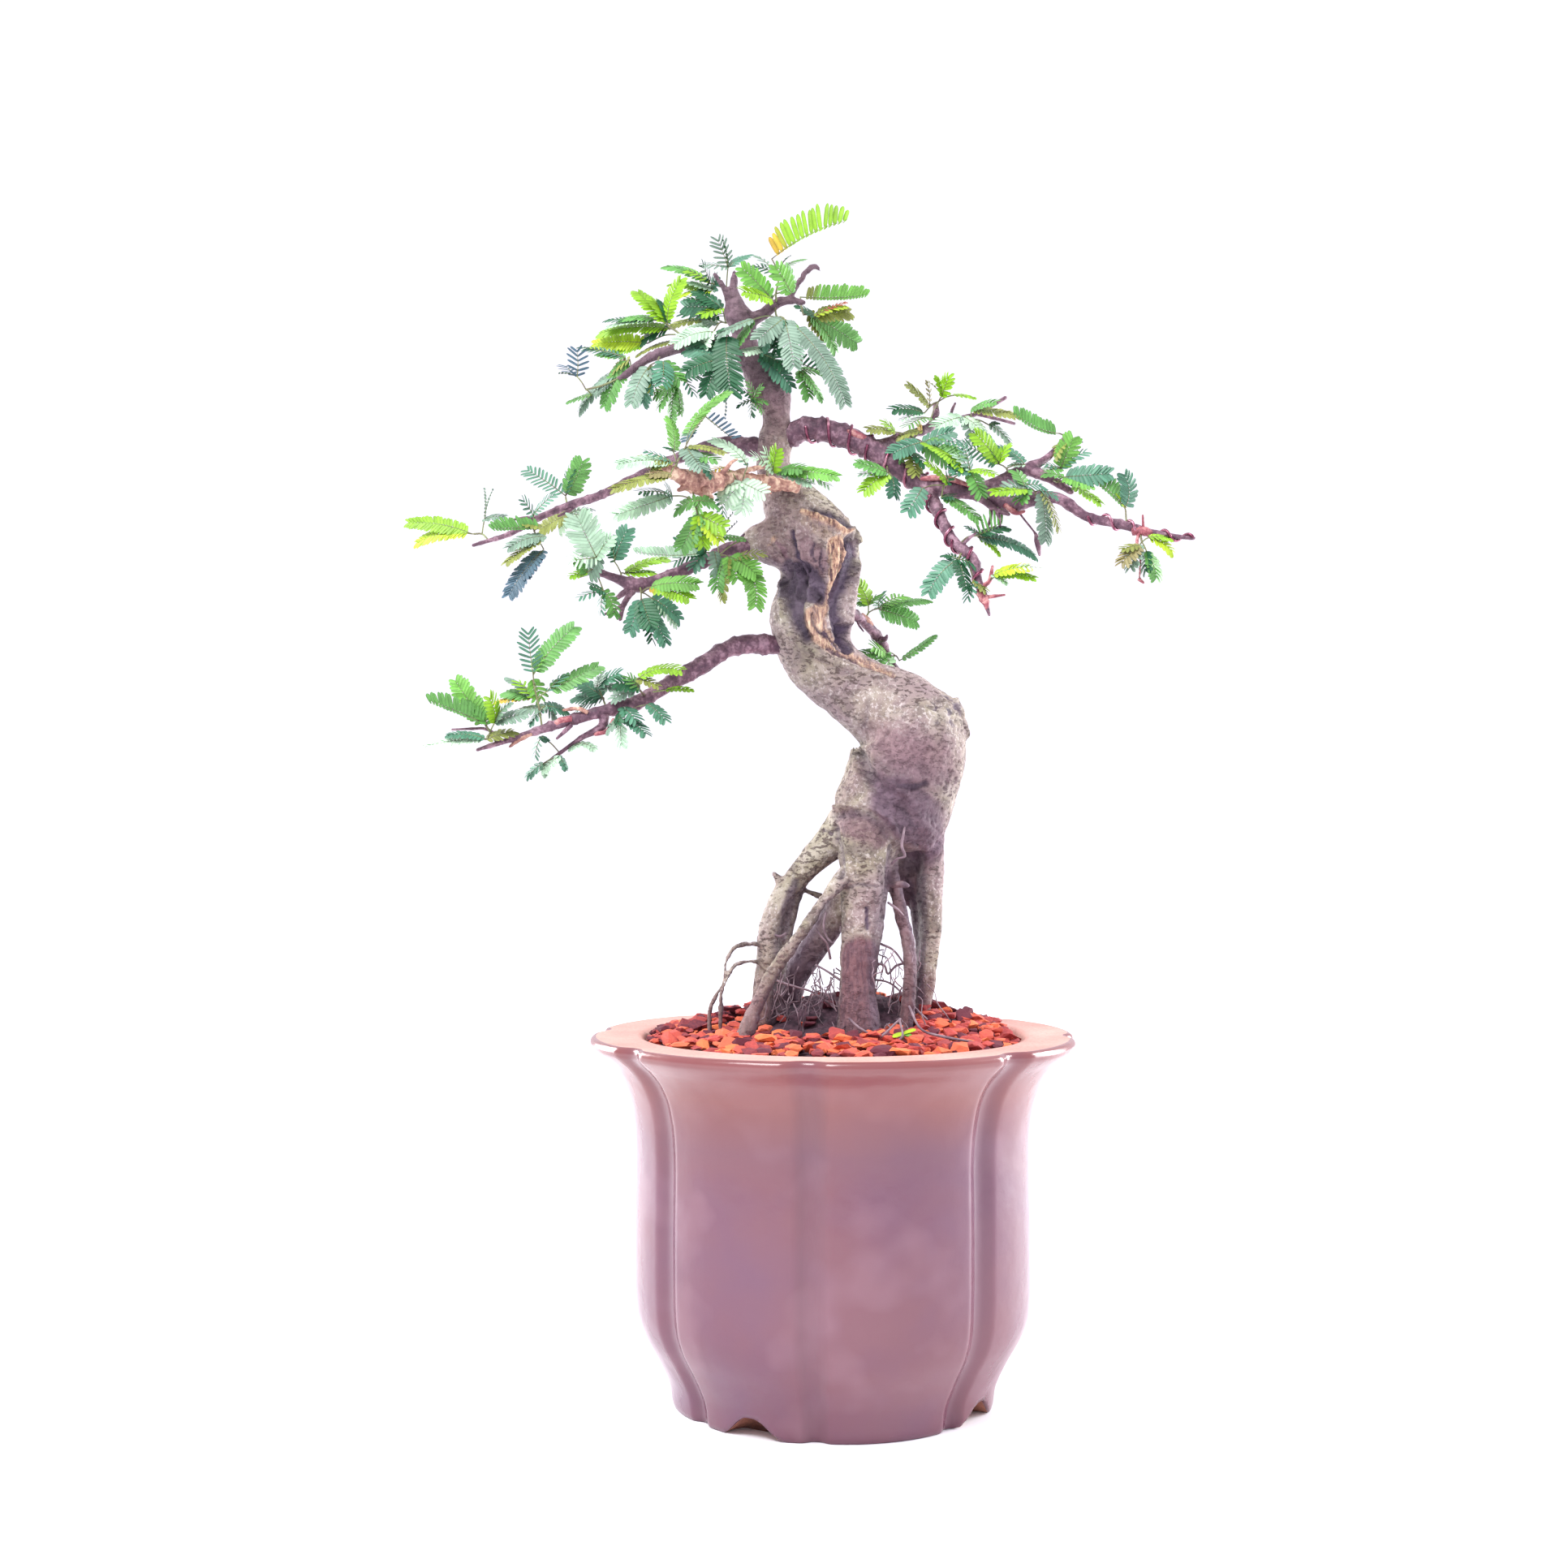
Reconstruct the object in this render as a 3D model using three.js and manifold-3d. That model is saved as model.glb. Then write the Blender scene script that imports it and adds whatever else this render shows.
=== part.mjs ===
// A small powder-puff tree (calliandra) trained as a bonsai, in its lobed ceramic pot.
// Millimetres, +Z up. The pot's axis is the tree's own reference; at the end the whole
// group is shifted so that its origin lies under the middle of the object, on the floor.

import * as THREE from "three";
import { mergeVertices } from "three/addons/utils/BufferGeometryUtils.js";
import Module from "manifold-3d";

const wasm = await Module();
wasm.setup();

// Driving sizes
const GAP = 0.3; // between pieces that touch
const POT_HEIGHT = 150;
const RIM_RADIUS = 99;
const MOUTH_RADIUS = 78;
const BODY_RADIUS = 82;
const FOOT_RADIUS = 66;
const FOOT_INNER_RADIUS = 54;
const RECESS_HEIGHT = 6;
const FLOOR_TOP = 15;
const DRAIN_RADIUS = 10;
const LOBES = 8;
const LOBE_DEPTH = 3.5; // of the grooves in the body
const RIM_LOBE_DEPTH = 4.5; // of the notches in the rim
const NECK_HEIGHT = 130; // where the wall starts to flare out
const STEPS_PER_LOBE = 5;
const GROOVE_AZIMUTH = -7.7; // degrees from the front, + to the right
const ARCH_AZIMUTH = -30.2; // one of four, a quarter turn apart
const ARCH_WIDTH = 27;
const ARCH_HEIGHT = 8;
const ARCH_SWEEP = 7; // of the cloud curve at each side of an arch
const ARCH_CLEARANCE = 6; // of the cut beyond the foot ring, inwards and outwards
const SURFACE_EDGE_HEIGHT = 145; // soil at the pot wall
const SURFACE_RISE = 5; // soil at the middle, above its edge
const MOUND_HEIGHT = 19; // root mat behind the roots, above that
const GRIT_DEPTH = 4;
const GRIT_BUMPS = 0.9;
const GRIT_LIFT = 1; // of its underside above the soil, where the mound curves
const STALK_RADIUS = 0.65;
const BLADE_THICKNESS = 0.8;
const BLADE_WIDTH = 9.5; // a full blade seen face on
const BLADE_LAP = 1.4; // of a blade behind its fork
const STALK_SIDES = 3;
const WIRE_RADIUS = 0.8;
const WIRE_PITCH = 15;

// The tree's free curves are laid out on its front view, seen from EYE.
// A point is [u, v, y]: pixels across and down, and millimetres behind the pot's axis.
const VIEW_CENTRE_PIXEL = 966;
const VIEW_FOCAL_PIXELS = 2793;
const EYE = new THREE.Vector3(-20.2, -930, 252.3);
const TO_VIEWER = new THREE.Vector3(0, -1, 0);

function spot([u, v, y]) {
  const across = (u - VIEW_CENTRE_PIXEL) / VIEW_FOCAL_PIXELS;
  const up = (VIEW_CENTRE_PIXEL - v) / VIEW_FOCAL_PIXELS;
  const reach = y - EYE.y;
  return new THREE.Vector3(EYE.x + reach * across, y, EYE.z + reach * up);
}

function millimetres(pixels, y) {
  return (pixels * (y - EYE.y)) / VIEW_FOCAL_PIXELS;
}

// Solids

function toSolid(geometry) {
  const bare = geometry.clone();
  bare.deleteAttribute("normal");
  bare.deleteAttribute("uv");
  const merged = mergeVertices(bare, 1e-4);
  const mesh = new wasm.Mesh({
    numProp: 3,
    vertProperties: new Float32Array(merged.attributes.position.array),
    triVerts: new Uint32Array(merged.index.array),
  });
  return new wasm.Manifold(mesh);
}

function toGeometry(solid) {
  const mesh = solid.getMesh();
  const geometry = new THREE.BufferGeometry();
  geometry.setAttribute("position", new THREE.BufferAttribute(mesh.vertProperties, 3));
  geometry.setIndex(new THREE.BufferAttribute(mesh.triVerts, 1));
  return geometry;
}

function join(solids) {
  return solids.reduce((whole, next) => whole.add(next));
}

// Tapered limbs: a round section carried along a smooth curve, closed at both ends

function alongCurve(centres, radii, spans) {
  const curve = new THREE.CatmullRomCurve3(centres, false, "centripetal");
  const count = (centres.length - 1) * spans;
  const points = [];
  const widths = [];
  for (let i = 0; i <= count; i += 1) {
    const t = i / count;
    const place = t * (radii.length - 1);
    const low = Math.min(Math.floor(place), radii.length - 2);
    points.push(curve.getPoint(t));
    widths.push(THREE.MathUtils.lerp(radii[low], radii[low + 1], place - low));
  }
  return { points, widths };
}

function limbGeometry(points, widths, sides) {
  const last = points.length - 1;
  const positions = [];
  const faces = [];
  let side = new THREE.Vector3(0, -1, 0);
  for (let i = 0; i <= last; i += 1) {
    const before = points[Math.max(i - 1, 0)];
    const after = points[Math.min(i + 1, last)];
    const along = new THREE.Vector3().subVectors(after, before).normalize();
    side = side.clone().addScaledVector(along, -side.dot(along)).normalize();
    const up = new THREE.Vector3().crossVectors(along, side);
    for (let j = 0; j < sides; j += 1) {
      const turn = (2 * Math.PI * j) / sides;
      const rim = points[i].clone();
      rim.addScaledVector(side, widths[i] * Math.cos(turn));
      rim.addScaledVector(up, widths[i] * Math.sin(turn));
      positions.push(rim.x, rim.y, rim.z);
    }
  }
  for (let i = 0; i < last; i += 1) {
    for (let j = 0; j < sides; j += 1) {
      const a = i * sides + j;
      const b = i * sides + ((j + 1) % sides);
      faces.push(a, b, b + sides, a, b + sides, a + sides);
    }
  }
  const end = last * sides;
  for (let j = 1; j < sides - 1; j += 1) {
    faces.push(0, j + 1, j);
    faces.push(end, end + j, end + j + 1);
  }
  const geometry = new THREE.BufferGeometry();
  geometry.setAttribute("position", new THREE.Float32BufferAttribute(positions, 3));
  geometry.setIndex(faces);
  return geometry;
}

function lengthen(end, inward, distance) {
  end.addScaledVector(new THREE.Vector3().subVectors(end, inward).normalize(), distance);
}

// A limb's points are [u, v, y, radius]. spare widens it, for the socket that it needs.
function limb(rows, { sides = 6, spans = 1, spare = 0 } = {}) {
  const centres = rows.map(spot);
  const radii = rows.map((row) => row[3] + spare);
  const { points, widths } = alongCurve(centres, radii, spans);
  lengthen(points[0], points[1], spare);
  lengthen(points[points.length - 1], points[points.length - 2], spare);
  return toSolid(limbGeometry(points, widths, sides));
}

function wood(limbs, options = {}) {
  return join(limbs.map(({ rows, ...own }) => limb(rows, { ...own, ...options })));
}

// Pot

function potProfile() {
  const outer = [
    [FOOT_INNER_RADIUS, 0],
    [FOOT_RADIUS - 1, 0],
    [FOOT_RADIUS, 2],
    [FOOT_RADIUS + 1.5, 10],
    [FOOT_RADIUS + 6, 20],
    [FOOT_RADIUS + 12.5, 32],
    [BODY_RADIUS - 0.5, 44],
    [BODY_RADIUS, 75],
    [BODY_RADIUS - 0.5, 110],
    [BODY_RADIUS + 2, 125],
    [BODY_RADIUS + 6, 134],
    [BODY_RADIUS + 11.5, 141],
    [RIM_RADIUS, 145.5],
    [RIM_RADIUS + 0.5, 148],
    [RIM_RADIUS - 1.5, POT_HEIGHT],
  ];
  const inner = [
    [MOUTH_RADIUS + 1, POT_HEIGHT],
    [MOUTH_RADIUS, POT_HEIGHT - 1],
    [MOUTH_RADIUS - 3, 130],
    [MOUTH_RADIUS - 5, 45],
    [MOUTH_RADIUS - 12, 24],
    [MOUTH_RADIUS - 22, FLOOR_TOP],
    [DRAIN_RADIUS, FLOOR_TOP],
    [DRAIN_RADIUS, RECESS_HEIGHT],
    [FOOT_INNER_RADIUS - 2, RECESS_HEIGHT],
    [FOOT_INNER_RADIUS, 0],
  ];
  return { outer, inner };
}

// How far the outside is drawn in: a round swell with a narrow groove at each side
function lobeDepth(azimuth, height) {
  const lobeAngle = (2 * Math.PI) / LOBES;
  const fromGroove = (azimuth - THREE.MathUtils.degToRad(GROOVE_AZIMUTH)) / lobeAngle;
  const offMiddle = Math.abs(2 * (fromGroove - Math.floor(fromGroove)) - 1);
  const depth = height > NECK_HEIGHT ? RIM_LOBE_DEPTH : LOBE_DEPTH;
  return depth * THREE.MathUtils.lerp(offMiddle ** 8, offMiddle ** 2, 0.35);
}

function potSolid() {
  const { outer, inner } = potProfile();
  const profile = [...outer, ...inner].map(([r, z]) => new THREE.Vector2(r, z));
  const start = THREE.MathUtils.degToRad(GROOVE_AZIMUTH);
  const lathe = new THREE.LatheGeometry(profile, LOBES * STEPS_PER_LOBE, start);
  const place = lathe.attributes.position;
  const lobed = outer.length;
  for (let i = 0; i < place.count; i += 1) {
    const row = i % profile.length;
    const { x: radius, y: height } = profile[row];
    const azimuth = Math.atan2(place.getX(i), place.getZ(i));
    const onOutside = row > 0 && row < lobed;
    const depth = onOutside ? lobeDepth(azimuth, height) : 0;
    const reach = radius - depth;
    place.setXYZ(i, reach * Math.sin(azimuth), -reach * Math.cos(azimuth), height);
  }
  return toSolid(lathe);
}

function archSolid(azimuthDegrees) {
  const half = ARCH_WIDTH / 2;
  const inside = half - ARCH_SWEEP;
  const arch = new THREE.Shape();
  arch.moveTo(-half - 2, -1);
  arch.lineTo(-half, 0);
  arch.bezierCurveTo(-inside, 1, -inside, ARCH_HEIGHT, 0, ARCH_HEIGHT);
  arch.bezierCurveTo(inside, ARCH_HEIGHT, inside, 1, half, 0);
  arch.lineTo(half + 2, -1);
  const geometry = new THREE.ExtrudeGeometry(arch, {
    depth: BODY_RADIUS - FOOT_INNER_RADIUS + 2 * ARCH_CLEARANCE,
    bevelEnabled: false,
    curveSegments: 5,
  });
  geometry.rotateX(Math.PI / 2);
  geometry.translate(0, ARCH_CLEARANCE - FOOT_INNER_RADIUS, 0);
  geometry.rotateZ(THREE.MathUtils.degToRad(azimuthDegrees));
  return toSolid(geometry);
}

function pot() {
  const arches = [0, 1, 2, 3].map((quarter) => archSolid(ARCH_AZIMUTH + 90 * quarter));
  return potSolid().subtract(join(arches));
}

// Plastic mesh over the drain hole
const MESH_SIDE = 30;
const MESH_THICKNESS = 1;
const MESH_CELLS = 3;
const MESH_BAR = 2.4;

function drainMesh() {
  const pitch = (MESH_SIDE - MESH_BAR) / MESH_CELLS;
  const bars = [];
  for (let i = 0; i <= MESH_CELLS; i += 1) {
    const place = i * pitch - (MESH_SIDE - MESH_BAR) / 2;
    const lengthwise = new THREE.BoxGeometry(MESH_SIDE, MESH_BAR, MESH_THICKNESS);
    const crosswise = new THREE.BoxGeometry(MESH_BAR, MESH_SIDE, MESH_THICKNESS);
    lengthwise.translate(0, place, FLOOR_TOP + GAP + MESH_THICKNESS / 2);
    crosswise.translate(place, 0, FLOOR_TOP + GAP + MESH_THICKNESS / 2);
    bars.push(toSolid(lengthwise), toSolid(crosswise));
  }
  return join(bars);
}

// Soil with the dark root mat, and the clay grit that covers it
const MOUND_CENTRE = new THREE.Vector2(6, 14);
const MOUND_SPREAD = new THREE.Vector2(34, 15);

function soilHeight(x, y) {
  const across = Math.hypot(x, y) / MOUTH_RADIUS;
  const dx = (x - MOUND_CENTRE.x) / MOUND_SPREAD.x;
  const dy = (y - MOUND_CENTRE.y) / MOUND_SPREAD.y;
  const mound = MOUND_HEIGHT * Math.exp(-(dx * dx + dy * dy) / 2);
  return SURFACE_EDGE_HEIGHT + SURFACE_RISE * (1 - across ** 2) + mound;
}

function roundLayer(profile, segments, heightAt) {
  const points = profile.map(([r, z]) => new THREE.Vector2(r, z));
  const lathe = new THREE.LatheGeometry(points, segments);
  const place = lathe.attributes.position;
  for (let i = 0; i < place.count; i += 1) {
    const x = place.getX(i);
    const y = -place.getZ(i);
    place.setXYZ(i, x, y, heightAt(x, y, i % profile.length));
  }
  return toSolid(lathe);
}

// The same rings shape the soil's top and the grit's underside, so that they lie parallel.
const SURFACE_EDGE = MOUTH_RADIUS - 1.6 - GAP;
const SURFACE_RINGS = [SURFACE_EDGE, 64, 51, 40, 30];
const SURFACE_SEGMENTS = 32;

function soil() {
  const netCorner = MESH_SIDE / Math.SQRT2 + 1;
  const overNet = FLOOR_TOP + MESH_THICKNESS + 3 * GAP;
  const top = [...SURFACE_RINGS, 15, 0];
  const profile = [
    [0, overNet],
    [netCorner, overNet],
    [netCorner + 1, FLOOR_TOP + GAP],
    [MOUTH_RADIUS - 22 - GAP, FLOOR_TOP + GAP],
    [MOUTH_RADIUS - 12 - 2 * GAP, 24],
    [MOUTH_RADIUS - 5 - 2 * GAP, 45],
    [MOUTH_RADIUS - 3 - 2 * GAP, 130],
    ...top.map((r) => [r, 0]),
  ];
  const firstTop = profile.length - top.length;
  return roundLayer(profile, SURFACE_SEGMENTS, (x, y, row) =>
    row < firstTop ? profile[row][1] : soilHeight(x, y)
  );
}

function grit() {
  const under = [...SURFACE_RINGS].reverse();
  const over = [SURFACE_EDGE, 69, 59, 49, 40, 32];
  const profile = [...under, ...over, under[0]].map((r) => [r, 0]);
  const rough = (x, y) => Math.sin(1.3 * x + 0.7 * y) * Math.cos(1.1 * y - 0.6 * x);
  return roundLayer(profile, SURFACE_SEGMENTS, (x, y, row) => {
    const ground = soilHeight(x, y) + GRIT_LIFT;
    const isTop = row >= under.length && row < profile.length - 1;
    return isTop ? ground + GRIT_DEPTH + GRIT_BUMPS * rough(x, y) : ground;
  });
}

// Trunk with its roots: one grown piece
const TRUNK_LIMBS = [
  {
    sides: 12,
    rows: [
      [1088, 1034, 2, 20], [1098, 1000, 2, 24], [1113, 955, 3, 23.5], [1120, 912, 4, 23.5],
      [1100, 880, 5, 19.4], [1047, 846, 5, 14.4], [1013, 815, 4, 14.6], [999, 768, 3, 17],
      [1008, 720, 2, 15.8], [1007, 680, 1, 17], [990, 645, 0, 15], [966, 605, -1, 10.2],
      [953, 572, -2, 7.2], [957, 540, -2, 7], [956, 512, -2, 5.7], [950, 488, -1, 8.5],
      [935, 460, 0, 6.6], [921, 430, 0, 5.4], [914, 400, 0, 5.6], [907, 384, 0, 5.4],
      [904, 362, 0, 2.6], [905, 334, 0, 1.4],
    ],
  },
  { rows: [[975, 668, 0, 14], [950, 668, -2, 10], [930, 668, -3, 7.5]] },
  { rows: [[1150, 900, 4, 14], [1164, 874, 3, 7.5], [1167, 866, 2, 4]] },
  { rows: [[906, 380, 0, 3], [893, 356, -2, 1.8], [880, 337, -3, 1.2]] },
  {
    rows: [
      [915, 398, 0, 3.4], [938, 388, -1, 2.6], [957, 374, -2, 2.4], [975, 371, -3, 1.8],
      [991, 373, -3, 1.2],
    ],
  },
  {
    rows: [
      [970, 372, -3, 1.2], [981, 353, -3, 1.3], [996, 332, -3, 1.8], [1005, 328, -3, 1.4],
      [1011, 334, -3, 0.7],
    ],
  },
  {
    rows: [
      [922, 424, 0, 3.6], [890, 424, -4, 3.2], [856, 425, -8, 2.8], [830, 431, -10, 2.6],
      [800, 441, -12, 2.4], [775, 459, -14, 1.8],
    ],
  },
];
const ROOT_LIMBS = [
  {
    sides: 8,
    rows: [
      [1070, 1006, -4, 17], [1068, 1040, -8, 13], [1066, 1090, -10, 9.8],
      [1061, 1155, -12, 8.3], [1057, 1215, -14, 7.4], [1058, 1275, -16, 9.5],
    ],
  },
  {
    rows: [
      [1050, 1020, 0, 12], [1018, 1044, 0, 7], [985, 1078, -2, 5], [960, 1110, -3, 4.6],
      [948, 1150, -4, 4.6], [945, 1190, -5, 4.6], [938, 1262, -6, 5],
    ],
  },
  {
    rows: [
      [1050, 1070, -15, 4], [1015, 1109, -20, 2.4], [996, 1138, -22, 2.3],
      [969, 1175, -25, 2.4], [946, 1210, -27, 2.6], [914, 1282, -31, 3.4],
    ],
  },
  {
    rows: [
      [1062, 1080, 8, 9], [1035, 1120, 10, 6.4], [1005, 1165, 12, 5.8],
      [976, 1212, 14, 5.6], [966, 1262, 16, 5.6],
    ],
  },
  {
    rows: [
      [1086, 1052, -4, 7], [1103, 1094, -6, 3], [1110, 1125, -7, 2.8],
      [1118, 1160, -8, 2.8], [1121, 1200, -9, 2.8], [1116, 1272, -10, 3],
    ],
  },
  {
    rows: [
      [1130, 1010, 4, 12], [1145, 1058, 4, 6.4], [1147, 1110, 4, 4.6],
      [1148, 1150, 4, 4.5], [1143, 1190, 4, 4.2], [1134, 1262, 4, 4],
    ],
  },
  { rows: [[1122, 1000, 12, 13], [1120, 1060, 14, 9.5], [1112, 1104, 14, 5.5]] },
  { rows: [[1100, 1090, -10, 1.6], [1118, 1090, -12, 1.3]] },
  {
    sides: 5,
    rows: [
      [948, 1168, -5, 1.2], [930, 1163, -9, 1.1], [906, 1167, -12, 1.1], [894, 1187, -14, 1],
      [891, 1211, -15, 1], [876, 1240, -16, 1], [874, 1275, -16, 1],
    ],
  },
  {
    sides: 5,
    rows: [
      [946, 1192, -5, 1.2], [927, 1185, -10, 1.1], [906, 1189, -14, 1], [896, 1206, -17, 1],
      [889, 1223, -19, 1], [888, 1247, -20, 1], [887, 1282, -21, 1],
    ],
  },
];

// Branches: each leaves the trunk, or the branch that it names, at its first point
const BRANCHES = {
  branch_right: {
    from: "trunk",
    limbs: [
      {
        rows: [
          [966, 541, -2, 4.6], [995, 528, -4, 4.7], [1033, 535, -6, 4.6],
          [1071, 552, -9, 4.5], [1110, 580, -12, 3.9], [1138, 596, -14, 3.6],
          [1177, 604, -16, 3.2], [1215, 609, -17, 3.2], [1244, 622, -18, 3.2],
          [1278, 614, -20, 2.8], [1306, 615, -21, 2.4], [1340, 637, -22, 1.9],
          [1381, 646, -23, 1.8], [1412, 655, -24, 1.6], [1448, 661, -26, 1],
          [1471, 663, -27, 0.7],
        ],
      },
      {
        rows: [
          [1200, 608, -16, 2.6], [1235, 592, -10, 2.6], [1266, 578, -4, 2.6],
          [1286, 567, 2, 1.5], [1302, 553, 6, 1.2], [1311, 541, 9, 0.9],
        ],
      },
      { rows: [[1266, 578, -4, 2.5], [1294, 590, -6, 2], [1320, 606, -9, 1.5]] },
      {
        rows: [
          [1072, 554, -9, 3], [1095, 545, -5, 2.4], [1125, 534, 0, 1.9],
          [1146, 526, 5, 2], [1153, 510, 8, 1.8], [1153, 500, 10, 1.4],
        ],
      },
      {
        sides: 5,
        rows: [
          [1150, 521, 6, 1.2], [1172, 517, 10, 1.1], [1203, 510, 15, 1], [1239, 490, 21, 0.9],
        ],
      },
      { sides: 5, rows: [[1203, 510, 15, 0.9], [1250, 522, 23, 0.8]] },
    ],
  },
  branch_drooping: {
    from: "branch_right",
    limbs: [
      {
        sides: 7,
        rows: [
          [1136, 600, -14, 3.2], [1149, 616, -19, 2.8], [1162, 644, -26, 2.2],
          [1175, 668, -31, 2.2], [1198, 688, -35, 2.1], [1205, 716, -38, 1.9],
          [1213, 738, -41, 1.4], [1219, 758, -44, 0.5],
        ],
      },
      {
        sides: 5,
        rows: [[1207, 724, -39, 0.9], [1219, 716, -39, 0.9], [1223, 698, -39, 0.7]],
      },
    ],
  },
  branch_upper_left: {
    from: "trunk",
    limbs: [
      {
        rows: [
          [948, 553, -1, 4], [903, 549, 5, 3.7], [870, 552, 10, 2.7], [830, 567, 17, 2.4],
          [786, 588, 22, 2.2], [740, 610, 28, 1.9], [698, 624, 34, 1.7], [662, 639, 38, 1.4],
          [630, 657, 41, 1.2], [603, 666, 43, 1.1], [583, 672, 46, 0.8],
        ],
        sides: 7,
      },
    ],
  },
  branch_front: {
    from: "trunk",
    limbs: [
      {
        sides: 7,
        rows: [
          [972, 603, -4, 2.6], [940, 594, -18, 2.2], [905, 589, -30, 2.4],
          [880, 594, -38, 4.2], [860, 597, -44, 5], [842, 588, -49, 3.6],
          [822, 580, -55, 2.2], [803, 581, -60, 1.4],
        ],
      },
    ],
  },
  branch_second_left: {
    from: "trunk",
    limbs: [
      {
        sides: 7,
        rows: [
          [930, 672, -4, 3.2], [897, 677, -9, 2.9], [872, 690, -12, 2.7],
          [836, 705, -15, 2.6], [805, 717, -18, 2.7], [783, 721, -20, 2.9],
          [760, 713, -22, 1.9], [735, 704, -24, 1.4],
        ],
      },
      {
        sides: 5,
        rows: [[783, 722, -20, 1.5], [769, 744, -19, 1.1], [764, 763, -19, 1]],
      },
    ],
  },
  branch_lower_left: {
    from: "trunk",
    limbs: [
      {
        rows: [
          [962, 795, 0, 3.9], [918, 794, -6, 3.9], [866, 819, -13, 3.3], [817, 847, -19, 2.8],
          [786, 865, -23, 2.7], [740, 877, -29, 2.4], [694, 890, -34, 2],
          [648, 905, -39, 1.4], [610, 917, -43, 1.2], [588, 924, -45, 0.8],
        ],
      },
      {
        rows: [
          [744, 879, -29, 2], [741, 896, -28, 1.6], [715, 910, -29, 1], [676, 938, -30, 0.8],
          [660, 950, -31, 0.6],
        ],
      },
    ],
  },
  branch_back_right: {
    from: "trunk",
    limbs: [
      {
        rows: [
          [1046, 753, 4, 2], [1064, 766, 13, 2], [1084, 788, 22, 1.9], [1095, 809, 28, 1.5],
          [1108, 833, 31, 1.7],
        ],
      },
    ],
  },
};

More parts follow.
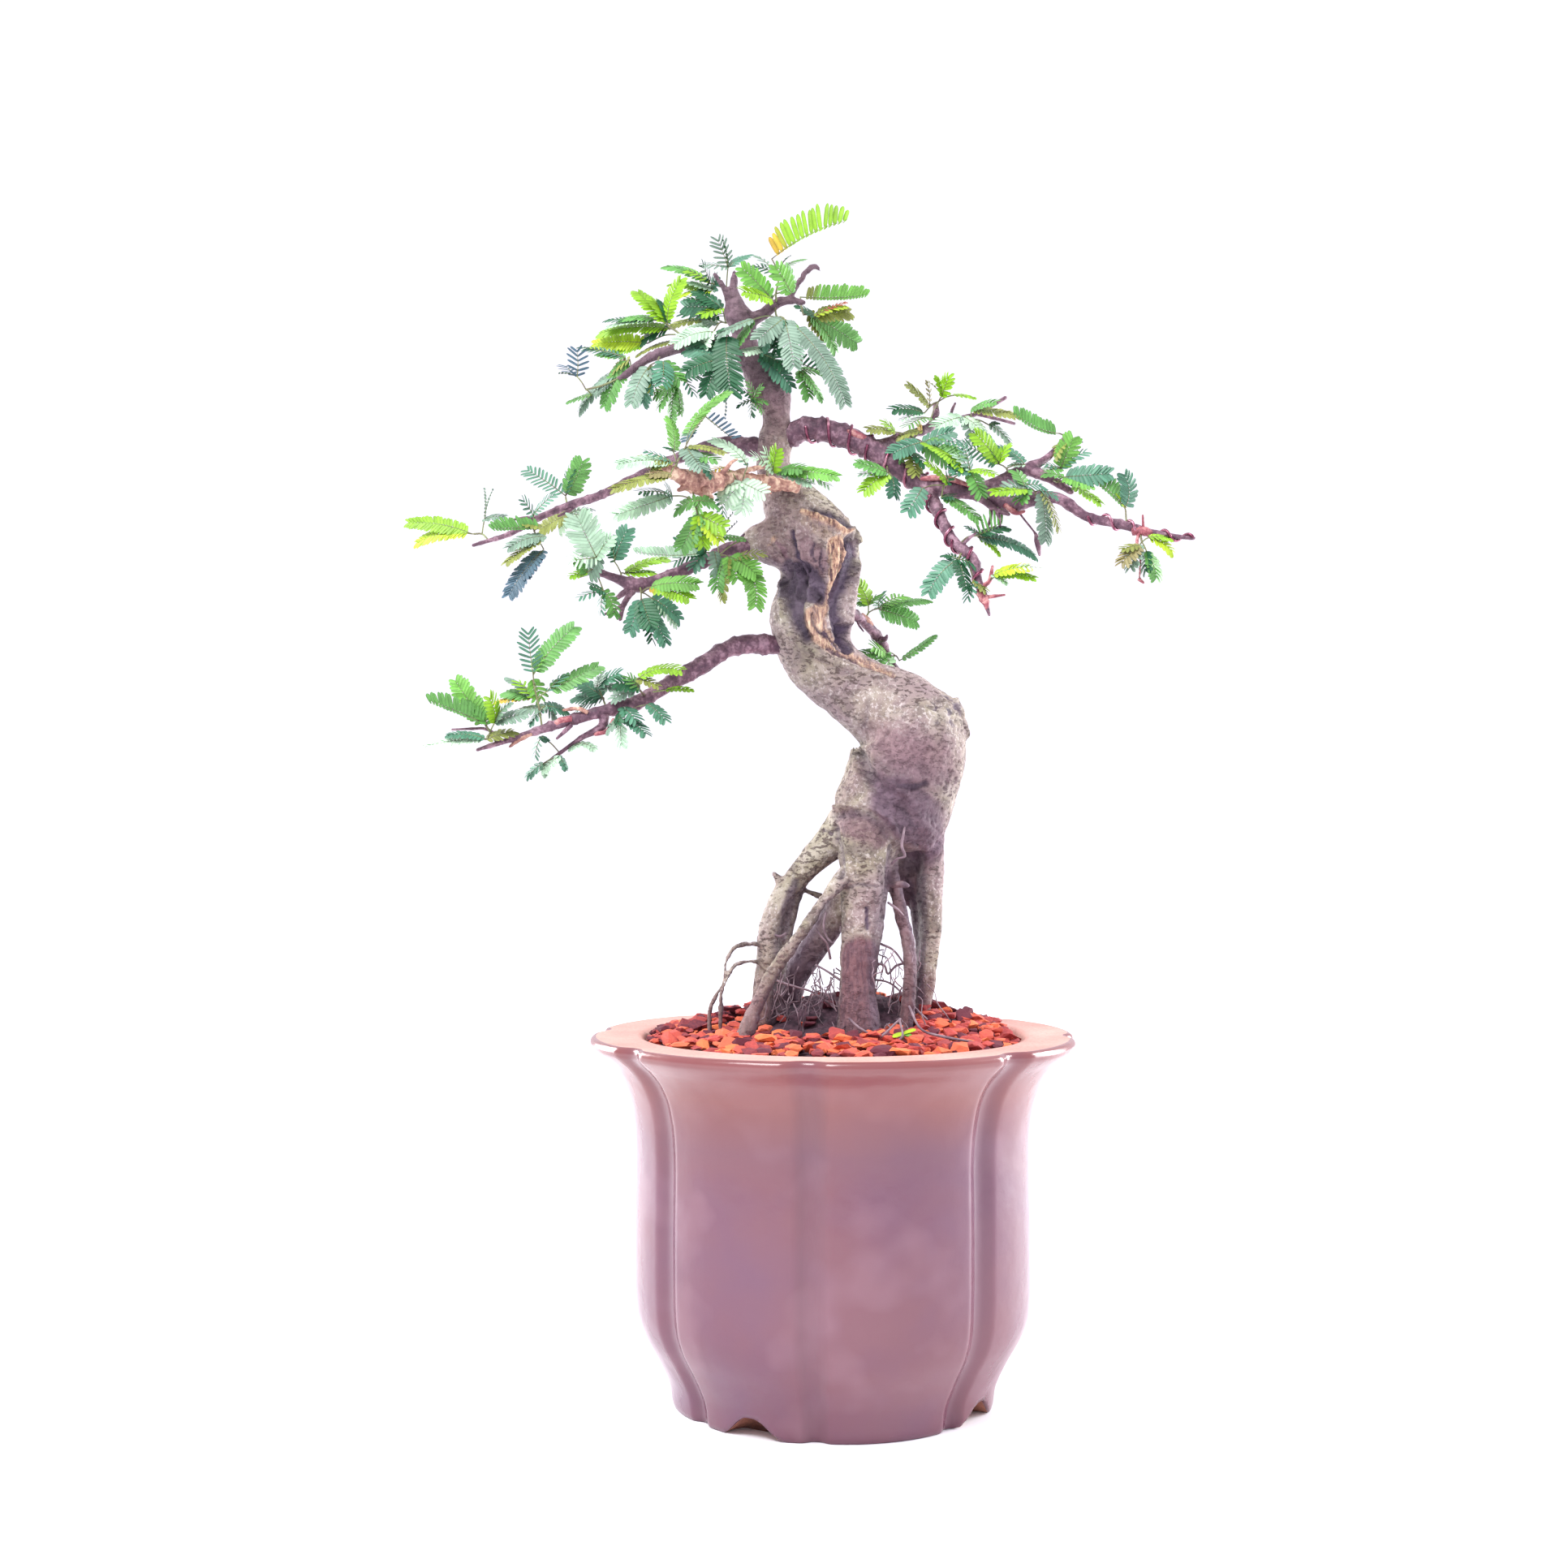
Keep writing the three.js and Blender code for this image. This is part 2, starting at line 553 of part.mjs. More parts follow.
// Foliage. A spray's stalk runs through its points from the wood. Each leaf leaves the
// stalk at the point that at counts, forks, and ends in blades [u, v, y, width in pixels].
const FOLIAGE = {
  leaves_apex_left: {
    from: ["trunk"],
    stalk: [[900, 368, 0], [895, 356, 6], [884, 352, 9]],
    leaves: [
      { at: 1, fork: [896, 332, 7], blades: [[884, 298, 4, 20], [916, 316, 11, 10]] },
      { at: 2, fork: [874, 349, 11], blades: [[825, 328, 14, 10], [868, 327, 5, 12]] },
      { at: 2, fork: [878, 357, 12], blades: [[832, 349, 20, 13]] },
    ],
  },
  leaves_apex_top: {
    from: ["trunk"],
    stalk: [[957, 375, -2], [956, 362, -7], [959, 346, -6], [957, 332, -5]],
    leaves: [
      { at: 3, fork: [959, 318, -5], blades: [[1038, 272, -12, 26]] },
      { at: 3, fork: [961, 330, -3], blades: [[986, 319, 6, 9]] },
      { at: 3, fork: [953, 333, -5], blades: [[930, 325, -2, 13]] },
      { at: 1, fork: [951, 367, -11], blades: [[916, 335, -16, 24], [919, 365, -22, 18]] },
      { at: 1, fork: [967, 358, -11], blades: [[957, 334, -16, 17]] },
    ],
  },
  leaves_apex_right: {
    from: ["trunk"],
    stalk: [[986, 372, -3], [988, 381, 2], [990, 388, 5]],
    leaves: [
      { at: 1, fork: [994, 366, 5], blades: [[1066, 364, 14, 20]] },
      { at: 2, fork: [997, 389, 7], blades: [[1043, 380, 10, 17]] },
      { at: 2, fork: [994, 395, 9], blades: [[1055, 420, 20, 24]] },
    ],
  },
  leaves_crown_hanging: {
    from: ["trunk"],
    stalk: [[955, 378, -2], [958, 391, -10], [974, 400, -13], [988, 446, -12]],
    leaves: [
      { at: 1, fork: [961, 398, -14], blades: [[984, 447, -22, 24], [935, 419, -20, 16]] },
      { at: 2, fork: [982, 404, -16], blades: [[1041, 494, -30, 18]] },
      { at: 3, fork: [993, 456, -11], blades: [[1000, 488, -12, 14], [1014, 475, -6, 9]] },
      { at: 3, fork: [1006, 458, -8], blades: [[984, 430, -2, 13]] },
    ],
  },
  leaves_crown_centre: {
    from: ["trunk"],
    stalk: [[926, 436, 0], [943, 434, -9]],
    leaves: [
      { at: 1, fork: [950, 432, -10], blades: [[922, 429, -16, 13], [958, 414, -8, 12]] },
      { at: 1, fork: [948, 441, -10], blades: [[971, 473, -12, 20]] },
    ],
  },
  leaves_trunk_tuft: {
    from: ["trunk"],
    stalk: [[944, 488, -5], [932, 486, -12]],
    leaves: [
      { at: 1, fork: [930, 487, -13], blades: [[915, 480, -16, 8], [941, 475, -15, 8]] },
      { at: 1, fork: [929, 490, -13], blades: [[925, 509, -13, 8], [912, 496, -9, 6]] },
    ],
  },
  leaves_crown_mint: {
    from: ["trunk"],
    stalk: [[908, 396, 0], [894, 398, 9]],
    leaves: [
      { at: 1, fork: [888, 404, 12], blades: [[842, 411, 20, 14], [850, 396, 14, 11]] },
      { at: 1, fork: [886, 412, 14], blades: [[850, 422, 23, 11]] },
      { at: 1, fork: [888, 386, 7], blades: [[849, 377, 7, 26]] },
    ],
  },
  leaves_crown_dark: {
    from: ["trunk"],
    stalk: [[912, 430, 0], [904, 436, -13], [890, 438, -16]],
    leaves: [
      { at: 1, fork: [904, 442, -18], blades: [[893, 485, -26, 26], [914, 477, -20, 24]] },
      { at: 2, fork: [884, 442, -17], blades: [[872, 482, -22, 22], [856, 450, -26, 20]] },
    ],
  },
  leaves_crown_lime: {
    from: ["trunk"],
    stalk: [[850, 426, -9], [838, 412, -6], [824, 402, -4]],
    leaves: [
      { at: 2, fork: [821, 396, -4], blades: [[785, 364, -1, 20], [842, 353, -8, 16]] },
      { at: 2, fork: [810, 397, -1], blades: [[766, 390, 3, 9]] },
      { at: 1, fork: [824, 407, -1], blades: [[743, 411, 10, 14], [752, 431, 14, 22]] },
    ],
  },
  leaves_crown_left_end: {
    from: ["trunk"],
    stalk: [[778, 456, -13], [762, 466, -12], [742, 475, -12], [722, 480, -12]],
    leaves: [
      { at: 1, fork: [764, 472, -9], blades: [[717, 499, -1, 20], [748, 495, -7, 16]] },
      { at: 3, fork: [711, 464, -12], blades: [[712, 432, -12, 22], [696, 453, -7, 12]] },
      { at: 1, fork: [766, 446, -10], blades: [[720, 431, -7, 15]] },
    ],
  },
  leaves_crown_left_low: {
    from: ["trunk"],
    stalk: [[814, 437, -11], [812, 446, -15], [832, 462, -14], [832, 488, -14]],
    leaves: [
      { at: 1, fork: [800, 454, -16], blades: [[779, 494, -18, 18], [796, 491, -12, 16]] },
      { at: 1, fork: [818, 452, -17], blades: [[812, 476, -24, 20]] },
      { at: 2, fork: [842, 464, -15], blades: [[854, 481, -16, 12]] },
      { at: 3, fork: [830, 492, -14], blades: [[824, 514, -16, 18], [811, 483, -8, 14]] },
    ],
  },
  leaves_front_end: {
    from: ["branch_front"],
    stalk: [[834, 583, -52], [834, 571, -54], [842, 556, -52]],
    leaves: [
      { at: 2, fork: [846, 549, -50], blades: [[892, 487, -38, 18], [868, 572, -60, 22]] },
      { at: 1, fork: [829, 556, -54], blades: [[827, 522, -50, 13]] },
      { at: 1, fork: [824, 571, -57], blades: [[768, 572, -66, 16], [798, 557, -60, 8]] },
      { at: 1, fork: [822, 588, -62], blades: [[758, 602, -72, 16]] },
    ],
  },
  leaves_front_low: {
    from: ["branch_front"],
    stalk: [[854, 604, -45], [855, 616, -50], [860, 634, -52]],
    leaves: [
      { at: 1, fork: [842, 613, -52], blades: [[762, 633, -64, 24], [838, 627, -54, 16]] },
      { at: 1, fork: [864, 618, -53], blades: [[876, 632, -50, 16]] },
      { at: 2, fork: [858, 638, -53], blades: [[847, 672, -56, 24], [880, 660, -54, 24]] },
    ],
  },
  leaves_front_mint: {
    from: ["branch_front"],
    stalk: [[916, 591, -28], [913, 601, -33]],
    leaves: [
      { at: 1, fork: [912, 603, -34], blades: [[893, 616, -38, 22], [937, 609, -36, 22]] },
      { at: 1, fork: [902, 566, -38], blades: [[886, 546, -34, 14], [928, 582, -46, 16]] },
    ],
  },
  leaves_front_right: {
    from: ["branch_front"],
    stalk: [[946, 594, -16], [945, 581, -22]],
    leaves: [
      { at: 1, fork: [946, 577, -23], blades: [[1028, 588, -30, 18], [984, 566, -34, 16]] },
      { at: 1, fork: [940, 574, -25], blades: [[930, 566, -32, 12]] },
    ],
  },
  leaves_second_near: {
    from: ["branch_second_left"],
    stalk: [[890, 681, -10], [886, 684, -19]],
    leaves: [
      { at: 1, fork: [866, 680, -21], blades: [[783, 681, -34, 11], [838, 694, -22, 14]] },
      { at: 1, fork: [868, 671, -21], blades: [[838, 666, -28, 18]] },
      { at: 1, fork: [900, 694, -20], blades: [[932, 742, -30, 28], [936, 700, -22, 20]] },
      { at: 1, fork: [890, 696, -20], blades: [[888, 732, -26, 22]] },
    ],
  },
  leaves_second_mid: {
    from: ["branch_second_left"],
    stalk: [[766, 716, -21], [765, 706, -18]],
    leaves: [
      { at: 1, fork: [773, 703, -16], blades: [[818, 689, -11, 13], [803, 706, -13, 11]] },
      { at: 1, fork: [757, 692, -18], blades: [[771, 657, -20, 25], [748, 668, -24, 12]] },
    ],
  },
  leaves_second_end: {
    from: ["branch_second_left"],
    stalk: [[738, 705, -24], [731, 701, -28]],
    leaves: [
      { at: 1, fork: [732, 698, -29], blades: [[713, 643, -38, 26], [744, 650, -34, 22]] },
      { at: 1, fork: [724, 706, -30], blades: [[707, 708, -32, 10]] },
      { at: 1, fork: [742, 728, -30], blades: [[718, 735, -34, 10], [756, 758, -30, 15]] },
    ],
  },
  leaves_second_low: {
    from: ["branch_second_left"],
    stalk: [[788, 721, -20], [790, 730, -25]],
    leaves: [
      { at: 1, fork: [797, 727, -28], blades: [[856, 719, -38, 20], [842, 737, -36, 18]] },
      { at: 1, fork: [788, 738, -26], blades: [[778, 773, -26, 20], [802, 769, -34, 24]] },
      { at: 1, fork: [800, 738, -24], blades: [[836, 766, -20, 15]] },
    ],
  },
  leaves_upper_vee: {
    from: ["branch_upper_left"],
    stalk: [[699, 625, 34], [697, 613, 38]],
    leaves: [
      { at: 1, fork: [698, 608, 38], blades: [[653, 583, 42, 15], [717, 573, 35, 24]] },
      { at: 1, fork: [700, 634, 42], blades: [[728, 642, 49, 20], [669, 652, 48, 19]] },
    ],
  },
  leaves_upper_mid: {
    from: ["branch_upper_left"],
    stalk: [[655, 643, 38], [658, 654, 32], [664, 668, 27]],
    leaves: [
      { at: 1, fork: [657, 634, 30], blades: [[679, 611, 26, 12]] },
      { at: 1, fork: [650, 652, 28], blades: [[611, 652, 22, 12]] },
      { at: 2, fork: [660, 670, 26], blades: [[630, 688, 20, 16]] },
      { at: 2, fork: [670, 678, 25], blades: [[631, 730, 16, 20]] },
    ],
  },
  leaves_far_left: {
    from: ["branch_upper_left"],
    stalk: [[602, 666, 43], [594, 658, 48], [584, 658, 49]],
    leaves: [
      { at: 2, fork: [576, 659, 50], blades: [[506, 644, 56, 20], [517, 669, 53, 15]] },
      { at: 1, fork: [597, 640, 48], blades: [[597, 603, 49, 6], [607, 604, 45, 6]] },
    ],
  },
  leaves_lower_vee: {
    from: ["branch_lower_left"],
    stalk: [[668, 898, -37], [665, 876, -35], [662, 862, -34], [658, 845, -34]],
    leaves: [
      { at: 3, fork: [657, 833, -34], blades: [[651, 782, -37, 28], [702, 776, -32, 22]] },
      { at: 2, fork: [658, 860, -32], blades: [[628, 852, -26, 14], [616, 872, -28, 12]] },
      { at: 2, fork: [672, 852, -33], blades: [[733, 824, -28, 19]] },
      { at: 1, fork: [673, 872, -32], blades: [[694, 872, -26, 13]] },
    ],
  },
  leaves_lower_far: {
    from: ["branch_lower_left"],
    stalk: [[612, 916, -42], [604, 902, -46], [598, 893, -47]],
    leaves: [
      { at: 2, fork: [597, 890, -47], blades: [[531, 864, -52, 16], [566, 842, -44, 20]] },
      { at: 1, fork: [610, 890, -48], blades: [[603, 852, -54, 22], [645, 876, -50, 16]] },
      { at: 1, fork: [592, 908, -49], blades: [[527, 919, -54, 10]] },
    ],
  },
  leaves_lower_twig: {
    from: ["branch_lower_left"],
    stalk: [[690, 928, -29], [688, 933, -32]],
    leaves: [{ at: 1, fork: [688, 934, -33], blades: [[674, 947, -35, 14]] }],
  },
  leaves_lower_teal: {
    from: ["branch_lower_left"],
    stalk: [[748, 875, -28], [744, 864, -23]],
    leaves: [
      { at: 1, fork: [742, 860, -22], blades: [[714, 862, -15, 15], [722, 841, -17, 20]] },
      { at: 1, fork: [748, 852, -23], blades: [[760, 832, -26, 14]] },
    ],
  },
  leaves_lower_crescent: {
    from: ["branch_lower_left"],
    stalk: [[796, 859, -22], [788, 850, -30]],
    leaves: [
      { at: 1, fork: [784, 848, -31], blades: [[765, 842, -35, 20]] },
      { at: 1, fork: [796, 842, -32], blades: [[836, 826, -35, 11]] },
    ],
  },
  leaves_lower_under: {
    from: ["branch_lower_left"],
    stalk: [[766, 871, -26], [765, 882, -32]],
    leaves: [
      { at: 1, fork: [766, 886, -33], blades: [[780, 902, -39, 16], [766, 915, -33, 18]] },
      { at: 1, fork: [777, 880, -33], blades: [[817, 884, -37, 12]] },
    ],
  },
  leaves_right_tall: {
    from: ["branch_right"],
    stalk: [[1153, 506, 9], [1156, 495, 5]],
    leaves: [
      { at: 1, fork: [1147, 497, 3], blades: [[1123, 477, -2, 11], [1144, 477, 2, 6]] },
      { at: 1, fork: [1142, 506, 1], blades: [[1104, 505, -4, 14], [1121, 527, -8, 13]] },
      { at: 1, fork: [1160, 486, 3], blades: [[1169, 466, 0, 15], [1198, 489, 8, 6]] },
    ],
  },
  leaves_right_twig: {
    from: ["branch_right"],
    stalk: [[1196, 512, 14], [1196, 516, 7]],
    leaves: [
      { at: 1, fork: [1208, 503, 6], blades: [[1250, 507, 4, 13], [1192, 498, 0, 12]] },
      { at: 1, fork: [1190, 520, 4], blades: [[1199, 542, 0, 15], [1162, 520, -2, 17]] },
      { at: 1, fork: [1212, 524, 6], blades: [[1239, 539, 6, 13]] },
    ],
  },
  leaves_right_dark: {
    from: ["branch_right"],
    stalk: [[1122, 535, -1], [1126, 541, -8]],
    leaves: [
      { at: 1, fork: [1137, 546, -12], blades: [[1169, 534, -19, 22], [1179, 563, -27, 26]] },
      { at: 1, fork: [1122, 546, -13], blades: [[1102, 556, -21, 16]] },
      { at: 1, fork: [1106, 530, -7], blades: [[1073, 529, -11, 14]] },
    ],
  },
  leaves_right_lime_low: {
    from: ["branch_right"],
    stalk: [[1092, 568, -10], [1094, 582, -19]],
    leaves: [
      { at: 1, fork: [1092, 584, -21], blades: [[1061, 576, -24, 14], [1069, 602, -26, 20]] },
      { at: 1, fork: [1100, 588, -20], blades: [[1108, 604, -22, 13]] },
    ],
  },
  leaves_right_mid: {
    from: ["branch_right"],
    stalk: [[1165, 603, -15], [1163, 598, -23]],
    leaves: [
      { at: 1, fork: [1138, 606, -24], blades: [[1122, 626, -26, 20]] },
      { at: 1, fork: [1160, 613, -24], blades: [[1201, 638, -30, 13]] },
      { at: 1, fork: [1132, 578, -26], blades: [[1116, 563, -26, 16]] },
      { at: 1, fork: [1192, 588, -25], blades: [[1209, 606, -28, 17], [1222, 588, -32, 9]] },
      { at: 1, fork: [1180, 584, -25], blades: [[1168, 592, -28, 10], [1146, 574, -30, 10]] },
    ],
  },
  leaves_right_striped: {
    from: ["branch_right"],
    stalk: [[1246, 587, -8], [1240, 577, -14]],
    leaves: [
      { at: 1, fork: [1231, 570, -16], blades: [[1195, 550, -23, 17], [1205, 536, -17, 14]] },
      { at: 1, fork: [1250, 568, -13], blades: [[1237, 552, -9, 12]] },
    ],
  },
  leaves_right_fork_up: {
    from: ["branch_right"],
    stalk: [[1308, 545, 7], [1311, 537, 4]],
    leaves: [
      { at: 1, fork: [1303, 530, 3], blades: [[1252, 508, -1, 12]] },
      { at: 1, fork: [1318, 546, 2], blades: [[1309, 581, -3, 22], [1333, 552, 1, 12]] },
    ],
  },
  leaves_right_fork_end: {
    from: ["branch_right"],
    stalk: [[1296, 591, -6], [1302, 594, -11]],
    leaves: [
      { at: 1, fork: [1306, 592, -12], blades: [[1362, 582, -20, 24]] },
      { at: 1, fork: [1320, 598, -12], blades: [[1352, 619, -16, 13]] },
    ],
  },
  leaves_right_low_fork: {
    from: ["branch_right"],
    stalk: [[1276, 614, -20], [1276, 606, -26]],
    leaves: [
      { at: 1, fork: [1268, 604, -28], blades: [[1231, 605, -34, 13], [1250, 592, -30, 16]] },
      { at: 1, fork: [1283, 612, -28], blades: [[1290, 663, -32, 20]] },
    ],
  },
  leaves_right_vee: {
    from: ["branch_right"],
    stalk: [[1388, 648, -23], [1387, 629, -21]],
    leaves: [
      { at: 1, fork: [1386, 626, -21], blades: [[1352, 595, -18, 14], [1392, 590, -22, 19]] },
    ],
  },
  leaves_right_tip: {
    from: ["branch_right"],
    stalk: [[1404, 653, -24], [1407, 668, -29]],
    leaves: [
      { at: 1, fork: [1404, 672, -30], blades: [[1385, 692, -34, 20]] },
      { at: 1, fork: [1413, 680, -30], blades: [[1424, 709, -32, 22]] },
      { at: 1, fork: [1420, 664, -30], blades: [[1441, 677, -30, 18]] },
    ],
  },
  leaves_droop_upper: {
    from: ["branch_drooping"],
    stalk: [[1180, 673, -31], [1192, 662, -29], [1204, 660, -28]],
    leaves: [
      { at: 2, fork: [1210, 657, -27], blades: [[1232, 640, -23, 20]] },
      { at: 2, fork: [1210, 666, -26], blades: [[1270, 682, -19, 15], [1225, 680, -23, 10]] },
    ],
  },
  leaves_droop_vee: {
    from: ["branch_drooping"],
    stalk: [[1186, 679, -33], [1180, 690, -38]],
    leaves: [
      { at: 1, fork: [1180, 692, -38], blades: [[1148, 726, -43, 23], [1192, 722, -45, 18]] },
    ],
  },
  leaves_droop_lime: {
    from: ["branch_drooping"],
    stalk: [[1219, 715, -39], [1226, 710, -42]],
    leaves: [
      { at: 1, fork: [1228, 708, -42], blades: [[1283, 699, -48, 12], [1266, 712, -46, 10]] },
    ],
  },
  leaves_back_upper: {
    from: ["branch_back_right", "trunk"],
    stalk: [[1064, 767, 13], [1070, 755, 17]],
    leaves: [
      { at: 1, fork: [1068, 746, 18], blades: [[1062, 720, 19, 18]] },
      { at: 1, fork: [1082, 750, 19], blades: [[1126, 760, 25, 20], [1140, 740, 31, 14]] },
    ],
  },
  leaves_back_lower: {
    from: ["branch_back_right", "trunk"],
    stalk: [[1095, 809, 28], [1104, 808, 31]],
    leaves: [
      { at: 1, fork: [1110, 806, 31], blades: [[1149, 785, 35, 8]] },
      { at: 1, fork: [1088, 800, 21], blades: [[1059, 806, 11, 11]] },
    ],
  },
};

// A blade: the outline of a feathered pinna as a thin leaf, from its fork to its tip
function blade(fork, tip, widthPixels) {
  const base = spot(fork);
  const end = spot(tip);
  const seen = millimetres(widthPixels, tip[2]);
  const width = Math.max(seen, Math.min(BLADE_WIDTH, seen * 2));
  const along = new THREE.Vector3().subVectors(end, base);
  const length = along.length();
  along.normalize();
  const face = TO_VIEWER.clone().addScaledVector(along, -TO_VIEWER.dot(along)).normalize();
  const tilt = Math.acos(Math.min(seen / width, 1));
  const up = face.clone().applyAxisAngle(along, tilt);
  const down = face.clone().applyAxisAngle(along, -tilt);
  const normal = up.z > down.z ? up : down;
  const across = new THREE.Vector3().crossVectors(normal, along);
  const outline = new THREE.Shape();
  outline.moveTo(-BLADE_LAP, 0);
  outline.lineTo(0.5 * length, -0.5 * width);
  outline.lineTo(length, 0);
  outline.lineTo(0.5 * length, 0.5 * width);
  const geometry = new THREE.ExtrudeGeometry(outline, {
    depth: BLADE_THICKNESS,
    bevelEnabled: false,
  });
  geometry.translate(0, 0, -BLADE_THICKNESS / 2);
  const turn = new THREE.Matrix4().makeBasis(along, across, normal);
  geometry.applyMatrix4(turn.setPosition(base));
  return toSolid(geometry);
}

function stalkSolid(points) {
  const centres = points.map(spot);
  const widths = centres.map(() => STALK_RADIUS);
  return toSolid(limbGeometry(centres, widths, STALK_SIDES));
}

function spray({ stalk, leaves }) {
  const parts = [stalkSolid(stalk)];
  for (const { at, fork, blades } of leaves) {
    parts.push(stalkSolid([stalk[at], fork]));
    for (const [u, v, y, width] of blades) {
      parts.push(blade(fork, [u, v, y], width));
    }
  }
  return join(parts);
}

// Training wire: a helix around a stretch of a branch, clear of its bark
const WIRES = {
  wire_right: { branch: "branch_right", first: 1, last: 3 },
  wire_drooping: { branch: "branch_drooping", first: 1, last: 3 },
  wire_tip: { branch: "branch_right", first: 13, last: 15 },
};
const WIRE_STEPS = 8; // to a turn
const WIRE_SPANS = 8; // to a span of its branch
const WIRE_SPARE = 1.06; // for the corners of the branch's section

function trainingWire(rows) {
  const { points, widths } = alongCurve(rows.map(spot), rows.map((row) => row[3]), WIRE_SPANS);
  const helix = [];
  let travelled = 0;
  let side = new THREE.Vector3(0, -1, 0);
  for (let i = 0; i < points.length - 1; i += 1) {
    const step = new THREE.Vector3().subVectors(points[i + 1], points[i]);
    const length = step.length();
    const along = step.clone().normalize();
    side = side.clone().addScaledVector(along, -side.dot(along)).normalize();
    const up = new THREE.Vector3().crossVectors(along, side);
    const cuts = Math.max(1, Math.round((length / WIRE_PITCH) * WIRE_STEPS));
    for (let k = 0; k < cuts; k += 1) {
      const turn = (2 * Math.PI * (travelled + (length * k) / cuts)) / WIRE_PITCH;
      const reach = widths[i] * WIRE_SPARE + WIRE_RADIUS + 2 * GAP;
      const spotOnHelix = points[i].clone().addScaledVector(step, k / cuts);
      spotOnHelix.addScaledVector(side, reach * Math.cos(turn));
      spotOnHelix.addScaledVector(up, reach * Math.sin(turn));
      helix.push(spotOnHelix);
    }
    travelled += length;
  }
  return toSolid(limbGeometry(helix, helix.map(() => WIRE_RADIUS), 5));
}

// Assembly
const CLAY = { color: "#a2707a", roughness: 0.35, metalness: 0 };
const PLASTIC = { color: "#1d1f22", roughness: 0.6, metalness: 0 };
const EARTH = { color: "#3b2a2a", roughness: 0.95, metalness: 0 };
const BRICK = { color: "#c0603f", roughness: 0.9, metalness: 0 };
const BARK = { color: "#9a8c82", roughness: 0.85, metalness: 0 };
const TWIG = { color: "#7a5560", roughness: 0.8, metalness: 0 };
const WIRE = { color: "#8a4a52", roughness: 0.45, metalness: 0.8 };
const LEAF = { color: "#4e9a4a", roughness: 0.55, metalness: 0 };

const object = new THREE.Group();

function place(name, solid, finish) {
  const mesh = new THREE.Mesh(toGeometry(solid), new THREE.MeshStandardMaterial(finish));
  mesh.name = name;
  object.add(mesh);
}

const trunkLimbs = [...TRUNK_LIMBS, ...ROOT_LIMBS];
const trunk = wood(trunkLimbs);
const trunkSocket = wood(trunkLimbs, { spare: GAP });

place("pot", pot(), CLAY);
place("drain_mesh", drainMesh(), PLASTIC);
place("soil", soil().subtract(trunkSocket), EARTH);
place("grit", grit().subtract(trunkSocket), BRICK);
place("trunk", trunk, BARK);

const sockets = { trunk: trunkSocket };
for (const [name, { from, limbs }] of Object.entries(BRANCHES)) {
  place(name, wood(limbs).subtract(sockets[from]), TWIG);
  sockets[name] = wood(limbs, { spare: GAP });
}
for (const [name, { from, ...parts }] of Object.entries(FOLIAGE)) {
  const clear = join(from.map((carrier) => sockets[carrier]));
  place(name, spray(parts).subtract(clear), LEAF);
}
for (const [name, { branch, first, last }] of Object.entries(WIRES)) {
  const rows = BRANCHES[branch].limbs[0].rows.slice(first, last + 1);
  place(name, trainingWire(rows), WIRE);
}

const box = new THREE.Box3().setFromObject(object);
const middle = box.getCenter(new THREE.Vector3());
object.position.set(-middle.x, -middle.y, -box.min.z);

const group = new THREE.Group();
group.add(object);

export default group;
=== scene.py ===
"""A calliandra bonsai in its lobed glazed pot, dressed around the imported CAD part.

Metres, +Z up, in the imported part's own frame. The tree's free curves are laid out on its
front elevation: a spot is (u, v, depth), pixels across and down on a 1932 x 1932 sheet and
millimetres behind the pot's axis, and the sheet's pinhole stands in FrontView.
"""

import logging
import math
import random
from dataclasses import dataclass, field
from enum import Enum
from typing import Callable, Sequence

import bmesh
import bpy
import numpy as np
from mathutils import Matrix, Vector, noise


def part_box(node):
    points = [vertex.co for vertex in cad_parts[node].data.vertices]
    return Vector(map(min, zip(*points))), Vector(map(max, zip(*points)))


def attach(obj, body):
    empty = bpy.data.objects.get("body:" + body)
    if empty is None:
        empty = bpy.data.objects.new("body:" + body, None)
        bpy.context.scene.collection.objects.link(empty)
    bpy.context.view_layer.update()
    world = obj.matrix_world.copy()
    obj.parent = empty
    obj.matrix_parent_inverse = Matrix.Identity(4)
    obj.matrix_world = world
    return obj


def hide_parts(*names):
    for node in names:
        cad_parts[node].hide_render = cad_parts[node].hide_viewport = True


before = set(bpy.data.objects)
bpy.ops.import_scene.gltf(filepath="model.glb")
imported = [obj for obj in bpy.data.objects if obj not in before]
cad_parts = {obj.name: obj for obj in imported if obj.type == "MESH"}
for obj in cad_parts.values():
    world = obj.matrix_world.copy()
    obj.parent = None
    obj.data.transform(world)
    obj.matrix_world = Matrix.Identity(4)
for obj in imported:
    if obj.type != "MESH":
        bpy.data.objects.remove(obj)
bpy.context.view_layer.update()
MM = 0.001
LOG = logging.getLogger("bonsai")

Array = np.ndarray
Spot = tuple[float, float, float]
Row = tuple[float, float, float, float]
Colour = tuple[float, float, float, float]
Mesh = bpy.types.Mesh
Socket = bpy.types.NodeSocket

# Sockets of Blender's Mix node when it mixes colours
FACTOR, MIX_A, MIX_B, MIX_OUT = 0, 6, 7, 2

# A length that keeps a division from failing, and a way that no limb heads
TINY = 1e-12
ASKEW = (0.31, 0.2, 0.93)

# How far a limb's end and foot reach on, and how wide its end is, as shares of its radius
END_REACH, END_WIDTH, TIP_REACH, FOOT_REACH = 0.6, 0.6, 0.5, 0.3


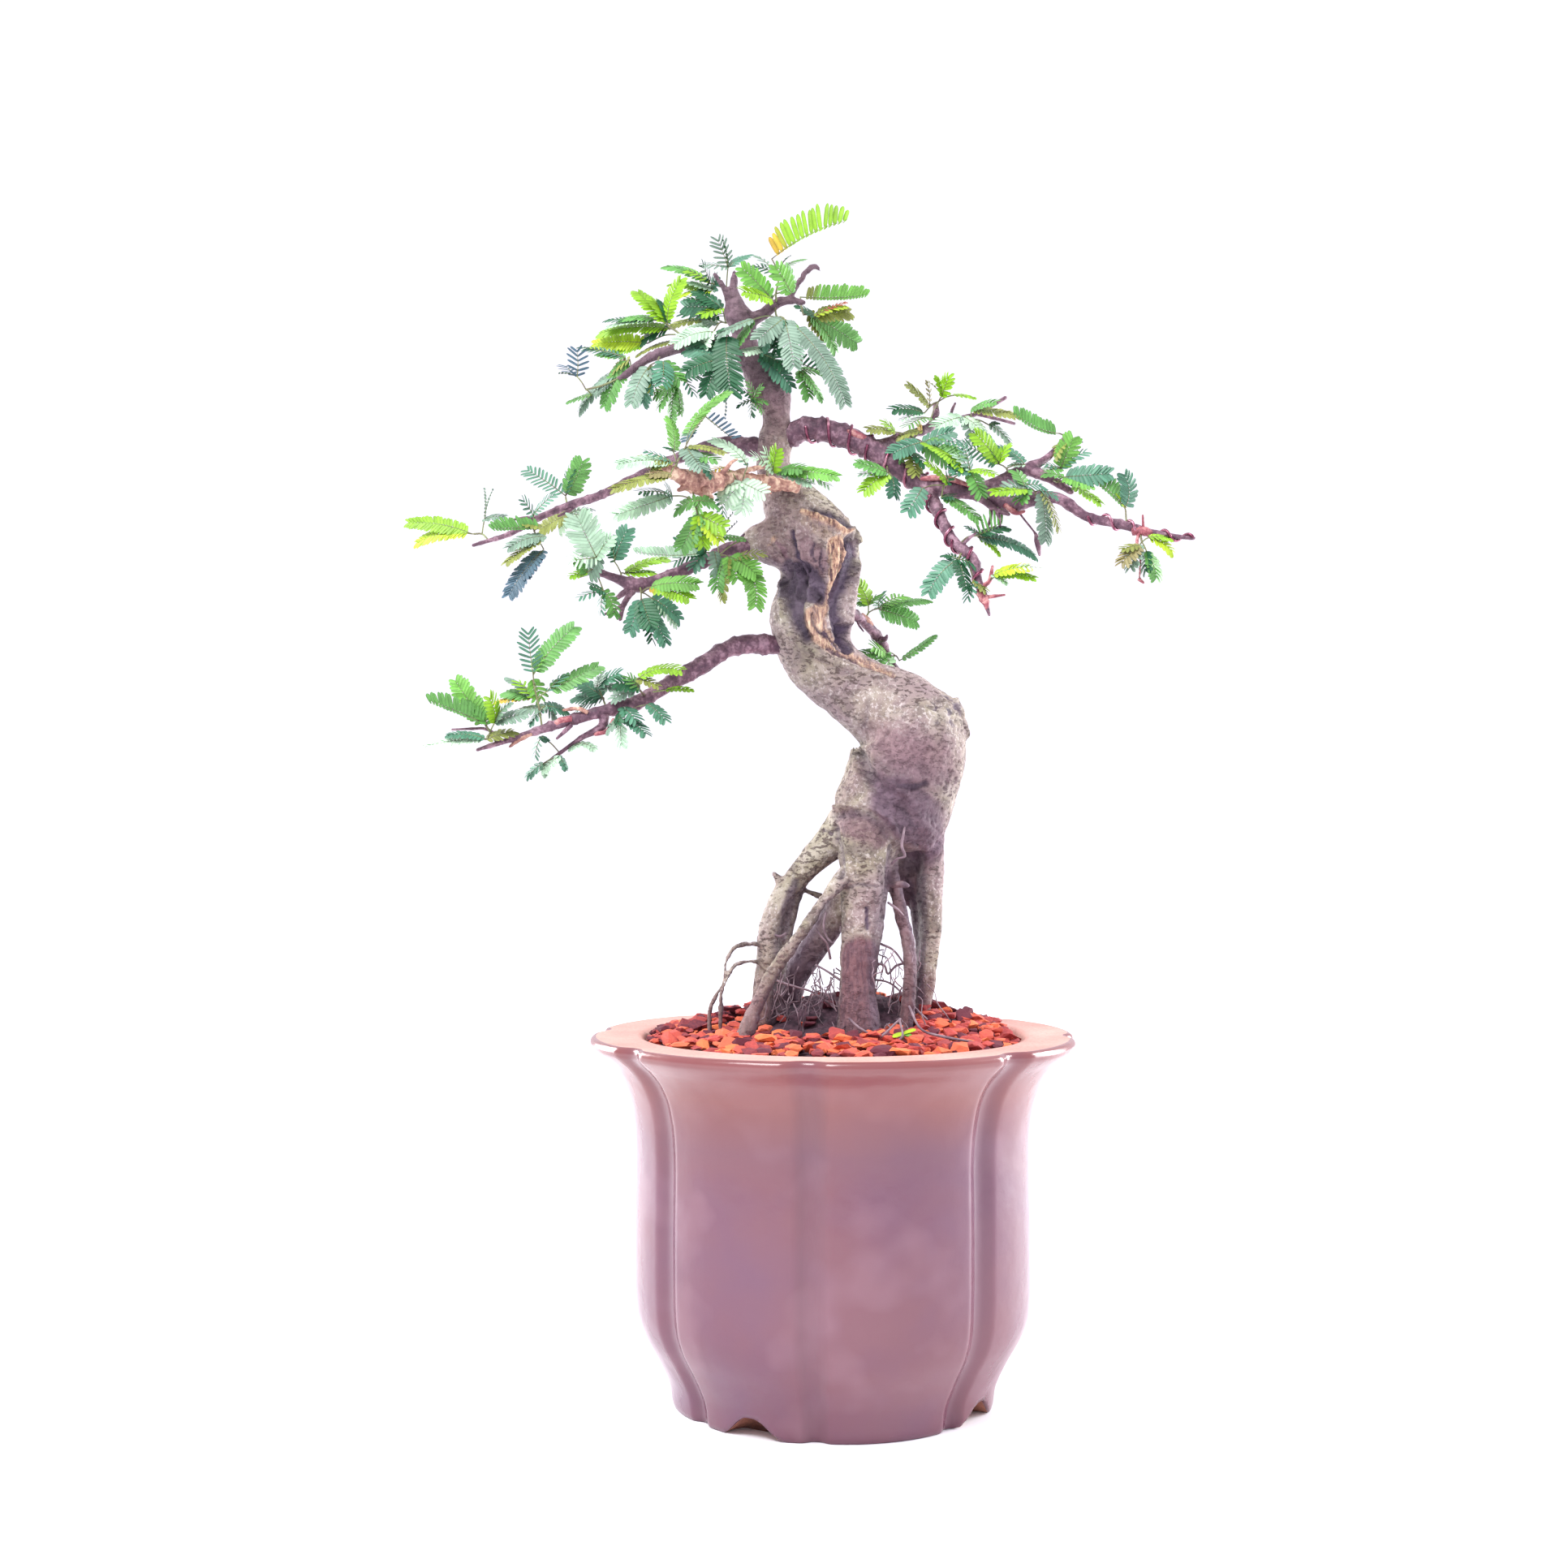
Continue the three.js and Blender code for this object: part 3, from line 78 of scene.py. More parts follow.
def linear(code: str) -> Colour:
    """Turns an sRGB hex code into a linear colour.

    Args:
        code: The colour as "#rrggbb".

    Returns:
        Linear red, green and blue, and an alpha of one.
    """
    parts = [int(code[i : i + 2], 16) / 255 for i in (1, 3, 5)]
    bent = [c / 12.92 if c <= 0.04045 else ((c + 0.055) / 1.055) ** 2.4 for c in parts]
    return bent[0], bent[1], bent[2], 1.0


def smoothstep(low: float, high: float, value: Array) -> Array:
    """Rises smoothly from 0 where value is low to 1 where it is high."""
    t = np.clip((value - low) / (high - low), 0, 1)
    return t * t * (3 - 2 * t)


def add_node(
    tree: bpy.types.NodeTree,
    kind: str,
    values: dict | None = None,
    links: dict | None = None,
    stops: Sequence[tuple[float, str]] = (),
    **settings: object,
) -> bpy.types.Node:
    """Adds a node with its settings and links.

    Args:
        tree: The tree that the node joins.
        kind: The node's type without "ShaderNode".
        values: Socket name or number to its value.
        links: Socket name or number to the output that feeds it.
        stops: A colour ramp's places and hex colours.
        settings: The node's own properties.

    Returns:
        The new node.
    """
    node = tree.nodes.new("ShaderNode" + kind)
    for key, value in settings.items():
        setattr(node, key, value)
    for key, value in (values or {}).items():
        node.inputs[key].default_value = value
    for key, source in (links or {}).items():
        tree.links.new(source, node.inputs[key])
    if stops:
        ramp = node.color_ramp.elements
        while len(ramp) < len(stops):
            ramp.new(0.5)
        for element, (place, code) in zip(ramp, stops):
            element.position = place
            element.color = linear(code)
    return node


@dataclass(frozen=True)
class FrontView:
    """The pinhole through which the tree's front elevation is drawn.

    Its eye is in millimetres from the pot's axis, and axis is that axis in the part's frame.
    """

    axis: Vector
    centre: float = 966.0
    focal: float = 2793.0
    eye: Spot = (-20.2, -930.0, 252.3)
    sheet: float = 1932.0

    def eye_point(self) -> Vector:
        """The eye in the part's frame, in metres."""
        return Vector(self.eye) * MM + self.axis

    def at(self, spot: Sequence[float]) -> Vector:
        """A spot of the elevation as a point in the part's frame, in metres."""
        across = (spot[0] - self.centre) / self.focal
        up = (self.centre - spot[1]) / self.focal
        reach = spot[2] - self.eye[1]
        place = (self.eye[0] + reach * across, spot[2], self.eye[2] + reach * up)
        return Vector(place) * MM + self.axis

    def millimetres(self, pixels: float, depth: float) -> float:
        """The real length of some pixels at that depth."""
        return pixels * (depth - self.eye[1]) / self.focal

    def pixels(self, points: Array) -> tuple[Array, Array]:
        """Where points in metres, one a row, show on the elevation: across and down."""
        seen = (points - np.array(self.eye_point())) / MM
        spread = self.focal / seen[:, 1]
        return self.centre + seen[:, 0] * spread, self.centre - seen[:, 2] * spread


def pot_axis() -> Vector:
    """The foot of the pot's axis in the part's frame, in metres."""
    low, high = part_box("pot")
    return Vector(((low.x + high.x) / 2, (low.y + high.y) / 2, 0))


VIEW = FrontView(pot_axis())
AXIS = np.array(VIEW.axis)


# Finishes


@dataclass(frozen=True)
class Weave:
    """The steps that a finish's pattern is made of, in one material's tree.

    place is the place on the surface, in metres.
    """

    tree: bpy.types.NodeTree
    shader: bpy.types.Node
    place: Socket

    def node(
        self, kind: str, values: dict | None = None, links: dict | None = None,
        output: int | str = 0, **settings: object,
    ) -> Socket:
        """One output of a new node."""
        return add_node(self.tree, kind, values, links, **settings).outputs[output]

    def mask(self, name: str, output: str = "Fac") -> Socket:
        """What the mesh's points say under a name."""
        return self.node("Attribute", output=output, attribute_name=name)

    def moved(self, **change: Spot) -> Socket:
        """The place, moved, turned or stretched by the Mapping node's inputs."""
        return self.node("Mapping", change, {"Vector": self.place})

    def grain(
        self, size: float, detail: float, ragged: float = 0.5, where: Socket | None = None
    ) -> Socket:
        """Noise with features of size millimetres."""
        values = {"Scale": 1 / (size * MM), "Detail": detail, "Roughness": ragged}
        return self.node("TexNoise", values, {"Vector": where or self.place})

    def share(
        self, source: Socket, low: float = 0.0, high: float = 1.0, most: float = 1.0,
        least: float = 0.0,
    ) -> Socket:
        """Runs from least to most while the source runs from low to high."""
        values = {"From Min": low, "From Max": high, "To Min": least, "To Max": most}
        return self.node("MapRange", values, {"Value": source})

    def maths(self, operation: str, *terms: Socket | float, **settings: object) -> Socket:
        """An operation on sockets and numbers."""
        fixed = {i: term for i, term in enumerate(terms) if isinstance(term, float)}
        fed = {i: term for i, term in enumerate(terms) if i not in fixed}
        return self.node("Math", fixed, fed, operation=operation, **settings)

    def ramp(self, source: Socket, *stops: tuple[float, str]) -> Socket:
        """Colours along a source that runs from 0 to 1."""
        return self.node("ValToRGB", links={0: source}, stops=stops)

    def over(self, below: Socket, above: str | Socket, share: Socket) -> Socket:
        """One colour laid over another by a share."""
        fixed = {MIX_B: linear(above)} if isinstance(above, str) else {}
        fed = {FACTOR: share, MIX_A: below} | ({} if fixed else {MIX_B: above})
        return self.node("Mix", fixed, fed, MIX_OUT, data_type="RGBA")

    def raised(
        self, height: Socket, depth: float, strength: float = 0.8, below: Socket | None = None
    ) -> Socket:
        """Relief of depth millimetres, on top of other relief where there is any."""
        values = {"Strength": strength, "Distance": abs(depth) * MM}
        links = {"Height": height} | ({"Normal": below} if below else {})
        return self.node("Bump", values, links, invert=depth < 0)

    def feed(self, **inputs: Socket) -> None:
        """Links outputs to the shader's inputs; an underscore stands for a space."""
        for name, source in inputs.items():
            self.tree.links.new(source, self.shader.inputs[name.replace("_", " ")])


@dataclass(frozen=True)
class Finish:
    """What a surface is made of and how it was made."""

    name: str
    roughness: float
    ior: float = 1.5
    metallic: float = 0.0

    def material(self) -> bpy.types.Material:
        """The finish as a material, made once."""
        made = bpy.data.materials.get(self.name)
        if made:
            return made
        made = bpy.data.materials.new(self.name)
        made.use_nodes = True
        shader = made.node_tree.nodes["Principled BSDF"]
        shader.inputs["Roughness"].default_value = self.roughness
        shader.inputs["IOR"].default_value = self.ior
        shader.inputs["Metallic"].default_value = self.metallic
        place = add_node(made.node_tree, "TexCoord").outputs["Object"]
        self.dress(Weave(made.node_tree, shader, place))
        return made

    def dress(self, weave: Weave) -> None:
        """Adds the finish's own pattern."""
        raise NotImplementedError


@dataclass(frozen=True)
class GlazedStoneware(Finish):
    """Dipped glaze on wheel-thrown stoneware: glassy, pooled thin and thick in soft clouds.

    cloud, blotch, pinhole and wave are sizes in millimetres, and gloss is how far the
    roughness varies. worn and neck are a noise's values and the heights in metres between
    which the thin and the fired glaze come in, and how strong they get.
    """

    mauve: str = "#623b50"
    warm: str = "#6a3e49"
    pooled: str = "#5d3a4a"
    thin: str = "#825e6a"
    fired: str = "#854735"
    cloud: float = 60.0
    blotch: float = 34.0
    pinhole: float = 1.6
    wave: float = 9.0
    worn: Spot = (0.54, 0.66, 0.32)
    neck: Spot = (0.112, 0.132, 0.5)
    gloss: tuple[float, float] = (-0.06, 0.1)

    def dress(self, weave: Weave) -> None:
        """Clouds of warm and mauve glaze, pale thin spots, a fired neck and fine pinholes."""
        cloud = weave.grain(self.cloud, 3.0, 0.55)
        colour = weave.ramp(cloud, (0.36, self.mauve), (0.62, self.warm))
        blotch = weave.grain(self.blotch, 2.0)
        colour = weave.over(colour, self.thin, weave.share(blotch, *self.worn))
        height = weave.node("SeparateXYZ", links={0: weave.place}, output=2)
        colour = weave.over(colour, self.fired, weave.share(height, *self.neck))
        colour = weave.over(colour, self.pooled, weave.mask("groove"))
        least, most = (self.roughness + change for change in self.gloss)
        fine = weave.raised(weave.grain(self.pinhole, 2.0), 0.15, 0.25)
        soft = weave.raised(weave.grain(self.wave, 1.0), 0.5, 0.5, fine)
        gloss = weave.share(blotch, least=least, most=most)
        weave.feed(Base_Color=colour, Roughness=gloss, Normal=soft)


@dataclass(frozen=True)
class Speckled(Finish):
    """A matt surface of one colour broken by a coarse and a fine grain, in millimetres."""

    light: str = "#ffffff"
    dark: str = "#000000"
    grain: float = 2.0
    patch: float = 12.0
    relief: float = 0.3

    def dress(self, weave: Weave) -> None:
        """Two noises added together choose between the dark and the light colour."""
        grain = weave.grain(self.grain, 4.0)
        both = weave.maths("ADD", grain, weave.grain(self.patch, 2.0))
        middle = weave.maths("MULTIPLY", both, 0.5)
        colour = weave.ramp(middle, (0.38, self.dark), (0.62, self.light))
        weave.feed(Base_Color=colour, Normal=weave.raised(grain, self.relief, 0.6))


@dataclass(frozen=True)
class CrushedBrick(Finish):
    """Crushed fired clay: each chip fired a little differently, with a sandy broken face."""

    pale: str = "#dd7444"
    fired: str = "#b3463f"
    dark: str = "#5a1f2e"
    grain: float = 1.1

    def dress(self, weave: Weave) -> None:
        """Each chip's own tone, roughened by a sandy grain."""
        grain = weave.grain(self.grain, 4.0)
        sandy = weave.share(grain, least=-0.16, most=0.16)
        tone = weave.maths("ADD", weave.mask("tone"), sandy, use_clamp=True)
        colour = weave.ramp(tone, (0.05, self.dark), (0.45, self.fired), (0.95, self.pale))
        weave.feed(Base_Color=colour, Normal=weave.raised(grain, 0.4, 0.7))


@dataclass(frozen=True)
class OldBark(Finish):
    """Living bark of an old trunk and its deadwood.

    The bark is pale and matt, pitted with dark lenticels. Stripped wood shows golden grain.
    A dark mauve wash is painted shade in hollows, pits, cracks and undersides, and a red-brown
    wash is both raw skin and painted shade. Single numbers are sizes in millimetres. A share is
    the noise's values between which a colour comes in, and how strong it gets; an aside moves
    its noise.
    """

    pale: str = "#a39b8c"
    middle: str = "#8b826f"
    shade: str = "#6f665b"
    blush: str = "#8e787e"
    speck: str = "#453330"
    fleck: str = "#c9c0bc"
    wood: str = "#ad8670"
    wood_pale: str = "#dcc2a0"
    wood_dark: str = "#654642"
    # painted shade: dark mauve for hollows, pits, cracks and undersides
    hollow: str = "#514157"
    painted_shade_dark: str = "#33283c"
    # red-brown skin, also used as painted shade under the swelling and the lip and on roots further back
    raw: str = "#7c5f66"
    raw_skin_and_shade_dark: str = "#5f434b"
    umber: str = "#755459"
    umber_dark: str = "#5a3f48"
    drift: float = 42.0
    patch: float = 13.0
    flake: float = 3.4
    cluster: float = 16.0
    speck_size: float = 1.9
    fleck_size: float = 1.4
    fibre: float = 1.5
    blush_share: Spot = (0.42, 0.6, 0.7)
    fleck_share: Spot = (0.53, 0.6, 0.6)
    speck_share: Spot = (0.53, 0.59, 0.8)
    pale_cluster: Spot = (0.56, 0.44, 1.0)
    dark_cluster: Spot = (0.38, 0.56, 1.0)
    blush_aside: Spot = (0.7, 2.3, 1.1)
    cluster_aside: Spot = (5.3, 0.2, 2.9)
    fleck_aside: Spot = (3.1, 1.7, 0.4)
    speck_stretch: Spot = (0.7, 0.7, 1.45)
    fibre_turn: Spot = (0.0, 0.25, 0.0)
    fibre_stretch: Spot = (1.0, 1.0, 0.2)

    def dress(self, weave: Weave) -> None:
        """Bark with clustered specks and flecks, its washes, bare wood and painted shade."""

        def grain(size: float, **change: Spot) -> Socket:
            """Ragged noise; moving it keeps it from coinciding with another."""
            return weave.grain(size, 4.0, 0.65, weave.moved(**change) if change else None)

        def clustered(spots: Socket, share: Spot, cluster: Socket, where: Spot) -> Socket:
            """Spots that show only in some clusters."""
            shares = weave.share(spots, *share), weave.share(cluster, *where)
            return weave.maths("MULTIPLY", *shares)

        flake = grain(self.flake)
        both = weave.maths("MULTIPLY_ADD", flake, 0.35, grain(self.patch))
        colour = weave.ramp(both, (0.56, self.shade), (0.67, self.middle), (0.79, self.pale))
        drift = weave.share(grain(self.drift, Location=self.blush_aside), *self.blush_share)
        colour = weave.over(colour, self.blush, drift)
        cluster = grain(self.cluster, Location=self.cluster_aside)
        fleck = grain(self.fleck_size, Location=self.fleck_aside)
        fleck = clustered(fleck, self.fleck_share, cluster, self.pale_cluster)
        speck = grain(self.speck_size, Scale=self.speck_stretch)
        speck = clustered(speck, self.speck_share, cluster, self.dark_cluster)
        colour = weave.over(weave.over(colour, self.fleck, fleck), self.speck, speck)
        fibres = grain(self.fibre, Rotation=self.fibre_turn, Scale=self.fibre_stretch)
        washes = {
            # the red-brown wash is raw skin and painted shade; the dark mauve one is painted shade
            "raw": (flake, (0.4, self.raw_skin_and_shade_dark), (0.58, self.raw)),
            "umber": (fibres, (0.4, self.umber_dark), (0.6, self.umber)),
            "bare": (
                fibres, (0.38, self.wood_dark), (0.5, self.wood), (0.66, self.wood_pale)
            ),
            "hollow": (both, (0.58, self.painted_shade_dark), (0.78, self.hollow)),
        }
        for name, wash in washes.items():
            colour = weave.over(colour, weave.ramp(*wash), weave.mask(name))
        relief = weave.raised(flake, 0.8)
        relief = weave.raised(speck, -0.6, below=relief)
        weave.feed(Base_Color=colour, Normal=weave.raised(fibres, 0.5, below=relief))


@dataclass(frozen=True)
class TwigBark(Finish):
    """Young bark: thin, purple brown, a little waxy, with pale ridges and dark nodes."""

    dark: str = "#44293a"
    mid: str = "#604150"
    light: str = "#91707e"
    ridge: float = 1.3
    patch: float = 4.5

    def dress(self, weave: Weave) -> None:
        """Patches in three tones with a fine raised grain."""
        ridge = weave.grain(self.ridge, 3.0)
        both = weave.maths("MULTIPLY_ADD", ridge, 0.6, weave.grain(self.patch, 4.0))
        colour = weave.ramp(both, (0.6, self.dark), (0.8, self.mid), (1.02, self.light))
        weave.feed(Base_Color=colour, Normal=weave.raised(ridge, 0.35))


@dataclass(frozen=True)
class Anodised(TwigBark):
    """Copper-brown anodising on wire, rubbed to bright metal on its high spots."""

    dark: str = "#54293b"
    mid: str = "#7c4257"
    light: str = "#b98797"
    ridge: float = 2.2
    patch: float = 9.0


@dataclass(frozen=True)
class Leaflet(Finish):
    """Fresh leaflet with a thin waxy skin: the colour its mesh holds, with painted backlight, sheen and
    shade in it, paler along the middle vein.
    """

    fleck: float = 2.5

    def dress(self, weave: Weave) -> None:
        """Each leaflet's colour from its mesh, painted light and shade included, flecked and lightened
        towards its vein.
        """
        vein = weave.mask("vein")
        shade = weave.share(weave.grain(self.fleck, 2.0), least=0.5, most=1.06)
        light = weave.maths("MULTIPLY_ADD", vein, 0.3, shade)
        links = {0: weave.mask("leaf_colour", "Color"), "Scale": light}
        colour = weave.node("VectorMath", links=links, operation="SCALE")
        weave.feed(Base_Color=colour, Normal=weave.raised(vein, 0.1, 0.3))


GLAZE = GlazedStoneware("Glazed stoneware, dipped", roughness=0.2, ior=1.55)
RIM_CLAY = Speckled(  # wiped bare before firing: matt, warm, faintly sandy
    "Stoneware rim, wiped bare", 0.72, light="#c3988d", dark="#b38279",
    grain=1.2, patch=22.0, relief=0.15,
)
FOOT_CLAY = Speckled(  # unglazed floor and underside: dry terracotta
    "Stoneware, unglazed", 0.85, light="#9c6551", dark="#7b4b3d", grain=1.0, patch=14.0,
)
DRAIN_PLASTIC = Speckled(  # moulded mesh: slight sheen, dusty black
    "Polypropylene, moulded black", 0.5, light="#24262a", dark="#15171a",
    grain=1.0, patch=8.0, relief=0.08,
)
EARTH = Speckled(  # damp peat and bark crumbs: dark purple brown and very rough
    "Potting soil, damp crumbs", 0.95, light="#5a404c", dark="#2b1c27",
    grain=1.8, patch=7.0, relief=0.9,
)
BRICK = CrushedBrick("Fired clay, crushed", roughness=0.85)
STONE = Speckled(  # broken granite chip: cool grey with glinting grain
    "Granite, broken", 0.7, light="#79777e", dark="#3f3d44", grain=0.9, patch=3.0,
)
BARK = OldBark("Calliandra trunk, bark and deadwood", roughness=0.78)
ROOT_HAIR = Speckled(  # dried feeder roots: wiry, mauve brown with paler skins
    "Feeder roots, dried", 0.8, light="#8c7880", dark="#5a4550", grain=3.0, patch=9.0,
)
TWIG = TwigBark("Calliandra twig, young bark", roughness=0.62)
TAN_TWIG = TwigBark(  # the branch in front: sun-bleached, flaking orange tan
    "Calliandra twig, bleached", 0.68, dark="#714842", mid="#a3776a", light="#d6b8a0",
)
RED_TWIG = TwigBark(  # torn inner bark, still red
    "Calliandra inner bark, torn", 0.6, dark="#6b303c", mid="#914852", light="#c08d88",
)
WIRE = Anodised("Aluminium wire, anodised", 0.42, metallic=0.85)
LEAF = Leaflet("Calliandra leaflet, waxy", roughness=0.5, ior=1.45)
STEM = Speckled(  # leaf stalk: smooth olive green, browner at its foot
    "Leaf stalk, green", 0.55, light="#798353", dark="#5a4d40", grain=2.5, patch=9.0,
    relief=0.05,
)

# The finishes of a piece, and names for the numbers that its faces hold
POT_FINISHES = (GLAZE, RIM_CLAY, FOOT_CLAY)
GLAZED, WIPED, UNGLAZED = range(3)
BRANCH_FINISHES = (TWIG, TAN_TWIG, RED_TWIG)
YOUNG, TAN, TORN = range(3)
SPRAY_FINISHES = (LEAF, STEM)
LEAFY, STALKY = range(2)


# Meshes


@dataclass
class Batch:
    """Points, faces and values on points that become one mesh."""

    points: list[Array] = field(default_factory=list)
    faces: list[tuple[int, ...]] = field(default_factory=list)
    finishes: list[int] = field(default_factory=list)
    values: dict[str, list[Array]] = field(default_factory=dict)
    count: int = 0

    def add(
        self,
        points: Array,
        faces: Sequence[Sequence[int]],
        finish: int = 0,
        **values: Array | float,
    ) -> None:
        """Adds a patch of mesh.

        Args:
            points: Its points in metres, one a row.
            faces: Its faces, numbered from its own first point.
            finish: The number of its finish in the object's list.
            values: Values on its points, one for each point or one for all.
        """
        start = self.count
        self.points.append(points)
        self.faces.extend(tuple(i + start for i in face) for face in faces)
        self.finishes.extend([finish] * len(faces))
        self.count += len(points)
        for key, value in values.items():
            array = np.asarray(value, float)
            shape = (len(points), 4) if array.shape[-1:] == (4,) else (len(points),)
            self.values.setdefault(key, []).append(np.broadcast_to(array, shape))

    def mesh(self, name: str) -> Mesh:
        """The gathered patches as one Blender mesh."""
        mesh = bpy.data.meshes.new(name)
        mesh.from_pydata(np.concatenate(self.points).tolist(), [], self.faces)
        mesh.polygons.foreach_set("material_index", self.finishes)
        for key, rows in self.values.items():
            write_values(mesh, key, np.concatenate(rows))
        mesh.shade_smooth()
        return mesh

    def show(
        self, name: str, finishes: Sequence[Finish], slot: str, *nodes: str, flat: bool = False
    ) -> None:
        """Puts the patches on the object as a piece with smooth or flat faces.

        Args:
            name: The piece's name.
            finishes: Its finishes, by the numbers that its faces hold.
            slot: The record's material slot that it belongs to.
            nodes: The CAD nodes that it stands for.
            flat: Whether its faces stay flat.
        """
        mesh = self.mesh(name)
        if flat:
            mesh.shade_flat()
        show(name, mesh, finishes, slot, *nodes)


def write_values(mesh: Mesh, name: str, values: Array) -> None:
    """Writes numbers or colours on a mesh's points.

    Args:
        mesh: The mesh.
        name: The attribute's name.
        values: One number, or four for a colour, for each point.
    """
    kind, key = ("FLOAT_COLOR", "color") if values.ndim == 2 else ("FLOAT", "value")
    layer = mesh.attributes.new(name, kind, "POINT")
    layer.data.foreach_set(key, values.astype(np.float32).ravel())


def in_scene(name: str, data: bpy.types.ID) -> bpy.types.Object:
    """A new object in the scene that holds the data."""
    made = bpy.data.objects.new(name, data)
    bpy.context.scene.collection.objects.link(made)
    return made


def show(name: str, mesh: Mesh, finishes: Sequence[Finish], slot: str, *nodes: str) -> None:
    """Puts a mesh on the object as a named piece.

    Args:
        name: The piece's name.
        mesh: Its mesh, in the part's frame.
        finishes: Its finishes, by the numbers that its faces hold.
        slot: The record's material slot that it belongs to; not used.
        nodes: The CAD nodes that it stands for.
    """
    piece = in_scene(name, mesh)
    for finish in finishes:
        mesh.materials.append(finish.material())
    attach(piece, "root")
    if nodes:
        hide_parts(*nodes)
    LOG.info("%s: %d faces", name, len(mesh.polygons))


def along_curve(rows: Array, step: float) -> Array:
    """Carries a smooth curve through some rows.

    Args:
        rows: The curve's rows: a point first, and any values behind it.
        step: The distance between the new rows, in the unit of the points.

    Returns:
        Evenly spread rows on the curve, its ends among them.
    """
    rows = np.asarray(rows, float)
    padded = np.vstack([2 * rows[0] - rows[1], rows, 2 * rows[-1] - rows[-2]])
    made = []
    for a, b, c, d in zip(padded, padded[1:], padded[2:], padded[3:]):
        count = max(1, int(round(np.linalg.norm(c[:3] - b[:3]) / step)))
        for t in np.arange(count) / count:
            bent = (
                2 * b + (c - a) * t + (2 * a - 5 * b + 4 * c - d) * t * t
                + (3 * b - a - 3 * c + d) * t**3
            )
            made.append(bent / 2)
    made.append(rows[-1])
    return np.array(made)


def placed(rows: Sequence[Row]) -> Array:
    """Rows of (u, v, depth, radius in mm) as metres in the part's frame."""
    return np.array([[*VIEW.at(row), row[3] * MM] for row in rows])


def rough(points: Array, size: float, seed: float = 0.0) -> Array:
    """Smooth noise from -1 to 1 at each point.

    Args:
        points: Points in metres, one a row.
        size: The noise's grain in millimetres.
        seed: Shifts the noise, to make another one.

    Returns:
        One value for each point.
    """
    spread = points / (size * MM) + seed
    return np.array([noise.noise(Vector(p)) for p in spread])


def lofted(rings: int, around: int, closed: bool = False) -> list[tuple[int, ...]]:
    """The four-sided faces between rings of points.

    Args:
        rings: How many rings there are.
        around: How many points each ring has.
        closed: Whether the last ring joins the first one.

    Returns:
        The faces, ring by ring.
    """
    faces = []
    for ring in range(rings if closed else rings - 1):
        low, high = ring * around, (ring + 1) % rings * around
        for a in range(around):
            b = (a + 1) % around
            faces.append((low + a, low + b, high + b, high + a))
    return faces


def tube(
    batch: Batch,
    rows: Array,
    sides: int,
    finish: int = 0,
    wobble: float = 0.0,
    grain: float = 3.0,
    **values: Array | float,
) -> None:
    """Adds a round limb along a curve, with a domed end.

    Args:
        batch: The mesh that it joins.
        rows: Rows of a point and a radius, in metres.
        sides: How many sides its section has.
        finish: The number of its finish.
        wobble: How much noise changes its radius, as a share of it.
        grain: The size of that noise in millimetres.
        values: Values on its points.
    """
    centres, radii = rows[:, :3], rows[:, 3]
    heading = np.gradient(centres, axis=0)
    heading /= np.linalg.norm(heading, axis=1)[:, None] + TINY
    centres = np.vstack([centres, centres[-1] + heading[-1] * radii[-1] * END_REACH])
    radii = np.append(radii, radii[-1] * END_WIDTH)
    heading = np.vstack([heading, heading[-1]])
    side = np.cross(heading[0], ASKEW)
    turns = np.arange(sides) * 2 * math.pi / sides
    rings = []
    for centre, radius, ahead in zip(centres, radii, heading):
        side = side - ahead * side.dot(ahead)
        side /= np.linalg.norm(side) + TINY
        up = np.cross(ahead, side)
        ring = np.outer(np.cos(turns), side) + np.outer(np.sin(turns), up)
        rings.append(centre + radius * ring)
    points = np.concatenate(rings)
    if wobble:
        middle = np.repeat(centres, sides, axis=0)
        swell = 1 + wobble * rough(points, grain) + 0.5 * wobble * rough(points, grain / 2.3)
        points = middle + (points - middle) * swell[:, None]
    tip = centres[-1] + heading[-1] * radii[-1] * TIP_REACH
    points = np.vstack([points, centres[0] - heading[0] * radii[0] * FOOT_REACH, tip])
    last = (len(centres) - 1) * sides
    faces = lofted(len(centres), sides)
    foot, head = len(points) - 2, len(points) - 1
    faces += [((j + 1) % sides, j, foot) for j in range(sides)]
    faces += [(last + j, last + (j + 1) % sides, head) for j in range(sides)]
    batch.add(points, faces, finish, **values)


def closed_hull(rng: random.Random, corners: int, flat: float) -> tuple[Array, list]:
    """A lump with broken faces: the hull of some points on a squashed ball.

    Args:
        rng: Gives the points.
        corners: How many points are thrown.
        flat: The lump's height, as a share of its width.

    Returns:
        The hull's points, about one unit across, and its faces.
    """
    shell = bmesh.new()
    for _ in range(corners):
        way = Vector([rng.gauss(0, 1) for _ in range(3)]).normalized()
        way *= rng.uniform(0.8, 1.0)
        shell.verts.new((way.x * 0.5, way.y * 0.5 * rng.uniform(0.75, 1), way.z * 0.5 * flat))
    made = bmesh.ops.convex_hull(shell, input=shell.verts)
    loose = [v for v in made["geom_interior"] if isinstance(v, bmesh.types.BMVert)]
    bmesh.ops.delete(shell, geom=loose, context="VERTS")
    shell.verts.index_update()
    points = np.array([v.co[:] for v in shell.verts])
    faces = [tuple(v.index for v in f.verts) for f in shell.faces]
    shell.free()
    return points, faces


# The pot


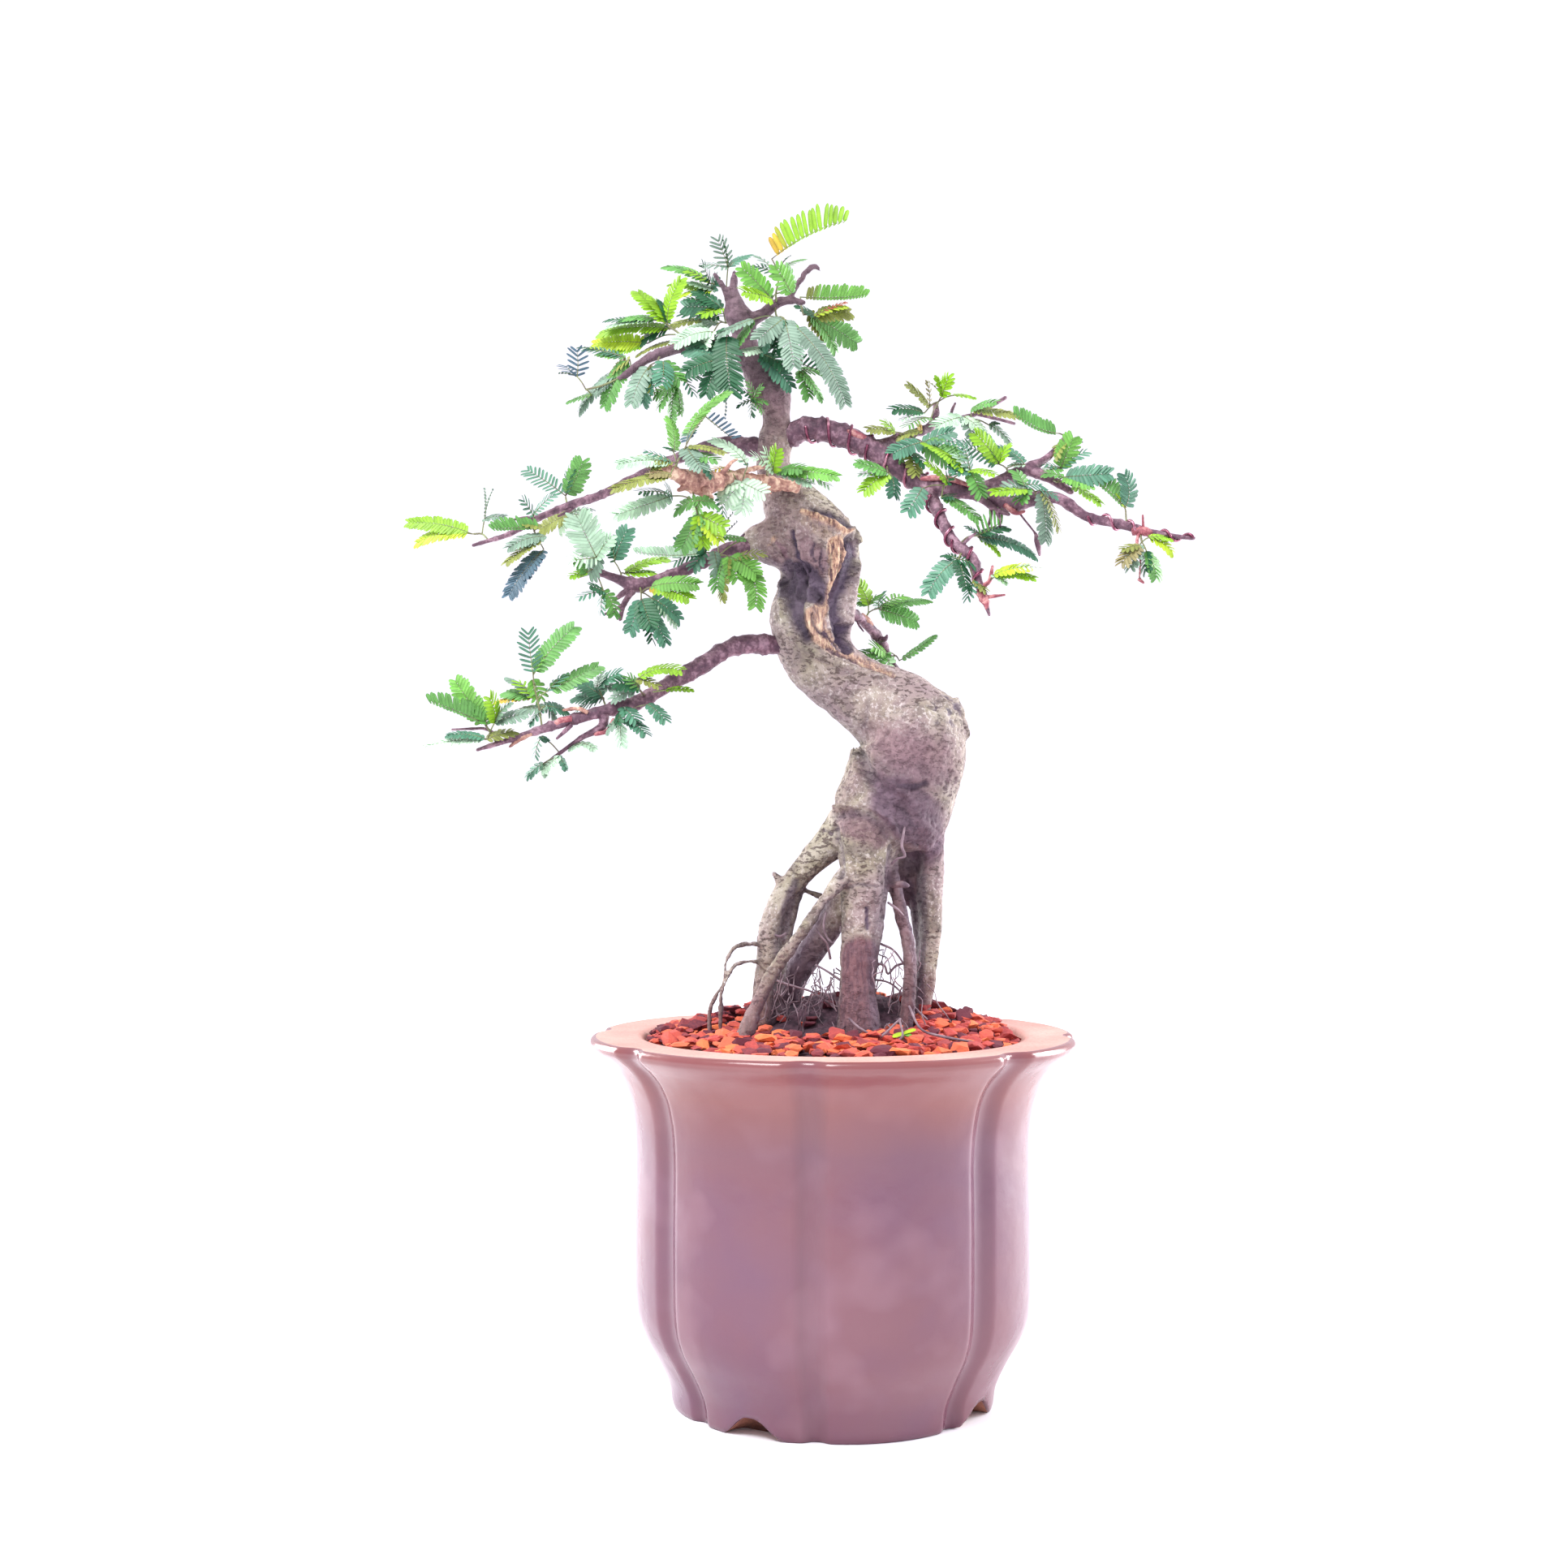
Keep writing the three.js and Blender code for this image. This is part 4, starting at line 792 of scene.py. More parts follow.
@dataclass
class LobedPot:
    """The round pot: eight lobes, a flared rim and a foot ring with four cloud arches.

    Lengths are in millimetres, and azimuths in degrees from the front, + to the right. The
    profile's rows are (radius, height). lobes says which shares of a fold are channel and
    lobe, rim_fade over which radii the folds fade out on the rim's top, and pooling how
    strongly the glaze pools in a channel.
    """

    grooves: tuple[float, ...] = (-55, -7.3, 44, 86, 130, 173.5, 217.5, 261, 305)
    lobe_depth: float = 3.5
    rim_lobe_depth: float = 4.4
    lobes: tuple[float, float] = (0.62, 0.38)
    neck: tuple[float, float] = (122.0, 140.0)
    belly: float = 82.0
    channel: tuple[float, float] = (1.5, 8.0)
    pooling: float = 0.3
    rim_fade: tuple[float, float, float] = (80.0, 84.0, 20.0)
    arch_azimuth: float = -30.2
    arch_width: float = 28.0
    arch_height: float = 8.2
    arch_below: float = 8.0
    foot_inside: float = 54.5
    foot_middle: float = 62.0
    foot_lobed: float = 60.0
    around: int = 480
    wall: tuple = (
        (65, 0), (65.7, 0.6), (66.2, 2.5), (67.5, 10), (72.2, 20), (78.7, 32), (81.5, 45),
        (82, 75), (81.8, 108), (83.8, 124), (87.6, 133.5), (92.6, 140), (97.8, 144.4),
    )
    lip: tuple = ((97.6, 144.4), (99.3, 146.2), (99.6, 148.2), (98.7, 149.6), (97.2, 150.0))
    rim: tuple = ((97.2, 150.0), (92, 149.8), (86, 149.7), (80.5, 150.0))
    bore: tuple = (
        (80.5, 150.0), (78.9, 149.6), (78, 148.4), (76, 138), (75, 126), (73.4, 60),
        (72.5, 42), (66, 24), (56, 15),
    )
    floor: tuple = ((56, 15), (34, 15), (10, 15), (10, 11), (10, 6), (30, 6), (52, 6), (54, 0))
    foot: tuple = ((54, 0), (60, 0), (65, 0))

    def run(self) -> tuple[Array, list[int]]:
        """The closed profile from the foot ring up the wall and down the bore.

        Returns:
            Its rows of radius and height, and each row's finish.
        """
        rows, kinds = [], []
        pieces = (
            (self.wall, 2.4, GLAZED), (self.lip, 0.8, GLAZED), (self.rim, 3.0, WIPED),
            (self.bore, 5.0, WIPED), (self.floor, 0.0, UNGLAZED), (self.foot, 0.0, UNGLAZED),
        )
        for line, step, kind in pieces:
            flat = np.array([(r, 0, z) for r, z in line], float)
            curve = along_curve(flat, step) if step else flat
            rows.extend(curve[:-1, [0, 2]])
            kinds.extend([kind] * (len(curve) - 1))
        return np.array(rows), kinds

    def fold(self, azimuth: Array) -> tuple[Array, Array]:
        """How deep the wall is drawn in, as a share, and how far it lies in a channel."""
        round_on = (azimuth - self.grooves[0]) % 360 + self.grooves[0]
        turn = np.interp(round_on, self.grooves, np.arange(len(self.grooves)))
        away = 1 - np.abs(2 * (turn - np.floor(turn)) - 1)
        nearest = np.min(np.abs(round_on[:, None] - np.array(self.grooves)), axis=1)
        channel = 1 - smoothstep(*self.channel, np.radians(nearest) * self.belly)
        return self.lobes[0] * channel + self.lobes[1] * (1 - away) ** 2, channel

    def inset(self, radius: float, height: float, kind: int, fold: Array) -> Array:
        """How far the folds draw in each point of a ring, in millimetres."""
        if kind == UNGLAZED:
            return self.lobe_depth * fold if radius > self.foot_lobed else 0 * fold
        rise = float(smoothstep(*self.neck, np.array(height)))
        deep = self.lobe_depth + (self.rim_lobe_depth - self.lobe_depth) * rise
        if kind == GLAZED:
            return deep * fold
        root, start, fade = self.rim_fade
        return deep * fold * (radius - root) / fade if radius > start else 0 * fold

    def arch(self, azimuth: Array) -> Array:
        """How high the foot ring is cut away at each azimuth, in millimetres."""
        turn = (azimuth - self.arch_azimuth + 45) % 90 - 45
        across = np.abs(np.radians(turn)) * self.foot_middle / (self.arch_width / 2)
        return self.arch_height * (1 - smoothstep(0.08, 1.0, across))

    def build(self) -> None:
        """Lofts the profile round the axis and shows it in place of the CAD pot."""
        profile, kinds = self.run()
        azimuth = np.arange(self.around) * 360 / self.around
        fold, channel = self.fold(azimuth)
        angle = np.radians(azimuth)
        rings, grooves = [], []
        for (radius, height), kind in zip(profile, kinds):
            reach = (radius - self.inset(radius, height, kind, fold)) * MM
            lifted = height + 0 * azimuth
            if radius >= self.foot_inside and height < self.arch_below:
                lifted = np.maximum(height, self.arch(azimuth))
            ring = (reach * np.sin(angle), -reach * np.cos(angle), lifted * MM)
            rings.append(np.stack(ring, 1))
            grooves.append(channel * (self.pooling if kind == GLAZED else 0.0))
        batch = Batch()
        faces = lofted(len(rings), self.around, closed=True)
        batch.add(np.concatenate(rings) + AXIS, faces, groove=np.concatenate(grooves))
        batch.finishes = [kind for kind in kinds for _ in range(self.around)]
        batch.show("pot_body", POT_FINISHES, "glazed_pot", "pot")


# What fills the pot


@dataclass
class Surface:
    """The height of the soil over the pot's mouth, in millimetres."""

    mouth: float = 78.0
    edge: float = 145.0
    rise: float = 5.0
    mound: float = 15.5
    mound_at: tuple[float, float] = (6.0, 14.0)
    mound_spread: tuple[float, float] = (34.0, 15.0)

    def height(self, x: Array, y: Array) -> Array:
        """Soil height at places measured from the pot's axis."""
        dx = (x - self.mound_at[0]) / self.mound_spread[0]
        dy = (y - self.mound_at[1]) / self.mound_spread[1]
        hump = self.mound * np.exp(-(dx * dx + dy * dy) / 2)
        return self.edge + self.rise * (1 - (x * x + y * y) / self.mouth**2) + hump


@dataclass
class SoilBed:
    """Dark crumbly soil with a root mat humped behind the roots.

    walls holds the radius and height of the rings below its edge, and crumbs the height,
    grain and seed of each noise on its top, all in millimetres.
    """

    surface: Surface
    radius: float = 74.6
    walls: tuple[tuple[float, float], ...] = ((73.0, 60.0), (55.0, 15.3))
    crumbs: tuple[Spot, ...] = ((1.1, 9, 0), (0.9, 3.2, 7), (0.4, 1.5, 3))
    rings: int = 60
    around: int = 200

    def build(self) -> None:
        """Shows a closed bed whose top is crumbled by noise."""
        reach = self.radius * (np.arange(self.rings) + 1) / self.rings
        angle = np.arange(self.around) * 2 * math.pi / self.around
        x = np.append(np.outer(reach, np.sin(angle)), 0)
        y = np.append(-np.outer(reach, np.cos(angle)), 0)
        top = np.stack([x, y, self.surface.height(x, y)], 1) * MM + AXIS
        top[:, 2] += sum(high * rough(top, *grain) for high, *grain in self.crumbs) * MM
        walls = []
        for radius, height in self.walls:
            ring = (radius * np.sin(angle), -radius * np.cos(angle), 0 * angle + height)
            walls.append(np.stack(ring, 1) * MM + AXIS)
        foot = np.array([[0, 0, self.walls[-1][1]]]) * MM + AXIS
        points = np.vstack([top[:-1], *walls, top[-1:], foot])
        rings = self.rings + len(self.walls)
        faces = [(a, d, c, b) for a, b, c, d in lofted(rings, self.around)]
        middle, under = len(points) - 2, len(points) - 1
        last = (rings - 1) * self.around
        for a in range(self.around):
            b = (a + 1) % self.around
            faces += [(a, b, middle), (last + b, last + a, under)]
        batch = Batch()
        batch.add(points, faces)
        batch.show("soil_bed", (EARTH,), "potting_soil", "soil")


@dataclass
class BrickChips:
    """Crushed brick strewn over the soil, with one dark stone at the left rim.

    Few chips lie on the root mat, an ellipse. Tones run from 0, dark, to 1, pale: they
    spread about warmth, which drops towards the sides and at the back.
    """

    surface: Surface
    chips: int = 1300
    outer: float = 76.0
    overlap: float = 1.9
    seed: int = 41
    templates: int = 14
    size: tuple[float, float] = (5.4, 12.0)
    mat_at: tuple[float, float] = (-2.0, -1.0)
    mat_reach: tuple[float, float] = (34.0, 30.0)
    mat_bare: float = 0.98
    layers: tuple[float, float] = (0.2, 3.0)
    warmth: float = 0.57
    side_drop: float = 0.1
    side: float = 60.0
    back_drop: float = 0.06
    spread: float = 0.24
    burnt: float = 0.15
    burnt_tone: float = 0.02
    stone_spot: Spot = (836, 1264, 30)
    stone_size: Spot = (15, 11, 11)
    stone_height: float = 149.2

    def on_mat(self, x: float, y: float) -> bool:
        """Whether a place is on the dark root mat."""
        dx = (x - self.mat_at[0]) / self.mat_reach[0]
        dy = (y - self.mat_at[1]) / self.mat_reach[1]
        return dx**2 + dy**2 < 1

    def tone(self, rng: random.Random, x: float, y: float) -> float:
        """A chip's tone: drawn about a warmth that drops towards the sides and at the back, with some
        chips burnt dark.
        """
        warm = self.warmth - self.side_drop * min(abs(x) / self.side, 1.0)
        warm -= self.back_drop if y > 0 else 0.0
        if rng.random() < self.burnt:
            return self.burnt_tone
        return min(max(rng.gauss(warm, self.spread), 0.0), 1.0)

    def build(self) -> None:
        """Throws the chips one by one and shows them in place of the CAD grit."""
        rng = random.Random(self.seed)
        shapes = [closed_hull(rng, rng.randint(12, 18), 0.46) for _ in range(self.templates)]
        batch = Batch()
        laid = 0
        while laid < self.chips:
            reach = math.sqrt(rng.uniform(0, 1)) * self.outer
            angle = rng.uniform(0, 2 * math.pi)
            x, y = reach * math.sin(angle), -reach * math.cos(angle)
            if self.on_mat(x, y) and rng.random() < self.mat_bare:
                continue
            size = rng.uniform(*self.size) * rng.uniform(0.75, 1.0)
            if reach + size / 2 > self.outer + self.overlap:
                continue
            layer = self.layers[0] if self.on_mat(x, y) else rng.uniform(*self.layers)
            z = float(self.surface.height(np.array(x), np.array(y))) + layer + size * 0.16
            shape, faces = rng.choice(shapes)
            points = (shape * size) @ self.turn(rng)
            points = (points + (x, y, z)) * MM + AXIS
            batch.add(points, faces, tone=self.tone(rng, x, y))
            laid += 1
        batch.show("brick_chips", (BRICK,), "clay_grit", "grit", flat=True)
        self.stone(rng)

    @staticmethod
    def turn(rng: random.Random) -> Array:
        """A random turn about the vertical with a tilt of up to 35 degrees."""
        spin, lean = rng.uniform(0, 2 * math.pi), rng.uniform(-0.6, 0.6)
        c, s, cl, sl = math.cos(spin), math.sin(spin), math.cos(lean), math.sin(lean)
        flat = np.array([[c, s, 0], [-s, c, 0], [0, 0, 1]])
        return flat @ np.array([[1, 0, 0], [0, cl, sl], [0, -sl, cl]])

    def stone(self, rng: random.Random) -> None:
        """One broken grey stone that leans on the rim at the left."""
        shape, faces = closed_hull(rng, 26, 0.7)
        spot = VIEW.at(self.stone_spot)
        points = (shape * self.stone_size) @ self.turn(rng) * MM
        points += np.array((spot.x, spot.y, self.stone_height * MM))
        batch = Batch()
        batch.add(points, faces)
        batch.show("grey_stone", (STONE,), "clay_grit", flat=True)


@dataclass
class DrainMesh:
    """The moulded mesh over the drain hole keeps its CAD shape."""

    def build(self) -> None:
        """Gives the CAD node its moulded plastic."""
        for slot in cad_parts["drain_mesh"].material_slots:
            slot.material = DRAIN_PLASTIC.material()
        LOG.info("drain_mesh: CAD shape, new finish")


# The trunk and its roots

TRUNK_LIMBS: tuple[tuple[Row, ...], ...] = (
    ((1088, 1034, 2, 20), (1098, 1000, 2, 24), (1113, 955, 3, 23.5), (1120, 912, 4, 23.5),
     (1100, 880, 5, 19.4), (1047, 846, 5, 14.4), (1013, 815, 4, 14.6), (999, 768, 3, 17),
     (1008, 720, 2, 15.8), (1007, 680, 1, 17), (990, 645, 0, 15), (966, 605, -1, 10.2),
     (953, 572, -2, 7.2), (957, 540, -2, 7), (956, 512, -2, 5.7), (950, 488, -1, 8.5), (935, 460, 0, 6.6),
     (921, 430, 0, 5.4), (914, 400, 0, 5.6), (907, 384, 0, 5.4), (904, 362, 0, 2.6), (905, 334, 0, 1.4)),
    ((975, 668, 0, 14), (950, 668, -2, 10), (930, 668, -3, 7.5)),
    ((1150, 900, 4, 14), (1164, 874, 3, 7.5), (1167, 866, 2, 4)),
)
ROOT_LIMBS: tuple[tuple[Row, ...], ...] = (
    ((1070, 1006, -4, 17), (1068, 1040, -8, 13), (1066, 1090, -10, 9.8), (1061, 1155, -12, 8.3),
     (1057, 1215, -14, 7.4), (1058, 1275, -16, 9.5)),
    ((1050, 1020, 0, 12), (1018, 1044, 0, 7), (985, 1078, -2, 5), (960, 1110, -3, 4.6),
     (948, 1150, -4, 4.6), (945, 1190, -5, 4.6), (938, 1262, -6, 5)),
    ((1062, 1080, 8, 9), (1035, 1120, 10, 6.4), (1005, 1165, 12, 5.8), (976, 1212, 14, 5.6),
     (966, 1262, 16, 5.6)),
    ((1130, 1010, 4, 12), (1145, 1058, 4, 6.4), (1146, 1110, 4, 5.2), (1147, 1150, 4, 4.7),
     (1142, 1190, 4, 4.2), (1134, 1262, 4, 4)),
    ((1122, 1000, 12, 13), (1120, 1060, 14, 9.5), (1112, 1104, 14, 5.5)),
    ((990, 1072, 0, 4), (975, 1104, 1, 4.2), (969, 1135, 1, 3.8), (965, 1165, 0, 3.4),
     (959, 1205, -2, 3.2), (950, 1258, -4, 3)),
    ((1124, 1052, 12, 8), (1131, 1106, 10, 4.6), (1137, 1150, 9, 3.8), (1138, 1200, 8, 3.2),
     (1133, 1260, 7, 2.8)),
)
THIN_LIMBS: tuple[tuple[Row, ...], ...] = (
    ((1050, 1070, -15, 4), (1015, 1109, -20, 2.4), (996, 1138, -22, 2.3), (969, 1175, -25, 2.4),
     (946, 1210, -27, 2.6), (914, 1282, -31, 3.4)),
    ((1086, 1052, -4, 7), (1103, 1094, -6, 3), (1110, 1125, -7, 2.8), (1118, 1160, -8, 2.8),
     (1121, 1200, -9, 2.8), (1116, 1272, -10, 3)),
    ((1096, 1090, -10, 1.9), (1110, 1089, -12, 1.7), (1118, 1091, -12, 1.4)),
    ((962, 1092, -3, 2.4), (957, 1080, -4, 1.3), (953, 1076, -4, 0.8)),
    ((948, 1168, -5, 1.2), (930, 1163, -9, 1.0), (906, 1167, -12, 0.9), (894, 1187, -14, 0.8),
     (891, 1211, -15, 0.8), (876, 1240, -16, 0.9), (874, 1275, -16, 1)),
    ((946, 1192, -5, 1.2), (927, 1185, -10, 1.0), (906, 1189, -14, 0.9), (896, 1206, -17, 0.8),
     (889, 1223, -19, 0.8), (888, 1247, -20, 0.9), (887, 1282, -21, 1)),
    ((1012, 1104, 4, 1.4), (986, 1098, 2, 0.9), (976, 1121, 0, 0.9), (970, 1158, -2, 1.4)),
    ((906, 380, 0, 3), (893, 356, -2, 1.8), (880, 337, -3, 1.1)),
    ((915, 398, 0, 3.4), (938, 388, -1, 2.4), (957, 374, -2, 2.2), (975, 371, -3, 1.6),
     (991, 373, -3, 1.1)),
    ((970, 372, -3, 1.2), (981, 353, -3, 1.2), (996, 332, -3, 1.6), (1005, 328, -3, 1.3),
     (1011, 334, -3, 0.7)),
    ((922, 424, 0, 3.6), (890, 424, -4, 3.0), (856, 425, -8, 2.6), (830, 431, -10, 2.4),
     (800, 441, -12, 2.1), (775, 459, -14, 1.5), (762, 466, -13, 0.8)),
    ((938, 668, -9, 3.4), (952, 682, -12, 2.6), (962, 692, -13, 1.4)),
    ((1036, 644, 1, 3.0), (1041, 641, 0, 2.0), (1045, 640, -1, 0.8)),
    ((1050, 668, 1, 3.2), (1050, 657, 0, 2.2), (1047, 650, -1, 0.9)),
    ((964, 722, 0, 3.0), (960, 726, -1, 1.4)),
    ((1138, 854, 4, 4.6), (1154, 858, 3, 3.4), (1164, 863, 2, 2.6)),
    ((1170, 872, 3, 6.0), (1181, 880, 2, 3.6)),
    ((1180, 896, 3, 5.0), (1190, 906, 2, 2.6)),
)


class Wash(Enum):
    """What a mark does to the bark's colour, by the name of its mask: the dark mauve wash is painted
    shade, the red-brown wash is raw skin and painted shade, and bare wood and umber are the wood's and
    the roots' own colours.
    """

    BARE = "bare"
    HOLLOW = "hollow"
    RAW = "raw"
    UMBER = "umber"


BARE, HOLLOW, RAW, UMBER = Wash


@dataclass(frozen=True)
class Mark:
    """A line carved into or raised from the front of the trunk.

    Its rows are (u, v, half width), all in pixels of the elevation. lift is in millimetres,
    outwards, and soft is the width of its edge in pixels.
    """

    rows: tuple[tuple[float, float, float], ...]
    lift: float
    soft: float = 3.0
    wash: Wash | None = None
    strength: float = 1.0

    def weight(self, u: Array, v: Array, ragged: Array) -> Array:
        """How far the mark reaches each pixel, from 0 to 1.

        Args:
            u: Pixels across.
            v: Pixels down.
            ragged: Noise that roughens the mark's edge.

        Returns:
            One weight for each pixel.
        """
        best = np.full(u.shape, -1e6)
        for (u0, v0, w0), (u1, v1, w1) in zip(self.rows, self.rows[1:]):
            du, dv = u1 - u0, v1 - v0
            t = np.clip(((u - u0) * du + (v - v0) * dv) / (du * du + dv * dv), 0, 1)
            away = np.hypot(u - u0 - t * du, v - v0 - t * dv)
            best = np.maximum(best, w0 + t * (w1 - w0) - away)
        return smoothstep(-self.soft, 0.3 * self.soft, best + ragged)


MARKS: tuple[Mark, ...] = (
    # red-brown skin on the neck and the stub left of it, and painted shade on the shaded side of the arch
    # and under the swelling
    Mark(((950, 560, 24), (952, 600, 28), (962, 640, 30), (972, 690, 24)), 0.0, 18, RAW, 0.55),
    Mark(((1080, 962, 8), (1105, 985, 28), (1128, 1008, 32), (1136, 1036, 24)), 0.0, 14, HOLLOW, 0.55),
    Mark(((1084, 960, 10), (1105, 985, 30), (1128, 1008, 34), (1136, 1036, 26)), 0.0, 14, RAW, 0.85),
    Mark(((1084, 906, 10), (1110, 926, 24), (1150, 944, 24)), 0.0, 30, RAW, 0.78),
    Mark(((1030, 988, 12), (1046, 962, 14), (1056, 945, 10)), 0.0, 14, RAW, 0.5),
    Mark(((996, 640, 10), (1022, 654, 12)), 0.0, 8, RAW, 0.4),
    # painted shade on the roots' shaded strands, and the brown skin on the thin one in front
    Mark(((980, 1088, 3), (971, 1118, 7), (967, 1142, 6), (965, 1156, 3)), 0.0, 5, HOLLOW, 0.72),
    Mark(((1118, 1090, 6), (1127, 1120, 6), (1132, 1160, 5), (1134, 1230, 4)), 0.0, 6, HOLLOW, 0.66),
    Mark(((988, 1150, 4), (969, 1175, 6), (946, 1210, 6), (914, 1282, 8)), 0.0, 4, UMBER, 0.42),
    # stripped slab below the front branch, the pale ridge above it and painted shade in the gap behind
    Mark(((994, 640, 5), (1010, 648, 10), (1030, 657, 11), (1046, 667, 6)), -0.6, 6, BARE, 0.25),
    Mark(((988, 630, 1.5), (1006, 636, 3), (1026, 644, 3), (1044, 655, 2.5)), 1.3, 2.5, BARE),
    Mark(((1000, 625, 1), (1020, 633, 2), (1038, 641, 2.4), (1046, 650, 2)), -1.6, 2.5, HOLLOW, 0.9),
    # golden wood that twists down the middle, with the pool and its tail below
    Mark(((1034, 672, 13), (1035, 690, 12), (1032, 708, 8.5), (1027, 726, 5), (1024, 740, 4)), -1.0, 3,
        BARE),
    Mark(((1012, 748, 9), (1003, 762, 14), (1006, 778, 12), (1020, 792, 9), (1036, 802, 6),
        (1054, 811, 4), (1078, 821, 2.5), (1102, 832, 1)), -1.0, 2.5, BARE, 0.78),
    # weathered red-brown wall left of it
    Mark(((992, 668, 8), (1000, 684, 15), (1003, 700, 15)), -1.2, 6, RAW, 0.75),
    # painted shade in the dark hollow and in the smooth band that runs down beside the right lip
    Mark(((984, 700, 7), (998, 712, 10), (1010, 726, 9), (1016, 735, 6)), -3.8, 6, HOLLOW, 0.88),
    Mark(((974, 702, 6), (976, 720, 12), (978, 744, 10), (980, 760, 8), (986, 775, 5), (995, 788, 3)),
        -3.8, 5, HOLLOW, 0.88),
    Mark(((984, 726, 8), (1000, 734, 8), (1014, 740, 5)), -2.6, 4, HOLLOW, 0.88),
    Mark(((1049, 662, 3), (1053, 680, 5), (1048, 702, 6), (1038, 722, 8), (1032, 738, 6.5),
        (1030, 754, 6), (1034, 770, 7), (1040, 786, 8), (1048, 800, 3)), -3.2, 4, HOLLOW, 0.92),
    Mark(((1042, 774, 4), (1043, 788, 5)), -2.8, 4, HOLLOW),
    Mark(((1053, 668, 2), (1056, 684, 2.5)), 0.8, 3, RAW, 0.9),
    # the callus lip that has grown round the wood
    Mark(((1047, 651, 2), (1060, 666, 3), (1063, 688, 3), (1058, 706, 3), (1054, 724, 3), (1049, 745, 4),
        (1048, 765, 4), (1050, 790, 2), (1051, 806, 1)), 1.8, 2.5),
    Mark(((984, 640, 1.5), (983, 660, 2), (986, 690, 2), (974, 702, 1.5), (963, 726, 2.5), (964, 752, 3),
        (974, 780, 3.5), (992, 800, 3.5), (1020, 814, 3), (1050, 824, 3), (1090, 836, 2)), 1.3, 4),
    # painted shade in the seam on the left edge
    Mark(((972, 692, 4), (965, 712, 7), (961, 730, 6)), -0.6, 4, HOLLOW, 0.8),
    # cracks, darkened with painted shade
    Mark(((976, 655, 1), (980, 675, 1.5), (984, 695, 1.6), (991, 704, 1)), -1.6, 2, HOLLOW),
    Mark(((1000, 756, 1), (1002, 768, 1.6), (1010, 779, 1.8), (1020, 786, 1.2)), -1.2, 1.6, HOLLOW, 0.8),
    Mark(((1017, 780, 1), (1028, 793, 1.6), (1044, 803, 1.2)), -1.2, 1.8, HOLLOW, 0.9),
    Mark(((1020, 800, 1), (1050, 813, 1.4), (1078, 826, 1.2), (1104, 834, 1)), -1.0, 1.8, HOLLOW, 0.8),
    Mark(((1029, 672, 0.8), (1024, 695, 1.2), (1026, 715, 0.8)), -1.0, 1.6, HOLLOW, 0.7),
    Mark(((1004, 668, 1), (998, 680, 1.4), (1004, 692, 1.2)), -1.2, 2, HOLLOW, 0.7),
    Mark(((1014, 676, 1), (1010, 694, 1.4), (1016, 706, 1)), -1.2, 2, HOLLOW, 0.7),
    Mark(((1040, 676, 0.8), (1038, 694, 1), (1034, 706, 0.8)), -0.8, 1.5, HOLLOW, 0.6),
    Mark(((1068, 1118, 1.2), (1069, 1144, 1.4)), -1.2, 1.8, HOLLOW, 0.9),
    Mark(((1071, 862, 1), (1068, 880, 1.6), (1062, 900, 1)), -0.7, 4, HOLLOW, 0.3),
    # torn fibres on the knob
    Mark(((957, 668, 2), (966, 678, 4), (969, 688, 3)), 0.6, 3, RAW),
    Mark(((948, 672, 1), (954, 664, 1.5)), 0.5, 2, BARE, 0.8),
    # where the swelling folds over the roots: a sharp crease, a basin and a pit, darkened with painted
    # shade, and more painted shade under the swelling
    Mark(((1051, 918, 2.5), (1060, 938, 4.5), (1073, 958, 6), (1090, 976, 7), (1110, 990, 7)), -3.4, 8,
        HOLLOW, 0.5),
    Mark(((1098, 984, 13), (1126, 990, 17), (1152, 998, 12)), -2.0, 16, HOLLOW, 0.42),
    Mark(((1114, 1008, 11), (1124, 1032, 13), (1120, 1062, 11)), -2.4, 12, HOLLOW, 0.6),
    Mark(((1108, 966, 2.5), (1128, 969, 3.5), (1144, 966, 2)), -2.2, 4, HOLLOW, 0.7),
    Mark(((1085, 925, 12), (1120, 945, 20), (1155, 950, 16)), -0.4, 28, RAW, 0.55),
    Mark(((1090, 950, 10), (1125, 962, 16), (1160, 968, 12)), 0.0, 22, HOLLOW, 0.24),
    # the first root arches out under a folded lip, with painted shade under the lip and in the grooves
    # beside it
    Mark(((1056, 1022, 16), (1066, 1060, 15), (1070, 1100, 13)), 1.4, 12),
    Mark(((1028, 996, 1.0), (1042, 993, 1.8), (1062, 991, 2.2), (1080, 997, 2.2), (1094, 1006, 2.2),
        (1105, 1019, 1.8), (1109, 1034, 1.2)), 1.7, 2.6),
    Mark(((1030, 1007, 2.5), (1050, 1003, 3.5), (1070, 1006, 4), (1086, 1016, 4), (1096, 1032, 3.5)),
        -1.4, 6, HOLLOW, 0.36),
    Mark(((1046, 1012, 14), (1082, 1028, 14)), 0.0, 10, RAW, 0.75),
    Mark(((1099, 1046, 3), (1098, 1066, 3), (1095, 1095, 3), (1089, 1130, 2)), -1.8, 5, HOLLOW, 0.55),
    Mark(((1029, 1020, 1.5), (1034, 1048, 2.5), (1037, 1080, 2.5)), -1.8, 5, HOLLOW, 0.55),
    Mark(((1040, 1094, 1), (1060, 1089, 1.2), (1082, 1092, 1)), -0.8, 2, HOLLOW, 0.4),
    Mark(((1014, 1022, 1), (1024, 1028, 1.2)), -0.8, 2, HOLLOW, 0.5),
    Mark(((1132, 1056, 1), (1146, 1060, 1.2), (1158, 1056, 1)), -0.8, 2, HOLLOW, 0.4),
    # brown skin on the foot of the first root, where the soil once reached
    Mark(((1060, 1182, 26), (1058, 1220, 26), (1058, 1290, 34)), -0.2, 8, UMBER),
)


